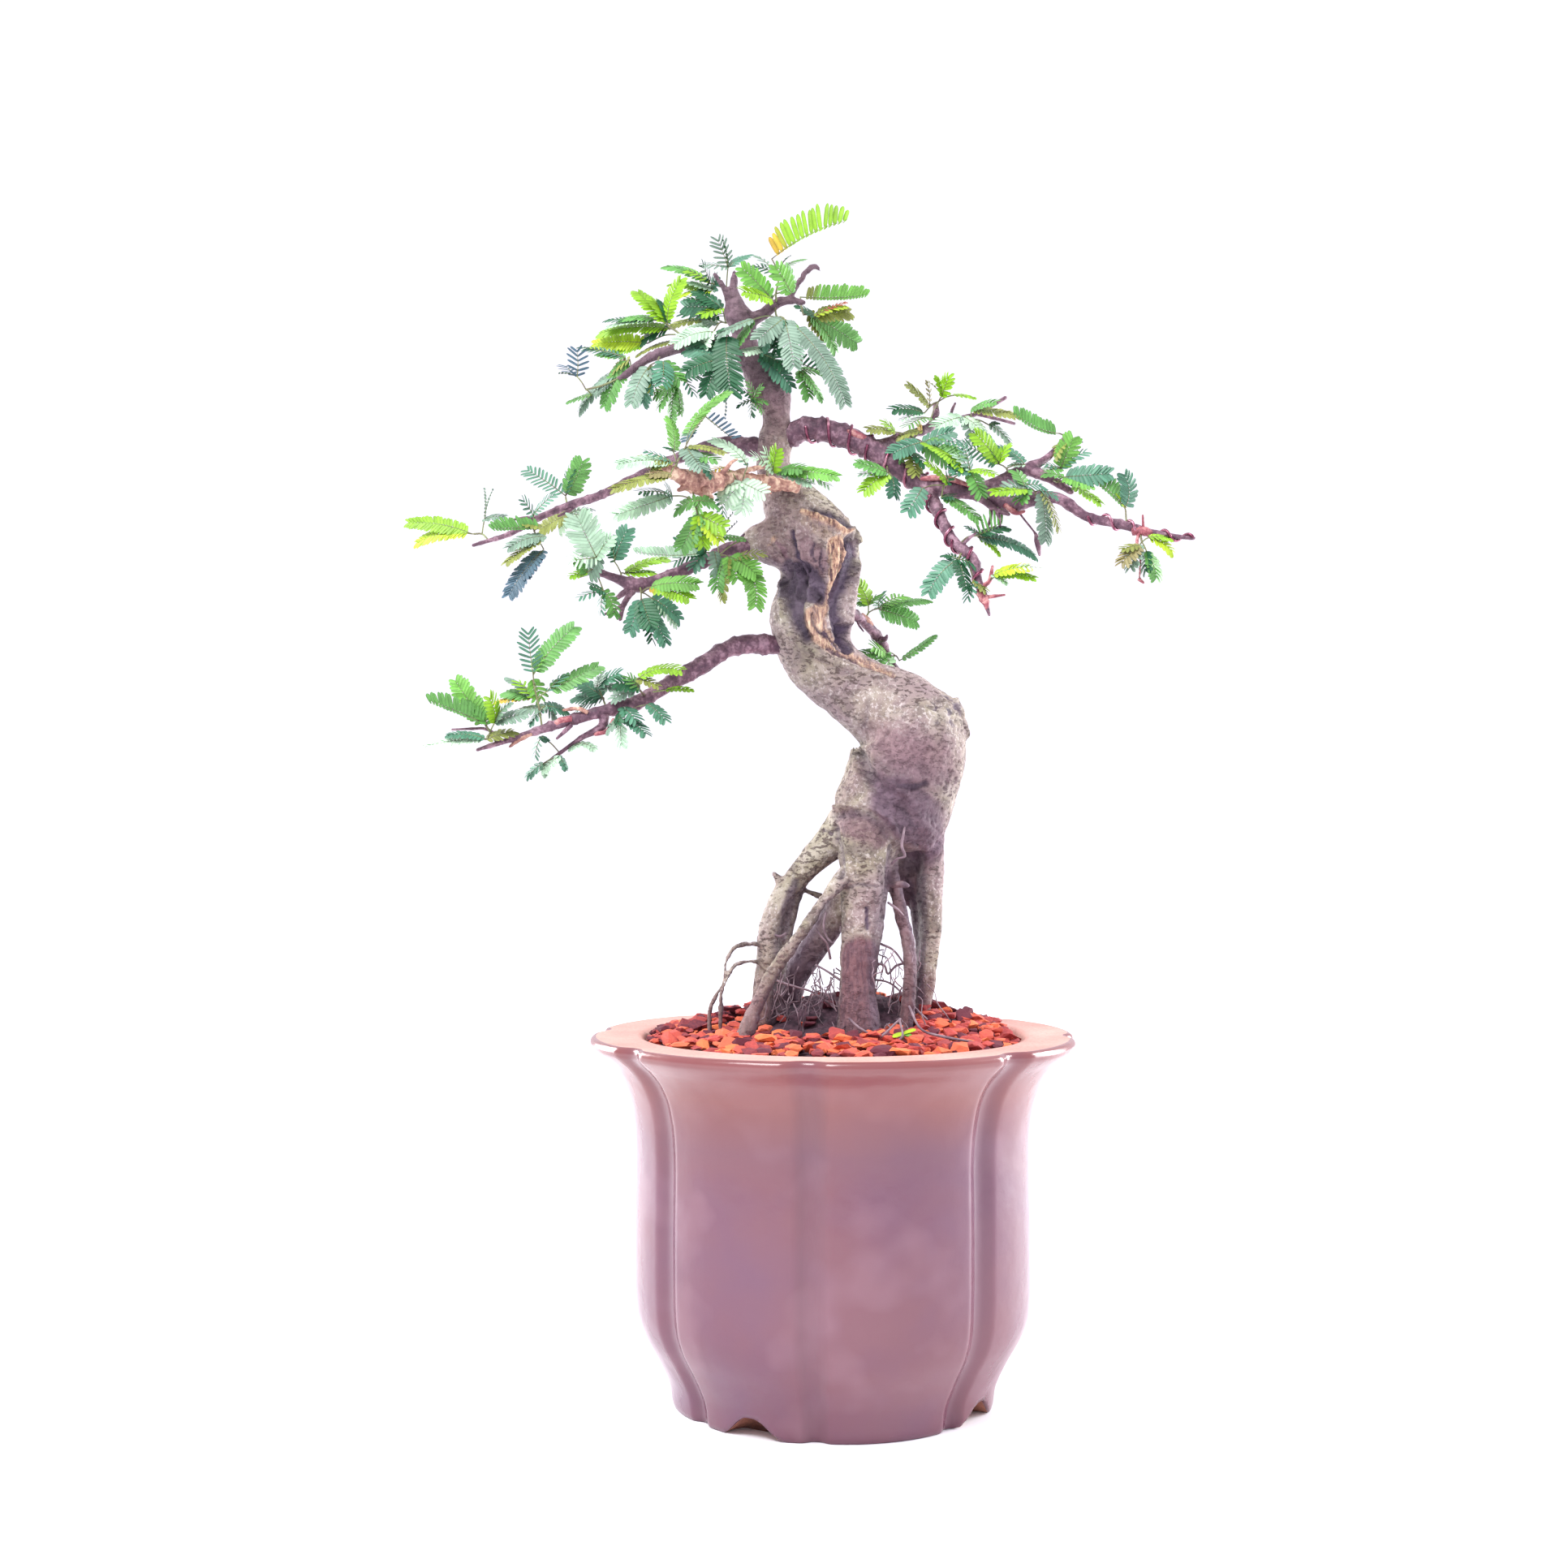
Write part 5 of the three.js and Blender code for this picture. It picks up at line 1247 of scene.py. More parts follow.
@dataclass
class Trunk:
    """The twisted trunk with its stripped wood and the roots that it stands on.

    Heights and places across are pixels of the elevation, voxels are in millimetres. A
    noise is (height, grain, seed). A wash is how strong a mask gets at such places; the pit,
    under, inner and behind washes and the shaded one are painted shade, in pits, on
    undersides, on the roots' inner sides, on the roots further back and at the top.
    """

    voxel: float = 0.72
    thin_voxel: float = 0.8
    sides: int = 24
    knob: tuple[float, float, float] = (1167, 874, 20)
    young: tuple[float, float] = (485.0, 595.0)
    shaded: tuple[float, float] = (445.0, 525.0)
    damp: tuple[float, float] = (1165.0, 1250.0)
    roots_from: tuple[float, float] = (1030.0, 1090.0)
    right_roots: tuple[float, float] = (1124.0, 1132.0)
    brown_root: Row = (1092.0, 1098.0, 1128.0, 1134.0)
    facing: tuple[float, float] = (-0.05, 0.4)
    deep: tuple[float, float] = (2, 9)
    coarse: Spot = (0.6, 10, 1.0)
    ragged: Spot = (0.35, 3.0, 5.0)
    fine: Spot = (0.5, 1.7, 9.0)
    pitted: Spot = (1.1, 2.6, 2.0)
    pit_shade: float = 0.8
    under_shade: float = 0.45
    inner_shade: float = 0.62
    behind_shade: float = 0.6
    brown_wash: float = 0.8
    behind_raw_shade: float = 0.9
    damp_wash: float = 0.75
    young_wash: float = 0.95
    shaded_wash: float = 0.42

    def limbs(self, rows: Sequence[Sequence[Row]], step: float) -> Batch:
        """Round limbs for some centre lines."""
        batch = Batch()
        for line in rows:
            curve = along_curve(placed(line), step * MM)
            tube(batch, curve, self.sides, wobble=0.03, grain=9)
        return batch

    @staticmethod
    def fused(batch: Batch, voxel: float, passes: int) -> Mesh:
        """Melts overlapping limbs into one skin.

        Args:
            batch: The limbs.
            voxel: The grain of the new skin in millimetres.
            passes: How often it is smoothed.

        Returns:
            The skin.
        """
        limbs = batch.mesh("limbs")
        helper = in_scene("limbs", limbs)
        remesh = helper.modifiers.new("melt", "REMESH")
        remesh.mode = "VOXEL"
        remesh.voxel_size = voxel * MM
        smooth = helper.modifiers.new("soften", "SMOOTH")
        smooth.iterations = passes
        smooth.factor = 0.5
        graph = bpy.context.evaluated_depsgraph_get()
        skin = bpy.data.meshes.new_from_object(helper.evaluated_get(graph))
        bpy.data.objects.remove(helper)
        bpy.data.meshes.remove(limbs)
        return skin

    @staticmethod
    def triples(rows: bpy.types.bpy_prop_collection, name: str) -> Array:
        """The three numbers that each item of a mesh holds under a name, one item a row."""
        flat = np.zeros(len(rows) * 3)
        rows.foreach_get(name, flat)
        return flat.reshape(-1, 3)

    def skin(self) -> Mesh:
        """The whole trunk: thick limbs fused and softened, then the thin ones."""
        thick = self.fused(self.limbs((*TRUNK_LIMBS, *ROOT_LIMBS), 2.0), self.voxel, 12)
        batch = self.limbs(THIN_LIMBS, 1.2)
        batch.add(self.triples(thick.vertices, "co"), [tuple(f.vertices) for f in thick.polygons])
        bpy.data.meshes.remove(thick)
        return self.fused(batch, self.thin_voxel, 2)

    def build(self) -> None:
        """Carves the skin and shows it in place of the CAD trunk."""
        skin = self.skin()
        points = self.triples(skin.vertices, "co")
        normals = self.triples(skin.vertex_normals, "vector")
        u, v = VIEW.pixels(points)
        front = smoothstep(*self.facing, -normals[:, 1])
        noises = (self.coarse, self.ragged, self.fine, self.pitted)
        coarse, ragged, fine, pitted = (rough(points, *grain) for _, *grain in noises)
        lift = self.coarse[0] * coarse + self.ragged[0] * ragged
        lift -= self.fine[0] * smoothstep(0.22, 0.55, fine)
        knob = np.hypot(u - self.knob[0], (v - self.knob[1]) * 0.8)
        knobby = (1 - smoothstep(0.5 * self.knob[2], 1.3 * self.knob[2], knob)) * front
        lift += knobby * (self.pitted[0] * pitted + 0.3)
        masks = {wash.value: np.zeros(len(points)) for wash in Wash}

        def wash_on(wash: Wash, *weights: Array) -> None:
            """Strengthens a wash to each of some weights."""
            masks[wash.value] = np.maximum.reduce((masks[wash.value], *weights))

        roots = smoothstep(*self.roots_from, v)
        # painted shade: darker on undersides, on the roots' inner sides, on the roots further back and in
        # the knob's pits
        under = smoothstep(0.1, 0.9, -normals[:, 2]) * (1 - 0.4 * roots)
        right = smoothstep(*self.right_roots, u)
        inner = roots * ((1 - right) * smoothstep(0.1, 0.9, normals[:, 0])
                         + right * smoothstep(0.0, 0.6, -normals[:, 0]))
        depth = (points[:, 1] - VIEW.axis.y) / MM
        behind = smoothstep(*self.deep, depth) * roots * (1 - right)
        pits = self.pit_shade * knobby * smoothstep(0.1, 0.4, -pitted)
        wash_on(HOLLOW, pits, self.under_shade * under, self.inner_shade * inner)
        wash_on(HOLLOW, self.behind_shade * behind)
        start, low, high, end = self.brown_root
        brown = roots * smoothstep(start, low, u) * (1 - smoothstep(high, end, u))
        # the brown root, and more painted shade on the roots further back
        wash_on(RAW, self.brown_wash * brown, self.behind_raw_shade * behind)
        for mark in MARKS:
            weight = mark.weight(u, v, 2.0 * ragged + fine) * front
            lift += mark.lift * weight
            if mark.wash:
                wash_on(mark.wash, weight * mark.strength)
            if mark.wash is BARE:
                masks[RAW.value] *= 1 - weight
        wash_on(UMBER, self.damp_wash * smoothstep(*self.damp, v + 9 * ragged))
        wash_on(RAW, self.young_wash * (1 - smoothstep(*self.young, v)))
        # painted shade at the top of the trunk, among the leaves
        wash_on(HOLLOW, self.shaded_wash * (1 - smoothstep(*self.shaded, v)))
        points += normals * (lift * MM)[:, None]
        skin.vertices.foreach_set("co", points.ravel())
        for name, values in masks.items():
            write_values(skin, name, values)
        skin.shade_smooth()
        show("trunk_and_roots", skin, (BARK,), "trunk_bark", "trunk")


@dataclass
class HairRoots:
    """Dry feeder roots, fine as wire, tangled between the thick ones.

    paths are spots along single roots. A patch is where wisps hang: its left, right, top
    and bottom pixels, and how many there are.
    """

    seed: int = 7
    thick: tuple[float, float] = (0.42, 0.62)
    thin: tuple[float, float] = (0.16, 0.34)
    depths: tuple[float, float] = (-22, 10)
    paths: tuple[tuple[Spot, ...], ...] = (
        ((1005, 1189, 2), (1018, 1196, -2), (1036, 1208, -6)),
        ((950, 1200, -8), (957, 1208, -10), (981, 1216, -12), (1000, 1222, -12), (1018, 1234, -12),
         (1034, 1242, -10)),
        ((1074, 1207, -6), (1090, 1209, -6), (1102, 1215, -6), (1115, 1228, -8), (1128, 1243, -8),
         (1142, 1256, -8)),
        ((1116, 1013, -16), (1113, 1028, -18), (1111, 1043, -18), (1115, 1055, -18), (1106, 1058, -17),
         (1099, 1064, -15)),
        ((1094, 1112, -12), (1104, 1119, -14), (1113, 1128, -10)),
        ((1005, 1144, -18), (1012, 1154, -20), (1019, 1163, -18), (1023, 1181, -14)),
        ((1018, 1124, -2), (1015, 1140, -6), (1019, 1155, -6), (1026, 1162, -10)),
        ((1085, 1163, -12), (1102, 1172, -10), (1118, 1196, -8), (1126, 1216, -6)),
        ((1080, 1187, -10), (1090, 1190, -8), (1094, 1200, -6), (1104, 1190, -6), (1118, 1186, -8)),
        ((955, 1152, -8), (962, 1154, -8), (968, 1150, -6)),
        ((1110, 1255, -34), (1080, 1281, -38), (1045, 1290, -40), (1030, 1288, -40)),
        ((1120, 1240, -30), (1135, 1268, -40), (1165, 1278, -45), (1200, 1284, -46)),
        ((1046, 1255, -30), (1058, 1266, -34), (1075, 1276, -36)),
        ((1108, 1256, -36), (1112, 1275, -44), (1106, 1284, -46)),
    )
    patches: tuple[tuple[float, float, float, float, int], ...] = (
        (945, 1035, 1190, 1268, 62), (1078, 1142, 1165, 1268, 34), (1010, 1120, 1245, 1290, 24),
    )

    def build(self) -> None:
        """Shows the single roots and random wisps between them."""
        rng = random.Random(self.seed)
        batch = Batch()
        for path in self.paths:
            rows = placed([(*spot, rng.uniform(*self.thick)) for spot in path])
            tube(batch, along_curve(rows, 1.2 * MM), 5, wobble=0.1, grain=2)
        for *patch, count in self.patches:
            for _ in range(count):
                self.wisp(batch, rng, *patch)
        batch.show("hair_roots", (ROOT_HAIR,), "trunk_bark")

    def wisp(
        self, batch: Batch, rng: random.Random, left: float, right: float, top: float,
        bottom: float,
    ) -> None:
        """Adds one crooked wisp that hangs in a patch.

        Args:
            batch: The mesh that it joins.
            rng: Gives its shape.
            left: The patch's left edge in pixels.
            right: Its right edge.
            top: Its top.
            bottom: Its bottom.
        """
        u, depth = rng.uniform(left, right), rng.uniform(*self.depths)
        v = rng.uniform(top, bottom - 25)
        drift = rng.uniform(-1, 1)
        rows = []
        for _ in range(rng.randint(4, 7)):
            rows.append((u, v, depth, rng.uniform(*self.thin)))
            u += drift * rng.uniform(2, 9) + rng.uniform(-4, 4)
            v = min(v + rng.uniform(1, 13), bottom + 6)
            depth += rng.uniform(-3, 3)
        tube(batch, along_curve(placed(rows), 1.4 * MM), 4)


# Branches and their training wire


@dataclass(frozen=True)
class Limb:
    """One limb of a branch: its centre line, and the number of its finish."""

    rows: tuple[Row, ...]
    finish: int = YOUNG
    wobble: float = 0.11


BRANCHES: dict[str, tuple[Limb, ...]] = {
    "branch_right": (
        Limb(((966, 541, -2, 4.6), (995, 528, -4, 4.7), (1033, 535, -6, 4.6), (1071, 552, -9, 4.5),
            (1110, 580, -12, 3.9), (1138, 596, -14, 3.8), (1177, 604, -16, 3.2), (1215, 609, -17, 3.2),
            (1244, 622, -18, 3.2), (1278, 614, -20, 2.8), (1306, 615, -21, 2.3), (1340, 637, -22, 1.9),
            (1381, 646, -23, 1.8), (1412, 655, -24, 1.6), (1448, 661, -26, 1), (1471, 663, -27, 0.7))),
        Limb(((1200, 608, -16, 2.6), (1235, 592, -10, 2.6), (1266, 578, -4, 2.6), (1286, 567, 2, 1.5),
            (1302, 553, 6, 1.2), (1311, 541, 9, 1.1))),
        Limb(((1266, 578, -4, 2.5), (1294, 590, -6, 1.9), (1320, 606, -9, 1.3))),
        Limb(((1072, 554, -9, 3), (1095, 545, -5, 2.3), (1125, 534, 0, 1.8), (1146, 526, 5, 1.9),
            (1153, 510, 8, 1.5), (1153, 500, 10, 1.2))),
        Limb(((1150, 521, 6, 1.2), (1172, 517, 10, 1), (1203, 510, 15, 0.9), (1239, 490, 21, 0.8))),
        Limb(((1203, 510, 15, 0.8), (1228, 516, 19, 0.7), (1250, 522, 23, 0.6))),
        Limb(((1171, 518, 10, 0.7), (1173, 506, 11, 0.6), (1177, 497, 12, 0.5))),
        # red strand that split from the top, and broken twigs under the fork
        Limb(((1130, 592, -16, 1), (1148, 589, -18, 1.2), (1170, 590, -19, 1.2), (1197, 599, -20, 0.8)),
            TORN),
        Limb(((1044, 531, -10, 1), (1058, 536, -12, 1.3), (1072, 545, -12, 0.8)), TORN, 0.5),
        Limb(((1205, 612, -19, 1.3), (1225, 627, -22, 1.1), (1243, 634, -23, 0.7))),
        Limb(((1214, 615, -18, 1.1), (1229, 632, -22, 0.9), (1232, 648, -23, 0.6))),
        Limb(((1220, 619, -19, 0.9), (1221, 636, -22, 0.7), (1217, 650, -23, 0.5))),
        Limb(((1238, 622, -20, 1.2), (1252, 632, -22, 0.9), (1262, 630, -23, 0.6)), TORN),
        # a club-shaped bud on its filament
        Limb(((1250, 624, -20, 0.5), (1262, 640, -22, 0.4), (1274, 655, -22, 0.4), (1277, 661, -22, 1),
            (1279, 671, -22, 1.2), (1281, 684, -22, 0.5)), YOUNG, 0.05),
        # spikes and flakes at the tip
        Limb(((1409, 653, -24, 0.7), (1408, 635, -24, 0.4)), TORN),
        Limb(((1405, 654, -25, 0.8), (1401, 668, -28, 0.6), (1405, 690, -30, 0.35),
            (1404, 711, -31, 0.3)), TORN),
        Limb(((1403, 713, -31, 0.9), (1409, 718, -31, 0.5)), TORN),
        Limb(((1395, 655, -24, 1.4), (1408, 654, -25, 2.0), (1418, 657, -25, 1.2)), TORN, 0.5),
    ),
    "branch_drooping": (
        Limb(((1136, 600, -14, 3.2), (1149, 616, -19, 2.8), (1162, 644, -26, 2.2), (1175, 668, -31, 2.2),
            (1198, 688, -35, 2.1), (1205, 716, -38, 1.8), (1213, 738, -41, 1.4), (1219, 758, -44, 0.5))),
        Limb(((1207, 724, -39, 1.2), (1219, 716, -39, 0.9), (1223, 698, -39, 0.6)), TORN),
        Limb(((1211, 736, -41, 1), (1222, 735, -41, 0.7), (1238, 733, -42, 0.4)), TORN),
        Limb(((1206, 728, -40, 1.7), (1214, 740, -42, 1.5), (1216, 750, -43, 0.8)), TORN, 0.5),
        Limb(((1185, 676, -32, 0.8), (1190, 667, -32, 0.7), (1202, 657, -31, 0.5))),
    ),
    "branch_upper_left": (
        Limb(((948, 553, -1, 4), (903, 549, 5, 3.5), (870, 552, 10, 2.7), (830, 567, 17, 2.3),
            (786, 588, 22, 2.1), (740, 610, 28, 1.8), (698, 624, 34, 1.6), (662, 639, 38, 1.3),
            (630, 657, 41, 1.1), (603, 666, 43, 0.9), (583, 672, 46, 0.7))),
        Limb(((905, 543, 4, 2.2), (880, 545, 8, 1.6), (862, 551, 10, 1))),
        Limb(((668, 637, 37, 0.9), (645, 638, 38, 0.6), (622, 643, 40, 0.4))),
        Limb(((712, 620, 33, 1), (700, 630, 33, 0.8), (688, 636, 33, 0.5))),
    ),
    "branch_front": (
        Limb(((972, 603, -4, 2.9), (940, 594, -18, 2.5), (905, 589, -30, 2.5), (880, 594, -38, 4),
            (860, 597, -44, 4.6), (842, 588, -49, 3.3), (822, 580, -55, 2.1), (803, 581, -60, 1.2)), TAN,
            0.3),
        Limb(((985, 600, -13, 2.2), (962, 597, -14, 2.4), (938, 590, -20, 1.8)), TAN, 0.3),
        Limb(((903, 584, -31, 1.3), (922, 579, -26, 1.1), (941, 575, -21, 0.8)), TAN, 0.3),
        Limb(((880, 590, -38, 1.4), (893, 580, -38, 1), (901, 570, -38, 0.7), (908, 566, -38, 0.5)), TAN),
        Limb(((868, 602, -46, 1.8), (872, 609, -47, 1.2), (878, 613, -47, 0.7)), TAN, 0.4),
        Limb(((850, 592, -48, 1.6), (843, 600, -49, 1.5), (836, 604, -50, 0.8)), TAN, 0.4),
        Limb(((935, 598, -22, 0.9), (945, 603, -22, 0.8), (950, 608, -21, 0.4)), TAN),
    ),
    "branch_second_left": (
        Limb(((930, 672, -4, 3.2), (897, 677, -9, 2.8), (872, 690, -12, 2.5), (836, 705, -15, 2.4),
            (805, 717, -18, 2.4), (783, 721, -20, 2.9), (760, 713, -22, 1.8), (735, 704, -24, 1.2))),
        Limb(((783, 722, -20, 1.5), (769, 744, -19, 1.1), (764, 763, -19, 0.9))),
        Limb(((779, 722, -21, 1.4), (768, 731, -22, 1.1), (757, 739, -22, 0.8))),
        Limb(((767, 745, -19, 0.8), (756, 752, -19, 0.6), (745, 757, -19, 0.5))),
        Limb(((745, 705, -24, 1), (728, 706, -25, 0.8), (714, 711, -25, 0.4))),
        Limb(((905, 674, -9, 1.2), (912, 664, -9, 0.8), (917, 658, -9, 0.4))),
    ),
    "branch_lower_left": (
        Limb(((962, 795, 0, 3.9), (918, 794, -6, 3.9), (890, 803, -10, 3.3), (866, 819, -13, 3.6),
            (817, 847, -19, 2.9), (786, 865, -23, 2.8), (740, 877, -29, 2.3), (694, 890, -34, 2.1),
            (648, 905, -39, 1.3), (610, 917, -43, 1), (588, 924, -45, 0.6))),
        Limb(((744, 879, -29, 2.2), (741, 896, -28, 1.8), (715, 910, -29, 1), (676, 938, -30, 0.6),
            (660, 950, -31, 0.4))),
        Limb(((622, 915, -43, 0.7), (601, 899, -44, 0.6), (580, 898, -45, 0.5), (557, 899, -46, 0.4))),
        Limb(((704, 893, -35, 1), (695, 902, -36, 0.8), (686, 910, -36, 0.5))),
        Limb(((724, 878, -33, 0.9), (712, 873, -34, 0.8), (694, 875, -34, 0.5)), TAN),
        Limb(((704, 885, -35, 1.2), (692, 887, -36, 1.3), (678, 895, -36, 0.7)), TORN, 0.5),
        Limb(((757, 886, -29, 0.8), (748, 900, -30, 1), (733, 905, -30, 0.6)), TORN, 0.4),
        Limb(((655, 904, -39, 0.8), (640, 911, -40, 1.1), (628, 920, -40, 0.5)), TAN, 0.4),
    ),
    "branch_back_right": (
        Limb(((1046, 753, 4, 2.2), (1064, 766, 13, 2), (1084, 788, 22, 2), (1095, 809, 28, 1.4),
            (1108, 833, 31, 1.5))),
        Limb(((1061, 757, 12, 1.1), (1068, 764, 13, 1.6), (1074, 771, 16, 1)), TAN, 0.4),
        Limb(((1085, 788, 20, 1.4), (1091, 787, 18, 1), (1093, 783, 18, 0.5))),
        Limb(((1055, 762, 9, 0.5), (1058, 770, 7, 0.4), (1064, 778, 6, 0.3))),
    ),
}


@dataclass
class Branches:
    """All branches: crooked purple-brown limbs with swollen nodes.

    Limbs thicker than thick millimetres get more sides. Nodes come about every node_every
    millimetres.
    """

    sides: int = 14
    thin_sides: int = 8
    thick: float = 1.6
    step: float = 0.9
    node_every: float = 9.0
    node_swell: float = 0.2

    def knotted(self, rows: Array, rng: random.Random) -> Array:
        """Adds swollen nodes along a limb."""
        lengths = np.linalg.norm(np.diff(rows[:, :3], axis=0), axis=1)
        along = np.append(0, np.cumsum(lengths)) / MM
        swell = np.ones(len(rows))
        place = rng.uniform(2, self.node_every)
        while place < along[-1]:
            wide = rng.uniform(0.7, 1.3)
            swell += self.node_swell * rng.uniform(0.5, 1.2) * np.exp(
                -(((along - place) / wide) ** 2)
            )
            place += self.node_every * rng.uniform(0.6, 1.4)
        rows = rows.copy()
        rows[:, 3] *= swell
        return rows

    def build(self) -> None:
        """Shows each branch in place of its CAD node."""
        for node, limbs in BRANCHES.items():
            rng = random.Random(node)
            batch = Batch()
            for limb in limbs:
                thick = max(row[3] for row in limb.rows) > self.thick
                sides = self.sides if thick else self.thin_sides
                rows = self.knotted(along_curve(placed(limb.rows), self.step * MM), rng)
                tube(batch, rows, sides, limb.finish, limb.wobble, grain=2.6)
            name = node.replace("branch", "limb")
            batch.show(name, BRANCH_FINISHES, "twig_bark", node)


@dataclass(frozen=True)
class WireRun:
    """Wire wound round the rows of a branch's first limb from first to last.

    node is the CAD wire that it stands for, where there is one.
    """

    name: str
    branch: str
    first: int
    last: int
    node: str = ""


WIRE_RUNS: tuple[WireRun, ...] = (
    WireRun("winding_right", "branch_right", 1, 3, "wire_right"),
    WireRun("winding_right_on", "branch_right", 3, 5),
    WireRun("winding_drooping", "branch_drooping", 1, 3, "wire_drooping"),
    WireRun("winding_drooping_on", "branch_drooping", 3, 5),
    WireRun("winding_tip", "branch_right", 13, 15, "wire_tip"),
    WireRun("winding_tip_before", "branch_right", 11, 13),
)


@dataclass
class TrainingWire:
    """Soft aluminium wire wound round a branch to hold its bend, in millimetres."""

    radius: float = 0.6
    pitch: float = 9.5
    clear: float = 0.05
    turn_steps: int = 20

    def helix(self, rows: Array) -> Array:
        """The wire's own rows for a stretch of branch."""
        side = np.array((0.0, -1.0, 0.0))
        travelled = 0.0
        made = []
        for here, there in zip(rows, rows[1:]):
            step = there[:3] - here[:3]
            length = float(np.linalg.norm(step))
            ahead = step / length
            side = side - ahead * side.dot(ahead)
            side /= np.linalg.norm(side)
            up = np.cross(ahead, side)
            turn = 2 * math.pi * travelled / (self.pitch * MM)
            reach = here[3] + (self.radius + self.clear) * MM
            spot = here[:3] + reach * (math.cos(turn) * side + math.sin(turn) * up)
            made.append((*spot, self.radius * MM))
            travelled += length
        return np.array(made)

    def build(self) -> None:
        """Shows each run of wire in place of its CAD node."""
        for run in WIRE_RUNS:
            rows = BRANCHES[run.branch][0].rows[run.first : run.last + 1]
            stretch = along_curve(placed(rows), self.pitch * MM / self.turn_steps)
            batch = Batch()
            tube(batch, self.helix(stretch), 10)
            nodes = (run.node,) if run.node else ()
            batch.show(run.name, (WIRE,), "training_wire", *nodes)


# Foliage


class Tone(Enum):
    """A pinna's colour, by its age and by painted light: the lime tone is a painted glow of backlit
    leaflets, the pale, mint and grey tones a painted sheen, and the dark, teal and blue tones dark greens
    that also stand for painted shade.
    """

    # painted light: the glow of backlit leaflets
    LIME = "#7ead22"
    YELLOW = "#a2bd29"
    GREEN = "#588f45"
    FRESH = "#659f41"
    # dark greens that also stand for painted shade
    DARK = "#235938"
    TEAL = "#46785e"
    # painted sheen: pale grey-greens
    MINT = "#a3c2a5"
    PALE_SHEEN = "#b4cfb3"
    GREY_SHEEN = "#6f8976"
    # dark blue-green that also stands for painted shade
    BLUE = "#415b69"
    OLIVE = "#7d8640"
    BROWN = "#847c50"
    GOLD = "#b5962c"
    RED = "#a6522f"


@dataclass(frozen=True)
class Hold:
    """How a pinna holds its leaflets.

    thin scales their width, above and below their reach on each side, and apart their
    spacing. They open by opening degrees at the base and by closing fewer at the tip, and
    lose taper of their length there. A facing pinna is turned flat to the front.
    """

    thin: float
    above: float
    below: float
    apart: float
    opening: float
    closing: float
    taper: float = 0.5
    facing: bool = False


class Form(Enum):
    """The ways in which the tree's pinnae hang."""

    FULL = Hold(1.0, 1.0, 1.0, 1.0, 70, 30)
    COMB = Hold(0.6, 1.0, 1.0, 1.2, 68, 28)
    UPPER = Hold(0.95, 1.75, 0.3, 1.0, 74, 30, 0.6, True)
    RAKE = Hold(0.6, 1.8, 0.15, 1.2, 72, 24, 0.3, True)
    FEATHER = Hold(1.25, 1.9, 0.12, 1.4, 86, 26, 0.62, True)
    CLUB = Hold(0.8, 0.2, 0.2, 1.0, 31, 14)


LIME, YELLOW, GREEN, FRESH, DARK, TEAL, MINT, PALE_SHEEN, GREY_SHEEN, BLUE, OLIVE, BROWN, GOLD, RED = Tone
FULL, COMB, UPPER, RAKE, FEATHER, CLUB = Form


@dataclass(frozen=True)
class Pinna:
    """One feather of a leaf: its tip, its width in pixels, and how it looks.

    bend is how far it bows sideways, as a share of its length, and near is the tone of its
    first leaflets where that differs.
    """

    u: float
    v: float
    depth: float
    width: float
    tone: Tone
    form: Form = Form.FULL
    bend: float = 0.0
    near: Tone | None = None


P = Pinna


@dataclass(frozen=True)
class Leaf:
    """Pinnae that spread from one fork, whose stem leaves the stalk at its point at."""

    at: int
    fork: Spot
    pinnae: tuple[Pinna, ...]


@dataclass(frozen=True)
class Spray:
    """Leaves on one stalk from the wood."""

    stalk: tuple[Spot, ...]
    leaves: tuple[Leaf, ...]


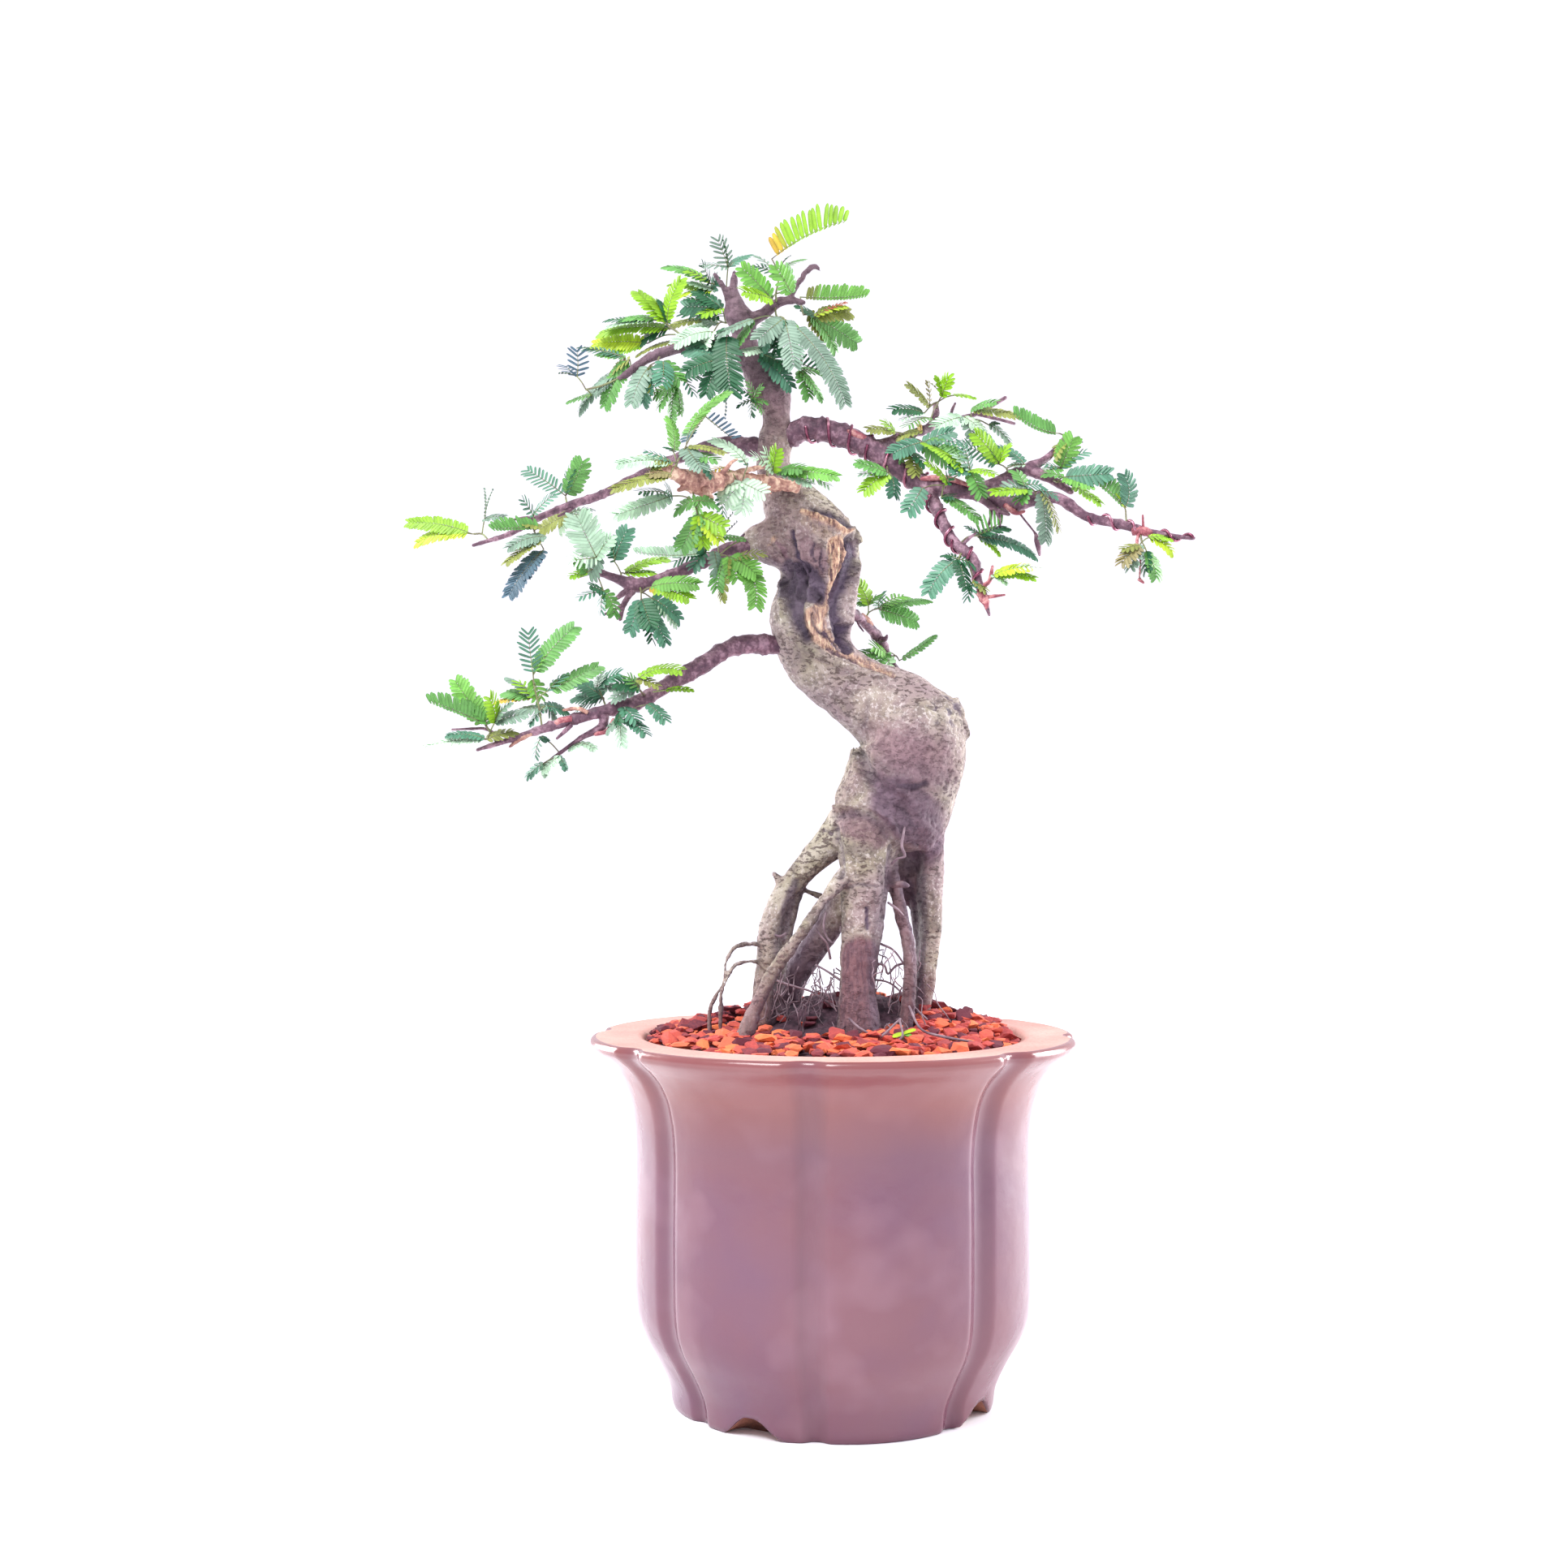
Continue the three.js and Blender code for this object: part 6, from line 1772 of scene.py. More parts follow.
SPRAYS: dict[str, Spray] = {
    "leaves_apex_left": Spray(((900, 368, 0), (895, 356, 6), (884, 352, 9)), (
        Leaf(1, (897, 330, 7), (P(885, 297, 4, 25, GREY_SHEEN, COMB), P(917, 316, 11, 16, TEAL),
            P(891, 297, 4, 8, DARK, CLUB), P(870, 326, 5, 14, GREY_SHEEN, COMB))),
        Leaf(2, (874, 349, 11), (P(824, 329, 14, 16, GREEN), P(867, 329, 5, 13, DARK, COMB),
            P(849, 334, 10, 13, LIME, COMB))),
        Leaf(2, (878, 357, 12), (P(830, 350, 20, 16, LIME), P(846, 361, 14, 15, YELLOW),
            P(882, 345, 9, 16, TEAL), P(856, 349, 12, 12, MINT))),
    )),
    "leaves_apex_top": Spray(((957, 375, -2), (956, 362, -7), (959, 346, -6), (957, 332, -5)), (
        Leaf(3, (951, 319, -5), (P(1042, 272, -12, 32, LIME, FEATHER, 0.05, GOLD),)),
        Leaf(3, (961, 331, -3), (P(986, 320, 6, 12, GREEN, COMB), P(973, 316, 2, 8, DARK, CLUB))),
        Leaf(3, (956, 338, -3), (P(930, 328, -2, 17, DARK, COMB), P(937, 318, 0, 13, GREY_SHEEN, COMB))),
        Leaf(1, (951, 369, -11), (P(916, 332, -16, 28, FRESH), P(918, 360, -22, 22, LIME),
            P(928, 344, -10, 16, GREEN, COMB))),
        Leaf(1, (975, 361, -11), (P(957, 331, -16, 27, FRESH), P(969, 332, -12, 18, GREEN))),
    )),
    "leaves_apex_right": Spray(((986, 372, -3), (988, 381, 2), (990, 388, 5)), (
        Leaf(1, (986, 366, 5), (P(1067, 364, 14, 20, FRESH, UPPER, -0.03, OLIVE),)),
        Leaf(2, (1004, 390, 7), (P(1044, 385, 10, 25, OLIVE), P(1040, 373, 8, 8, RED, COMB),
            P(1037, 378, 8, 12, YELLOW), P(985, 378, 6, 12, DARK))),
        Leaf(2, (996, 387, 9), (P(1054, 422, 20, 30, GREEN), P(1018, 411, 12, 26, OLIVE),
            P(1028, 430, 14, 18, GREEN))),
    )),
    "leaves_crown_hanging": Spray(((955, 378, -2), (958, 391, -10), (974, 400, -13), (988, 446, -12)), (
        Leaf(1, (966, 392, -14), (P(978, 450, -24, 30, GREY_SHEEN), P(936, 417, -22, 28, GREY_SHEEN),
            P(957, 432, -14, 20, DARK), P(939, 431, -16, 16, TEAL))),
        Leaf(2, (975, 398, -16), (P(1041, 497, -30, 27, GREY_SHEEN, FULL, 0.05), P(988, 410, -10, 14, GREEN))),
        Leaf(1, (930, 393, -16), (P(889, 411, -18, 14, GREY_SHEEN), P(908, 424, -16, 13, GREEN))),
        Leaf(3, (982, 445, -11), (P(1016, 458, -12, 20, DARK, RAKE),)),
        Leaf(3, (985, 457, -11), (P(996, 486, -12, 21, GREEN), P(1011, 490, -10, 12, GREEN),
            P(1013, 461, -6, 14, GREEN), P(1001, 472, -8, 11, OLIVE))),
    )),
    "leaves_crown_centre": Spray(((926, 436, 0), (943, 434, -9)), (
        Leaf(1, (947, 430, -10), (P(920, 434, -18, 16, PALE_SHEEN), P(955, 413, -10, 20, TEAL))),
        Leaf(1, (937, 436, -10), (P(973, 475, -12, 25, TEAL), P(962, 450, -12, 20, DARK))),
    )),
    "leaves_trunk_tuft": Spray(((944, 488, -5), (932, 486, -12)), (
        Leaf(1, (928, 492, -13), (P(914, 481, -16, 11, DARK, COMB), P(923, 474, -15, 10, GREEN, COMB),
            P(937, 478, -15, 10, GREEN, COMB))),
        Leaf(1, (928, 493, -13), (P(942, 495, -13, 10, GREEN, COMB), P(911, 499, -12, 9, DARK, COMB),
            P(926, 510, -13, 11, DARK, COMB), P(938, 506, -13, 9, GREEN, COMB))),
    )),
    "leaves_crown_mint": Spray(((908, 396, 0), (894, 398, 9)), (
        Leaf(1, (879, 409, -12), (P(834, 422, -17, 23, MINT), P(868, 426, -15, 16, PALE_SHEEN))),
        Leaf(1, (884, 399, 14), (P(842, 409, 21, 16, MINT), P(866, 394, 14, 15, GREY_SHEEN))),
        Leaf(1, (890, 380, 7), (P(846, 378, 7, 28, TEAL), P(862, 361, 8, 20, DARK),
            P(868, 386, 3, 18, LIME), P(850, 368, 6, 16, DARK, COMB))),
        Leaf(1, (867, 393, 10), (P(829, 401, 8, 14, OLIVE), P(842, 387, 8, 14, DARK, COMB),
            P(884, 390, 6, 13, DARK))),
    )),
    "leaves_crown_dark": Spray(((912, 430, 0), (904, 436, -13), (890, 438, -16)), (
        Leaf(1, (896, 410, -16), (P(901, 484, -28, 39, DARK), P(880, 412, -10, 20, DARK))),
        Leaf(2, (888, 444, -19), (P(871, 484, -24, 27, DARK), P(848, 457, -26, 26, DARK),
            P(849, 432, -16, 22, TEAL))),
        Leaf(2, (884, 428, -15), (P(856, 421, -12, 18, DARK), P(862, 440, -14, 22, DARK))),
        Leaf(1, (893, 482, -24), (P(893, 515, -26, 5, BLUE, CLUB),)),
    )),
    "leaves_crown_lime": Spray(((850, 426, -9), (838, 412, -6), (824, 402, -4)), (
        Leaf(2, (822, 398, -4), (P(787, 362, -1, 21, LIME), P(838, 347, -8, 21, LIME),
            P(806, 372, -3, 17, LIME), P(815, 374, -2, 10, DARK))),
        Leaf(2, (812, 395, -1), (P(769, 393, 3, 13, GREEN), P(751, 394, 6, 13, DARK, COMB),
            P(751, 402, 5, 11, MINT))),
        Leaf(1, (826, 405, -1), (P(741, 411, 10, 19, LIME), P(790, 421, 6, 19, DARK),
            P(797, 408, 4, 12, LIME))),
        Leaf(1, (798, 423, 4), (P(734, 424, 14, 25, YELLOW), P(756, 434, 12, 20, LIME))),
        Leaf(1, (838, 421, -2), (P(787, 437, 4, 9, OLIVE),)),
    )),
    "leaves_crown_left_end": Spray(((778, 456, -13), (762, 466, -12), (742, 475, -12), (722, 480, -12)), (
        Leaf(1, (763, 460, -10), (P(716, 504, -4, 19, GREY_SHEEN), P(737, 472, -6, 16, GREY_SHEEN))),
        Leaf(0, (776, 443, -12), (P(746, 498, -9, 25, GREEN), P(756, 455, -8, 16, OLIVE),
            P(759, 480, -8, 10, GREEN))),
        Leaf(3, (729, 487, -9), (P(703, 494, -4, 10, GREEN),)),
        Leaf(3, (711, 464, -12), (P(711, 433, -12, 27, BLUE, COMB), P(697, 452, -7, 16, BLUE, COMB),
            P(690, 460, -10, 7, DARK, CLUB))),
        Leaf(1, (770, 441, -10), (P(726, 430, -7, 15, TEAL, COMB), P(742, 436, -8, 13, GREEN),
            P(716, 428, -6, 9, DARK, COMB))),
    )),
    "leaves_crown_left_low": Spray(((814, 437, -11), (812, 446, -15), (832, 462, -14), (832, 488, -14)), (
        Leaf(1, (801, 450, -16), (P(779, 495, -18, 26, GREY_SHEEN), P(793, 494, -12, 22, TEAL),
            P(805, 481, -14, 14, OLIVE, COMB))),
        Leaf(1, (817, 446, -17), (P(816, 471, -24, 28, TEAL), P(836, 467, -18, 25, GREEN))),
        Leaf(2, (840, 465, -15), (P(853, 483, -16, 13, TEAL, COMB), P(859, 464, -14, 16, DARK, COMB))),
        Leaf(3, (833, 474, -14), (P(811, 484, -12, 20, GREEN), P(814, 499, -14, 15, GREEN),
            P(828, 516, -16, 14, GREEN), P(838, 507, -14, 10, GREEN))),
    )),
    "leaves_front_end": Spray(((834, 583, -52), (834, 571, -54), (842, 556, -52)), (
        Leaf(2, (845, 551, -50), (P(894, 485, -38, 17, FRESH, FULL, 0.14, BLUE),
            P(863, 576, -60, 27, GREY_SHEEN), P(890, 558, -54, 9, OLIVE))),
        Leaf(2, (852, 560, -52), (P(879, 566, -56, 17, GREEN), P(875, 585, -55, 11, TEAL))),
        Leaf(2, (869, 513, -44), (P(902, 540, -38, 15, BLUE, RAKE),)),
        Leaf(1, (830, 557, -54), (P(827, 521, -50, 16, FRESH), P(822, 552, -50, 8, DARK))),
        Leaf(1, (827, 570, -57), (P(764, 572, -66, 19, MINT), P(790, 565, -60, 15, OLIVE),
            P(798, 557, -60, 9, TEAL, COMB), P(806, 576, -60, 12, OLIVE))),
        Leaf(1, (826, 585, -62), (P(758, 602, -72, 18, OLIVE), P(804, 584, -66, 14, BROWN))),
    )),
    "leaves_front_low": Spray(((854, 604, -45), (855, 616, -50), (860, 634, -52)), (
        Leaf(1, (828, 611, -52), (P(761, 634, -64, 25, MINT, FULL, 0.06),
            P(790, 606, -62, 13, TEAL, COMB), P(822, 603, -58, 11, TEAL, COMB))),
        Leaf(1, (862, 617, -53), (P(836, 627, -50, 20, GREEN), P(878, 620, -50, 20, GREEN),
            P(858, 636, -50, 17, FRESH))),
        Leaf(2, (862, 636, -53), (P(841, 674, -56, 28, GREEN), P(890, 649, -54, 27, LIME),
            P(866, 670, -55, 26, LIME), P(850, 658, -54, 22, GREEN), P(884, 664, -54, 20, YELLOW))),
    )),
    "leaves_front_mint": Spray(((916, 591, -28), (913, 601, -33)), (
        Leaf(1, (914, 595, -34), (P(894, 618, -38, 28, PALE_SHEEN), P(939, 607, -36, 28, PALE_SHEEN),
            P(914, 627, -36, 27, PALE_SHEEN), P(889, 604, -36, 17, PALE_SHEEN))),
        Leaf(1, (884, 600, -34), (P(891, 636, -36, 13, DARK, COMB),)),
        Leaf(1, (921, 574, -36), (P(882, 543, -34, 17, PALE_SHEEN), P(904, 560, -36, 9, TEAL, COMB))),
        Leaf(1, (897, 577, -34), (P(878, 580, -36, 10, GOLD, COMB),)),
    )),
    "leaves_front_right": Spray(((946, 594, -16), (945, 581, -22)), (
        Leaf(1, (960, 580, -23), (P(1029, 587, -30, 19, FRESH), P(1020, 598, -28, 13, PALE_SHEEN, COMB),
            P(985, 578, -30, 18, GREEN), P(996, 595, -28, 16, MINT))),
        Leaf(1, (953, 582, -25), (P(957, 557, -30, 20, LIME), P(943, 559, -30, 14, PALE_SHEEN, COMB),
            P(930, 563, -32, 14, PALE_SHEEN, COMB))),
    )),
    "leaves_second_near": Spray(((890, 681, -10), (886, 684, -19)), (
        Leaf(1, (868, 681, -21), (P(783, 680, -34, 13, MINT, UPPER, 0.05), P(837, 670, -24, 26, DARK),
            P(834, 691, -22, 18, DARK, COMB), P(856, 697, -22, 22, TEAL), P(864, 661, -26, 20, DARK))),
        Leaf(1, (880, 680, -21), (P(884, 704, -22, 20, GREY_SHEEN),)),
        Leaf(1, (898, 686, -20), (P(931, 746, -30, 27, FRESH, FULL, 0.16), P(884, 723, -24, 25, GREEN),
            P(890, 736, -24, 15, OLIVE), P(930, 706, -26, 27, FRESH), P(908, 712, -26, 28, FRESH))),
        Leaf(1, (903, 688, -20), (P(938, 682, -22, 15, OLIVE, COMB),)),
        Leaf(1, (918, 665, -14), (P(892, 662, -18, 10, GREEN),)),
        Leaf(1, (884, 670, -18), (P(903, 632, -24, 4, DARK, CLUB), P(908, 643, -24, 4, DARK, CLUB))),
    )),
    "leaves_second_mid": Spray(((766, 716, -21), (765, 706, -18)), (
        Leaf(1, (770, 707, -16), (P(819, 689, -11, 14, LIME, FULL, 0.12), P(804, 706, -13, 12, LIME))),
        Leaf(1, (757, 692, -18), (P(772, 655, -20, 27, TEAL), P(752, 668, -24, 15, DARK, COMB))),
    )),
    "leaves_second_end": Spray(((738, 705, -24), (731, 701, -28)), (
        Leaf(1, (735, 687, -29), (P(713, 641, -38, 44, MINT), P(707, 690, -34, 26, PALE_SHEEN, COMB),
            P(751, 664, -32, 22, MINT))),
        Leaf(1, (739, 686, -29), (P(728, 706, -28, 26, GREY_SHEEN),)),
        Leaf(1, (723, 706, -30), (P(706, 709, -32, 12, LIME), P(713, 695, -32, 13, GREEN))),
        Leaf(1, (744, 729, -30), (P(717, 735, -34, 13, TEAL, COMB), P(730, 723, -34, 11, DARK),
            P(756, 755, -30, 18, GREEN, FULL, 0.1), P(741, 752, -31, 13, TEAL, COMB))),
    )),
    "leaves_second_low": Spray(((788, 721, -20), (790, 730, -25)), (
        Leaf(1, (799, 724, -28), (P(847, 737, -38, 20, LIME, FULL, 0.0, GOLD),
            P(857, 720, -36, 22, FRESH))),
        Leaf(1, (790, 737, -26), (P(777, 776, -26, 26, TEAL), P(801, 769, -34, 30, DARK),
            P(819, 790, -32, 21, TEAL), P(803, 787, -30, 18, DARK, COMB))),
        Leaf(1, (800, 735, -24), (P(835, 761, -20, 24, TEAL), P(832, 769, -22, 11, MINT, COMB))),
    )),
    "leaves_upper_vee": Spray(((699, 625, 34), (697, 613, 38)), (
        Leaf(1, (697, 611, 38), (P(651, 580, 42, 24, TEAL, COMB), P(717, 571, 35, 30, GREEN),
            P(704, 576, 38, 17, DARK, COMB))),
        Leaf(1, (702, 633, 42), (P(729, 641, 49, 22, PALE_SHEEN), P(668, 651, 48, 22, OLIVE),
            P(690, 649, 46, 22, PALE_SHEEN), P(727, 627, 44, 10, GREY_SHEEN, COMB))),
    )),
    "leaves_upper_mid": Spray(((655, 643, 38), (658, 654, 32), (664, 668, 27)), (
        Leaf(1, (657, 636, 30), (P(682, 610, 26, 15, TEAL, COMB), P(646, 618, 26, 13, TEAL, COMB))),
        Leaf(1, (667, 650, 28), (P(608, 652, 22, 17, GREEN, UPPER), P(650, 645, 26, 12, OLIVE))),
        Leaf(2, (672, 661, 26), (P(629, 674, 20, 18, GREY_SHEEN), P(626, 692, 18, 15, OLIVE),
            P(650, 668, 22, 16, GREY_SHEEN))),
        Leaf(2, (670, 677, 25), (P(628, 732, 16, 25, BLUE), P(646, 708, 18, 20, BLUE))),
    )),
    "leaves_far_left": Spray(((602, 666, 43), (594, 658, 48), (584, 658, 49)), (
        Leaf(2, (582, 658, 50), (P(505, 644, 56, 22, LIME, FULL, -0.04),
            P(516, 668, 53, 19, YELLOW, FULL, -0.05))),
        Leaf(1, (597, 640, 48), (P(597, 603, 49, 7, GREY_SHEEN, CLUB), P(607, 604, 45, 7, GREY_SHEEN, CLUB),
            P(619, 637, 44, 11, GREY_SHEEN))),
    )),
    "leaves_lower_vee": Spray(((668, 898, -37), (665, 876, -35), (662, 862, -34), (658, 845, -34)), (
        Leaf(3, (657, 832, -34), (P(651, 781, -37, 29, TEAL, COMB), P(706, 774, -32, 28, GREEN),
            P(671, 796, -30, 18, FRESH, COMB))),
        Leaf(2, (658, 860, -32), (P(626, 853, -26, 17, GREEN), P(612, 865, -28, 8, GOLD),
            P(641, 842, -30, 16, LIME, COMB), P(627, 837, -27, 9, GREY_SHEEN))),
        Leaf(3, (656, 838, -32), (P(665, 858, -32, 22, FRESH),)),
        Leaf(2, (674, 852, -33), (P(735, 822, -28, 23, GREEN), P(692, 834, -30, 14, TEAL, COMB))),
        Leaf(1, (672, 870, -32), (P(696, 876, -26, 14, TEAL), P(640, 878, -34, 14, GREY_SHEEN),
            P(684, 884, -28, 13, GREY_SHEEN), P(655, 890, -34, 12, TEAL))),
    )),
    "leaves_lower_far": Spray(((612, 916, -42), (604, 902, -46), (598, 893, -47)), (
        Leaf(2, (600, 893, -47), (P(530, 864, -52, 20, GREEN, UPPER), P(563, 841, -44, 30, FRESH),
            P(584, 866, -46, 20, GREEN))),
        Leaf(1, (610, 890, -48), (P(604, 862, -54, 16, LIME), P(644, 880, -50, 18, GREY_SHEEN),
            P(626, 868, -50, 12, GREY_SHEEN))),
        Leaf(1, (600, 911, -49), (P(525, 920, -54, 12, PALE_SHEEN), P(554, 906, -52, 10, TEAL),
            P(629, 902, -46, 16, OLIVE))),
    )),
    "leaves_lower_twig": Spray(((690, 928, -29), (688, 933, -32)), (
        Leaf(1, (689, 932, -33), (P(671, 947, -35, 14, MINT), P(696, 946, -33, 8, TEAL))),
        Leaf(1, (669, 941, -33), (P(653, 954, -33, 14, TEAL), P(672, 954, -33, 8, MINT))),
        Leaf(0, (716, 916, -30), (P(731, 922, -31, 9, MINT), P(704, 922, -31, 8, MINT))),
        Leaf(0, (667, 908, -32), (P(660, 931, -33, 13, TEAL, COMB), P(672, 912, -33, 7, TEAL))),
    )),
    "leaves_lower_teal": Spray(((748, 875, -28), (744, 864, -23)), (
        Leaf(1, (744, 860, -22), (P(712, 859, -15, 18, TEAL), P(716, 842, -17, 20, TEAL),
            P(716, 870, -18, 14, GREY_SHEEN, COMB))),
        Leaf(1, (736, 846, -23), (P(760, 831, -26, 17, TEAL), P(738, 836, -22, 15, GREY_SHEEN),
            P(768, 850, -26, 13, GREY_SHEEN))),
    )),
    "leaves_lower_crescent": Spray(((796, 859, -22), (788, 850, -30)), (
        Leaf(1, (788, 848, -31), (P(762, 842, -35, 20, DARK), P(758, 860, -33, 16, GREY_SHEEN),
            P(776, 836, -32, 16, GREEN, COMB))),
        Leaf(1, (784, 838, -32), (P(837, 826, -35, 14, LIME, FULL, 0.16), P(808, 844, -34, 12, OLIVE))),
    )),
    "leaves_lower_under": Spray(((766, 871, -26), (765, 882, -32)), (
        Leaf(1, (766, 886, -33), (P(794, 903, -39, 14, TEAL), P(766, 916, -33, 18, MINT),
            P(750, 898, -32, 13, GREY_SHEEN))),
        Leaf(1, (768, 872, -33), (P(782, 886, -37, 20, TEAL), P(762, 890, -36, 13, DARK))),
        Leaf(1, (798, 868, -33), (P(818, 886, -36, 17, TEAL),)),
        Leaf(0, (822, 850, -22), (P(851, 850, -24, 8, LIME),)),
    )),
    "leaves_right_tall": Spray(((1153, 506, 9), (1156, 495, 5)), (
        Leaf(1, (1145, 501, 3), (P(1121, 476, -2, 13, OLIVE), P(1143, 472, 2, 8, BROWN, COMB))),
        Leaf(1, (1139, 509, 1), (P(1103, 505, -4, 17, DARK), P(1112, 517, -6, 9, MINT, COMB))),
        Leaf(1, (1147, 515, 0), (P(1120, 524, -8, 15, GREEN, COMB),)),
        Leaf(1, (1161, 488, 3), (P(1168, 467, 0, 17, LIME), P(1156, 469, 2, 11, LIME),
            P(1145, 471, 2, 4, OLIVE, CLUB))),
        Leaf(1, (1176, 487, 6), (P(1199, 490, 8, 7, LIME),)),
    )),
    "leaves_right_twig": Spray(((1196, 512, 14), (1196, 516, 7)), (
        Leaf(1, (1197, 505, 6), (P(1253, 512, 4, 15, OLIVE, FULL, -0.1), P(1224, 496, 0, 12, GREEN))),
        Leaf(1, (1188, 514, 4), (P(1200, 543, 0, 19, GREY_SHEEN), P(1155, 525, -2, 23, MINT),
            P(1209, 531, 2, 19, PALE_SHEEN))),
        Leaf(1, (1219, 524, 6), (P(1242, 542, 6, 15, GREY_SHEEN), P(1227, 521, 6, 8, DARK, COMB))),
    )),
    "leaves_right_dark": Spray(((1122, 535, -1), (1126, 541, -8)), (
        Leaf(1, (1137, 545, -12), (P(1181, 568, -19, 35, GREEN), P(1171, 533, -14, 22, TEAL),
            P(1184, 577, -27, 15, LIME), P(1102, 558, -21, 25, TEAL), P(1189, 547, -18, 13, TEAL, COMB))),
        Leaf(1, (1120, 556, -13), (P(1128, 583, -18, 23, OLIVE), P(1137, 571, -16, 15, DARK),
            P(1110, 564, -14, 14, GREEN))),
        Leaf(1, (1135, 531, -7), (P(1109, 539, -8, 12, OLIVE), P(1133, 525, -8, 8, GOLD, COMB))),
        Leaf(1, (1102, 532, -7), (P(1073, 529, -11, 15, OLIVE), P(1092, 521, -8, 13, LIME, COMB))),
    )),
    "leaves_right_lime_low": Spray(((1092, 568, -10), (1094, 582, -19)), (
        Leaf(1, (1094, 583, -21), (P(1059, 571, -24, 17, GREEN), P(1066, 604, -26, 24, LIME),
            P(1062, 584, -24, 11, MINT, COMB))),
        Leaf(1, (1099, 587, -20), (P(1101, 608, -22, 21, TEAL),)),
    )),
    "leaves_right_mid": Spray(((1165, 603, -15), (1163, 598, -23)), (
        Leaf(1, (1136, 602, -24), (P(1120, 628, -26, 28, TEAL),)),
        Leaf(1, (1160, 613, -24), (P(1203, 639, -30, 17, GREEN), P(1172, 612, -26, 11, DARK, COMB))),
        Leaf(1, (1167, 596, -25), (P(1144, 571, -30, 12, LIME), P(1174, 576, -28, 14, DARK, COMB))),
        Leaf(1, (1195, 580, -25), (P(1223, 584, -32, 11, LIME), P(1208, 608, -28, 25, GREEN),
            P(1175, 578, -28, 19, TEAL), P(1186, 548, -26, 19, TEAL, COMB),
            P(1180, 562, -26, 16, MINT, COMB))),
    )),
    "leaves_right_striped": Spray(((1246, 587, -8), (1240, 577, -14)), (
        Leaf(1, (1231, 572, -16), (P(1203, 536, -20, 26, LIME), P(1213, 533, -14, 15, GREEN),
            P(1192, 550, -23, 26, DARK, COMB), P(1238, 553, -14, 15, LIME))),
        Leaf(1, (1263, 573, -13), (P(1231, 551, -9, 17, TEAL), P(1248, 572, -12, 10, MINT, COMB))),
    )),
    "leaves_right_fork_up": Spray(((1308, 545, 7), (1311, 537, 4)), (
        Leaf(1, (1305, 534, 3), (P(1250, 509, -1, 18, GREEN, UPPER, 0.1),)),
        Leaf(1, (1307, 578, 2), (P(1321, 542, 1, 31, FRESH), P(1335, 558, 1, 16, TEAL, COMB),
            P(1287, 580, -3, 12, GREEN), P(1286, 572, 0, 10, TEAL, COMB))),
        Leaf(1, (1310, 545, 3), (P(1300, 560, 2, 14, OLIVE), P(1333, 545, 2, 5, DARK, CLUB))),
    )),
    "leaves_right_fork_end": Spray(((1296, 591, -6), (1302, 594, -11)), (
        Leaf(1, (1310, 588, -12), (P(1364, 584, -20, 28, TEAL), P(1343, 597, -18, 20, FRESH),
            P(1290, 584, -12, 13, GREEN))),
        Leaf(1, (1320, 598, -12), (P(1353, 618, -16, 15, LIME),)),
    )),
    "leaves_right_low_fork": Spray(((1276, 614, -20), (1276, 606, -26)), (
        Leaf(1, (1266, 603, -28), (P(1226, 606, -34, 16, LIME), P(1242, 602, -30, 25, GREY_SHEEN),
            P(1258, 615, -30, 18, GREEN))),
        Leaf(1, (1262, 598, -28), (P(1254, 584, -26, 20, GREEN), P(1281, 598, -26, 18, TEAL, COMB))),
        Leaf(1, (1282, 604, -28), (P(1288, 665, -32, 23, GREY_SHEEN), P(1304, 650, -30, 14, OLIVE, COMB),
            P(1300, 611, -28, 13, TEAL, COMB))),
    )),
    "leaves_right_vee": Spray(((1388, 648, -23), (1387, 629, -21)), (
        Leaf(1, (1386, 626, -21), (P(1350, 592, -18, 20, GREEN, UPPER),
            P(1386, 587, -22, 25, TEAL, FULL, -0.12), P(1380, 612, -20, 9, YELLOW, COMB))),
    )),
    "leaves_right_tip": Spray(((1404, 653, -24), (1407, 668, -29)), (
        Leaf(1, (1404, 672, -30), (P(1384, 692, -34, 20, BROWN), P(1394, 697, -33, 17, GREY_SHEEN),
            P(1386, 676, -32, 12, OLIVE))),
        Leaf(1, (1413, 680, -30), (P(1424, 710, -32, 21, GREEN), P(1412, 701, -32, 14, DARK))),
        Leaf(1, (1416, 662, -30), (P(1442, 678, -30, 18, YELLOW), P(1440, 664, -28, 10, LIME))),
    )),
    "leaves_droop_upper": Spray(((1180, 673, -31), (1192, 662, -29), (1204, 660, -28)), (
        Leaf(2, (1207, 659, -27), (P(1234, 644, -23, 24, GREEN, RAKE), P(1237, 651, -24, 14, DARK),
            P(1194, 650, -26, 9, TEAL, COMB))),
        Leaf(2, (1205, 662, -26), (P(1272, 683, -19, 18, TEAL), P(1231, 665, -22, 19, GREY_SHEEN),
            P(1229, 679, -23, 12, LIME))),
    )),
    "leaves_droop_vee": Spray(((1186, 679, -33), (1180, 690, -38)), (
        Leaf(1, (1180, 689, -38), (P(1145, 729, -43, 27, TEAL, FULL, -0.06), P(1190, 723, -45, 21, DARK),
            P(1167, 684, -36, 12, DARK, COMB), P(1197, 694, -38, 16, DARK, COMB))),
        Leaf(0, (1200, 716, -40), (P(1193, 735, -42, 14, TEAL, COMB), P(1212, 726, -42, 12, OLIVE))),
    )),
    "leaves_droop_lime": Spray(((1219, 715, -39), (1226, 710, -42)), (
        Leaf(1, (1223, 709, -42), (P(1264, 699, -46, 15, YELLOW), P(1284, 700, -48, 9, PALE_SHEEN, COMB),
            P(1272, 712, -46, 12, LIME), P(1238, 717, -44, 9, MINT))),
    )),
    "leaves_back_upper": Spray(((1064, 767, 13), (1070, 755, 17)), (
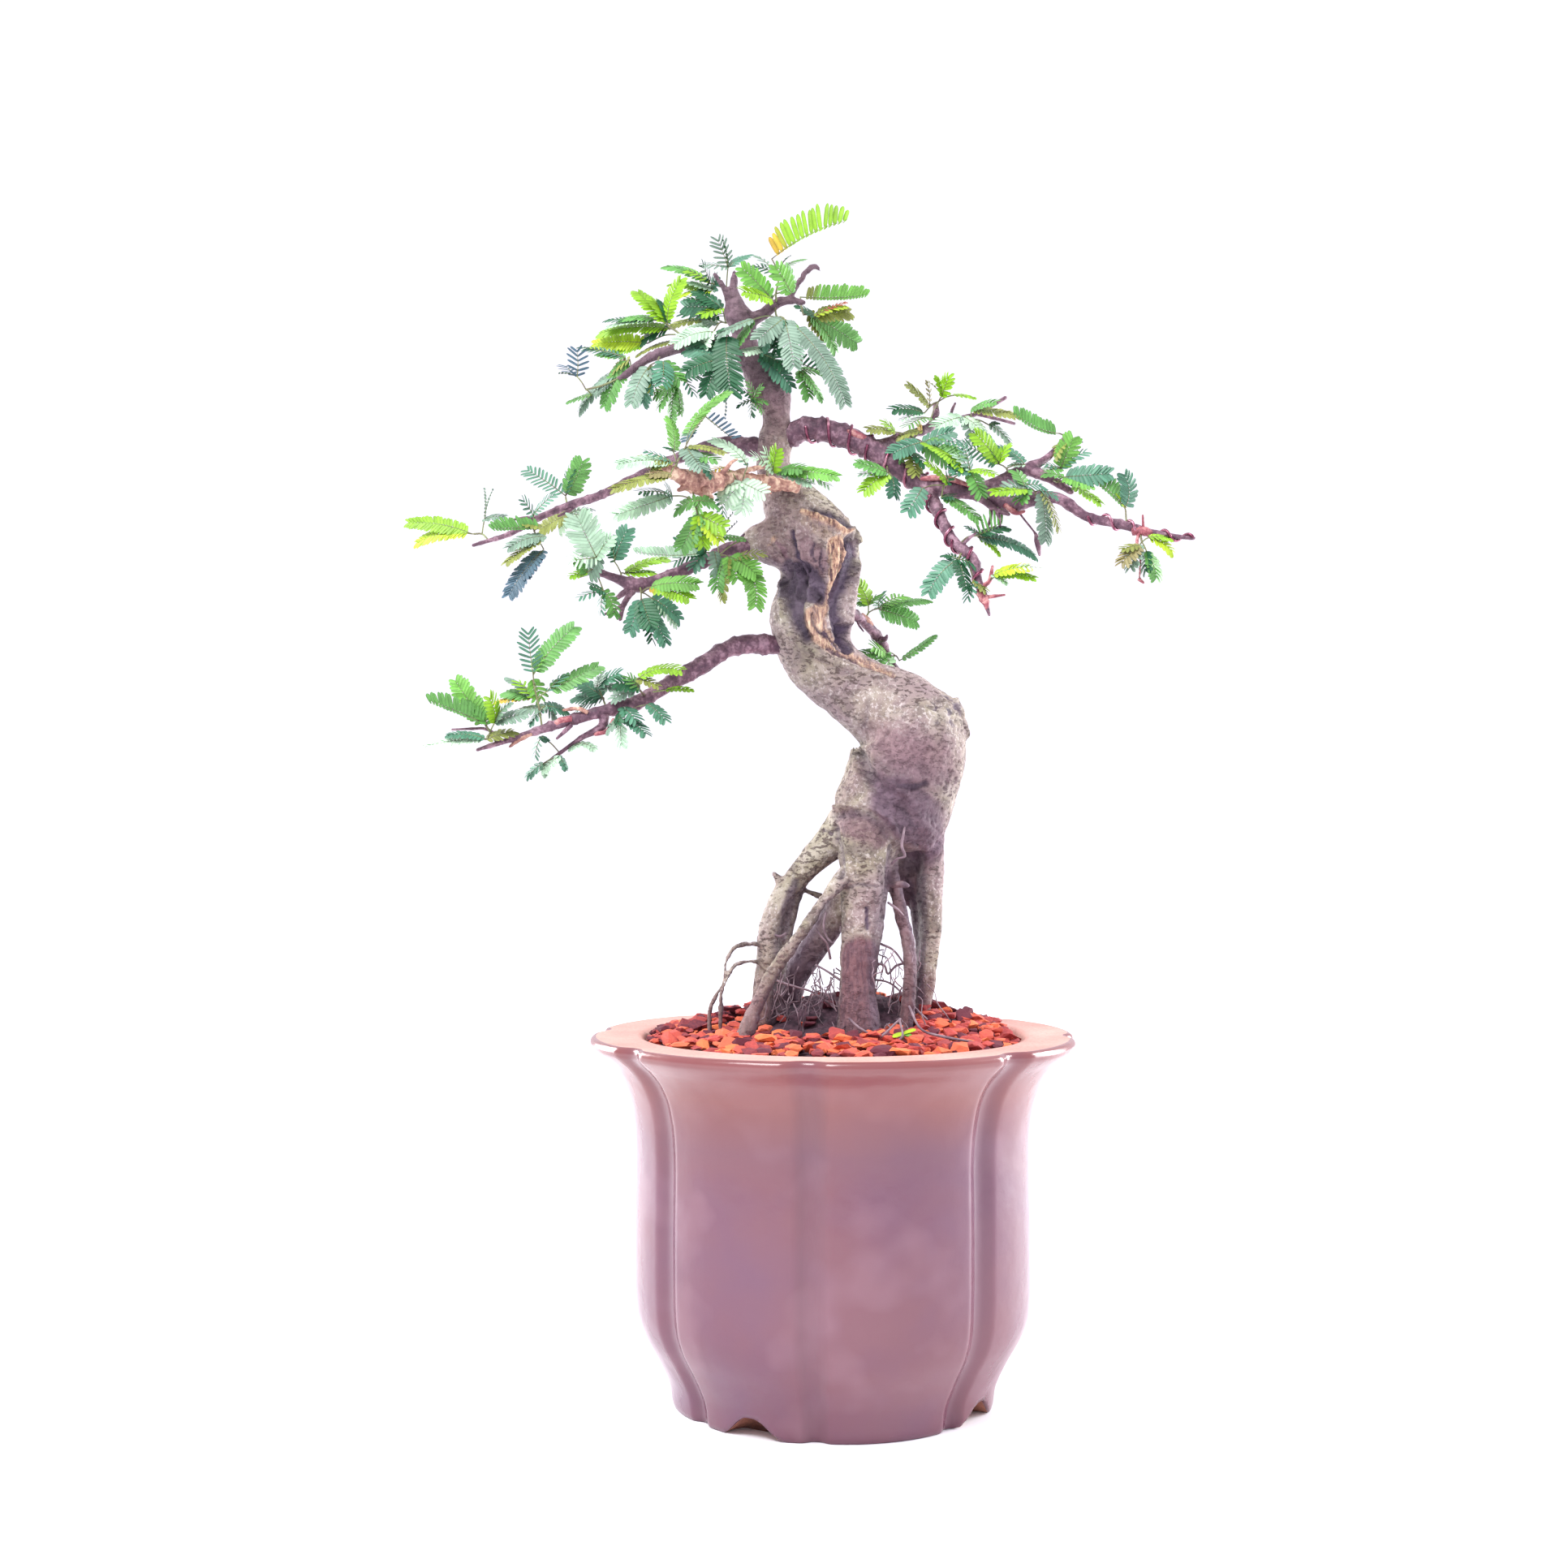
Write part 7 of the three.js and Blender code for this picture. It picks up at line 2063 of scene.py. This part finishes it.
        Leaf(1, (1070, 746, 18), (P(1057, 718, 19, 21, LIME), P(1060, 742, 18, 14, GREEN, COMB),
            P(1078, 736, 20, 14, GREEN, COMB))),
        Leaf(1, (1082, 750, 19), (P(1127, 765, 25, 25, GREEN), P(1141, 740, 31, 13, GREEN),
            P(1112, 735, 26, 18, FRESH, COMB), P(1084, 736, 22, 14, TEAL, COMB),
            P(1096, 760, 22, 14, MINT, COMB))),
    )),
    "leaves_back_lower": Spray(((1095, 809, 28), (1104, 808, 31)), (
        Leaf(1, (1108, 814, 31), (P(1149, 785, 35, 10, GREEN, FULL, -0.16),)),
        Leaf(1, (1092, 806, 21), (P(1057, 808, 11, 16, GREEN), P(1078, 798, 16, 16, FRESH),
            P(1096, 824, 24, 20, GREEN), P(1078, 820, 16, 14, GREEN))),
    )),
}


@dataclass
class Foliage:
    """Twice-feathered leaves: a thin stalk, forks, and pinnae of paired leaflets.

    Lengths are in millimetres. stations are a leaflet's outline: shares of its length and
    of its half width. bowing to wideness are ranges for random draws: bowing and arching are
    shares of a pinna's length, swinging and rolling are radians, the others are factors. Up
    to a length of short, less of a rib is bare.
    """

    spacing: float = 1.62
    full_width: float = 9.5
    leaflet_width: float = 0.82
    stalk_radius: float = 0.42
    stem_radius: float = 0.3
    rib_radius: float = 0.2
    droop: float = 0.09
    crease: float = 0.28
    first_shade: float = 0.8
    fewest_pairs: int = 4
    short: float = 12.0
    bare: float = 0.1
    short_bare: float = 0.04
    last_pair: float = 0.985
    bowing: tuple[float, float] = (-0.04, 0.04)
    arching: tuple[float, float] = (0.03, 0.08)
    brightness: tuple[float, float] = (0.88, 1.14)
    leaflet_brightness: tuple[float, float] = (0.84, 1.14)
    swinging: tuple[float, float] = (-0.1, 0.1)
    rolling: tuple[float, float] = (-0.3, 0.1)
    reaching: tuple[float, float] = (0.9, 1.06)
    wideness: tuple[float, float] = (0.9, 1.1)
    stations: tuple[tuple[float, float], ...] = (
        (0.0, 0.6), (0.12, 0.92), (0.45, 1.0), (0.8, 0.92), (0.94, 0.58), (1.0, 0.15),
    )

    def leaflet(
        self, batch: Batch, base: Vector, way: Vector, normal: Vector, length: float,
        half_width: float, colour: Array,
    ) -> None:
        """Adds one oblong leaflet, creased along its vein and drooping a little.

        Args:
            batch: The mesh that it joins.
            base: Where it leaves the rib, in metres.
            way: Its heading.
            normal: Its upper side.
            length: Its length in metres.
            half_width: Half its width in metres.
            colour: Its linear colour.
        """
        across = normal.cross(way).normalized()
        points, faces = [], []
        for t, w in self.stations:
            middle = base + way * (length * t) - normal * (length * self.droop * t * t)
            side = across * (half_width * w)
            rise = normal * (half_width * w * self.crease)
            points += [middle - side + rise, middle, middle + side + rise]
        for k in range(0, len(points) - 3, 3):
            faces += [(k, k + 1, k + 4, k + 3), (k + 1, k + 2, k + 5, k + 4)]
        shaded = np.tile(colour, (len(points), 1))
        shaded[:3, :3] *= self.first_shade
        vein = np.tile((0.0, 1.0, 0.0), len(self.stations))
        places = np.array([p[:] for p in points])
        batch.add(places, faces, LEAFY, leaf_colour=shaded, vein=vein)

    def pinna(self, batch: Batch, rng: random.Random, fork: Spot, blade: Pinna) -> None:
        """Adds one pinna: a curved rib and its leaflets in pairs.

        Args:
            batch: The mesh that it joins.
            rng: Gives what varies.
            fork: The spot that it spreads from.
            blade: Its tip and looks.
        """
        base, tip = VIEW.at(fork), VIEW.at((blade.u, blade.v, blade.depth))
        seen = VIEW.millimetres(blade.width, blade.depth)
        hold = blade.form.value
        wide = (seen if hold.facing else max(seen, min(self.full_width, seen * 2))) * MM
        line = tip - base
        length = line.length
        ahead = line.normalized()
        face = Vector((0, -1, 0))
        face = (face - ahead * face.dot(ahead)).normalized()
        tilt = math.acos(min(seen * MM / wide, 1))
        swung = [self.turned(face, ahead, a) for a in (tilt, -tilt)]
        normal = max(swung, key=lambda n: n.z)
        across = normal.cross(ahead)
        bend = blade.bend or rng.uniform(*self.bowing)
        arch = rng.uniform(*self.arching)

        def rib(t: float) -> Vector:
            """The rib's point at a share of its length."""
            off = 4 * t * (1 - t) * length
            return base + ahead * (length * t) + across * (bend * off) + normal * (arch * off)

        own = np.array(linear(blade.tone.value))
        near = np.array(linear((blade.near or blade.tone).value))
        own[:3] *= rng.uniform(*self.brightness)
        pairs = max(self.fewest_pairs, round(length / (self.spacing * hold.apart * MM)))
        bare = self.bare if length > self.short * MM else self.short_bare
        for i in range(pairs + 1):
            t = bare + (self.last_pair - bare) * i / pairs
            here = rib(t)
            heading = (rib(min(t + 0.03, 1.03)) - rib(t - 0.03)).normalized()
            late = max(0.0, t - 0.6) / 0.4
            reach = 0.5 * wide * (0.66 + 0.34 * min(1, t * 4)) * (1 - hold.taper * late**2)
            open_angle = math.radians(hold.opening - hold.closing * t * t)
            for side in (1, -1):
                upper = side if across.z >= 0 else -side
                share = hold.above if upper > 0 else hold.below
                angle = open_angle + rng.uniform(*self.swinging)
                sideways = normal.cross(heading).normalized() * side
                way = heading * math.cos(angle) + sideways * math.sin(angle)
                size = reach * share / math.sin(open_angle) * rng.uniform(*self.reaching)
                top = self.turned(normal, heading, side * rng.uniform(*self.rolling))
                first = 1 - smoothstep(0.12, 0.3, t)
                tint = own * (1 - first) + near * first
                tint[:3] *= rng.uniform(*self.leaflet_brightness)
                width = self.leaflet_width * hold.thin * rng.uniform(*self.wideness) * MM
                self.leaflet(batch, here, way, top, size, width, tint)
        ribs = [[*rib(t), self.rib_radius * (1.3 - 0.8 * t) * MM] for t in np.linspace(0, 0.97, 7)]
        self.stem(batch, np.array(ribs), own * 0.8, 4)

    @staticmethod
    def turned(vector: Vector, axis: Vector, angle: float) -> Vector:
        """A vector turned about a unit axis at right angles to it."""
        return vector * math.cos(angle) + axis.cross(vector) * math.sin(angle)

    @staticmethod
    def stem(batch: Batch, rows: Array, colour: Array, sides: int) -> None:
        """Adds a stem tube with the values that leaflets carry."""
        tinted = colour.copy()
        tinted[3] = 1.0
        tube(batch, rows, sides, STALKY, leaf_colour=tinted, vein=0.0)

    def build(self) -> None:
        """Shows each spray in place of its CAD node."""
        green = np.array(linear("#697f3f"))
        for node, spray in SPRAYS.items():
            rng = random.Random(node)
            batch = Batch()
            stalk = placed([(*spot, self.stalk_radius) for spot in spray.stalk])
            self.stem(batch, along_curve(stalk, 1.5 * MM), green, 6)
            for leaf in spray.leaves:
                start, end = VIEW.at(spray.stalk[leaf.at]), VIEW.at(leaf.fork)
                middle = (start + end) / 2 + Vector((0, 0, (end - start).length * 0.08))
                rows = np.array([[*p, self.stem_radius * MM] for p in (start, middle, end)])
                self.stem(batch, along_curve(rows, 1.5 * MM), green, 5)
                for blade in leaf.pinnae:
                    self.pinna(batch, rng, leaf.fork, blade)
            batch.show(node.replace("leaves", "spray"), SPRAY_FINISHES, "foliage", node)


@dataclass
class Seedling:
    """A yellow-green shoot that has come up in front of the roots."""

    foot: Spot = (1112, 1284, -38)
    fork: Spot = (1113, 1274, -38)
    tips: tuple[tuple[Spot, Tone], ...] = (
        ((1128, 1268, -40), YELLOW), ((1100, 1277, -40), YELLOW), ((1122, 1276, -42), FRESH),
    )
    half_width: float = 1.3

    def build(self) -> None:
        """Shows the shoot with three seed leaves."""
        maker = Foliage()
        batch = Batch()
        rows = placed([(*self.foot, 0.5), (*self.fork, 0.35)])
        maker.stem(batch, along_curve(rows, 1 * MM), np.array(linear("#767233")), 5)
        start = VIEW.at(self.fork)
        for tip, tone in self.tips:
            line = VIEW.at(tip) - start
            normal = Vector((0, -0.5, 0.85))
            way = line.normalized()
            normal = (normal - way * normal.dot(way)).normalized()
            colour = np.array(linear(tone.value))
            maker.leaflet(batch, start, way, normal, line.length, self.half_width * MM, colour)
        batch.show("seedling", SPRAY_FINISHES, "foliage")


# The studio


@dataclass(frozen=True)
class Panel:
    """A soft lamp in the scene: its place and size in metres, and its power in watts."""

    name: str
    place: Spot
    wide: float
    tall: float
    power: float


@dataclass
class Studio:
    """A white floor and sky, soft lights, and the front elevation's own view."""

    floor_radius: float = 4.0
    floor_sides: int = 96
    sky: float = 1.16
    sky_colour: Colour = (0.94, 0.91, 1.0, 1.0)
    sensor: float = 36.0
    aim: Spot = (0, 0, 0.25)
    panels: tuple[Panel, ...] = (
        Panel("key_above", (-0.55, -0.8, 1.7), 0.9, 0.9, 42.0),
        Panel("back_left", (-1.25, 1.0, 0.5), 0.9, 1.3, 36.0),
        Panel("back_right", (1.46, 0.62, 0.5), 0.8, 1.3, 50.0),
    )

    def floor(self) -> None:
        """A plain white floor, level with the foot ring."""
        white = bpy.data.materials.new("Floor, matt white paint")
        white.use_nodes = True
        shader = white.node_tree.nodes["Principled BSDF"]
        shader.inputs["Base Color"].default_value = linear("#fafafe")
        shader.inputs["Roughness"].default_value = 0.9
        turn = [i * 2 * math.pi / self.floor_sides for i in range(self.floor_sides)]
        ring = [(self.floor_radius * math.cos(a), self.floor_radius * math.sin(a), 0.0)
                for a in turn]
        mesh = bpy.data.meshes.new("floor")
        mesh.from_pydata(ring, [], [tuple(range(self.floor_sides))])
        mesh.materials.append(white)
        ground = in_scene("floor", mesh)

    def lights(self) -> None:
        """An even pale sky, a soft key from above, and a panel behind each side."""
        scene = bpy.context.scene
        world = bpy.data.worlds.new("white sky")
        world.use_nodes = True
        sky = world.node_tree.nodes["Background"]
        sky.inputs["Color"].default_value = self.sky_colour
        sky.inputs["Strength"].default_value = self.sky
        scene.world = world
        scene.view_settings.view_transform = "Standard"
        for panel in self.panels:
            data = bpy.data.lights.new(panel.name, "AREA")
            data.shape = "RECTANGLE"
            data.size, data.size_y = panel.wide, panel.tall
            data.energy = panel.power
            lamp = in_scene(panel.name, data)
            lamp.location = panel.place
            aim = Vector(self.aim) - Vector(panel.place)
            lamp.rotation_euler = aim.to_track_quat("-Z", "Y").to_euler()

    def camera(self) -> None:
        """The front elevation's view: a level lens, no shift, no blur."""
        data = bpy.data.cameras.new("front_view")
        data.sensor_width = self.sensor
        data.lens = VIEW.focal / VIEW.sheet * self.sensor
        eye = in_scene("front_view", data)
        eye.location = VIEW.eye_point()
        eye.rotation_euler = (math.pi / 2, 0, 0)
        bpy.context.scene.camera = eye


def main() -> None:
    """Builds the object from the pot up, then the studio around it."""
    logging.basicConfig(level=logging.INFO, format="%(message)s")
    surface = Surface()
    studio = Studio()
    builders: tuple[Callable[[], None], ...] = (
        studio.camera, LobedPot().build, DrainMesh().build, SoilBed(surface).build,
        BrickChips(surface).build, Trunk().build, HairRoots().build, Branches().build,
        TrainingWire().build, Foliage().build, Seedling().build, studio.floor,
        studio.lights,
    )
    for build in builders:
        build()


if __name__ == "__main__":
    main()
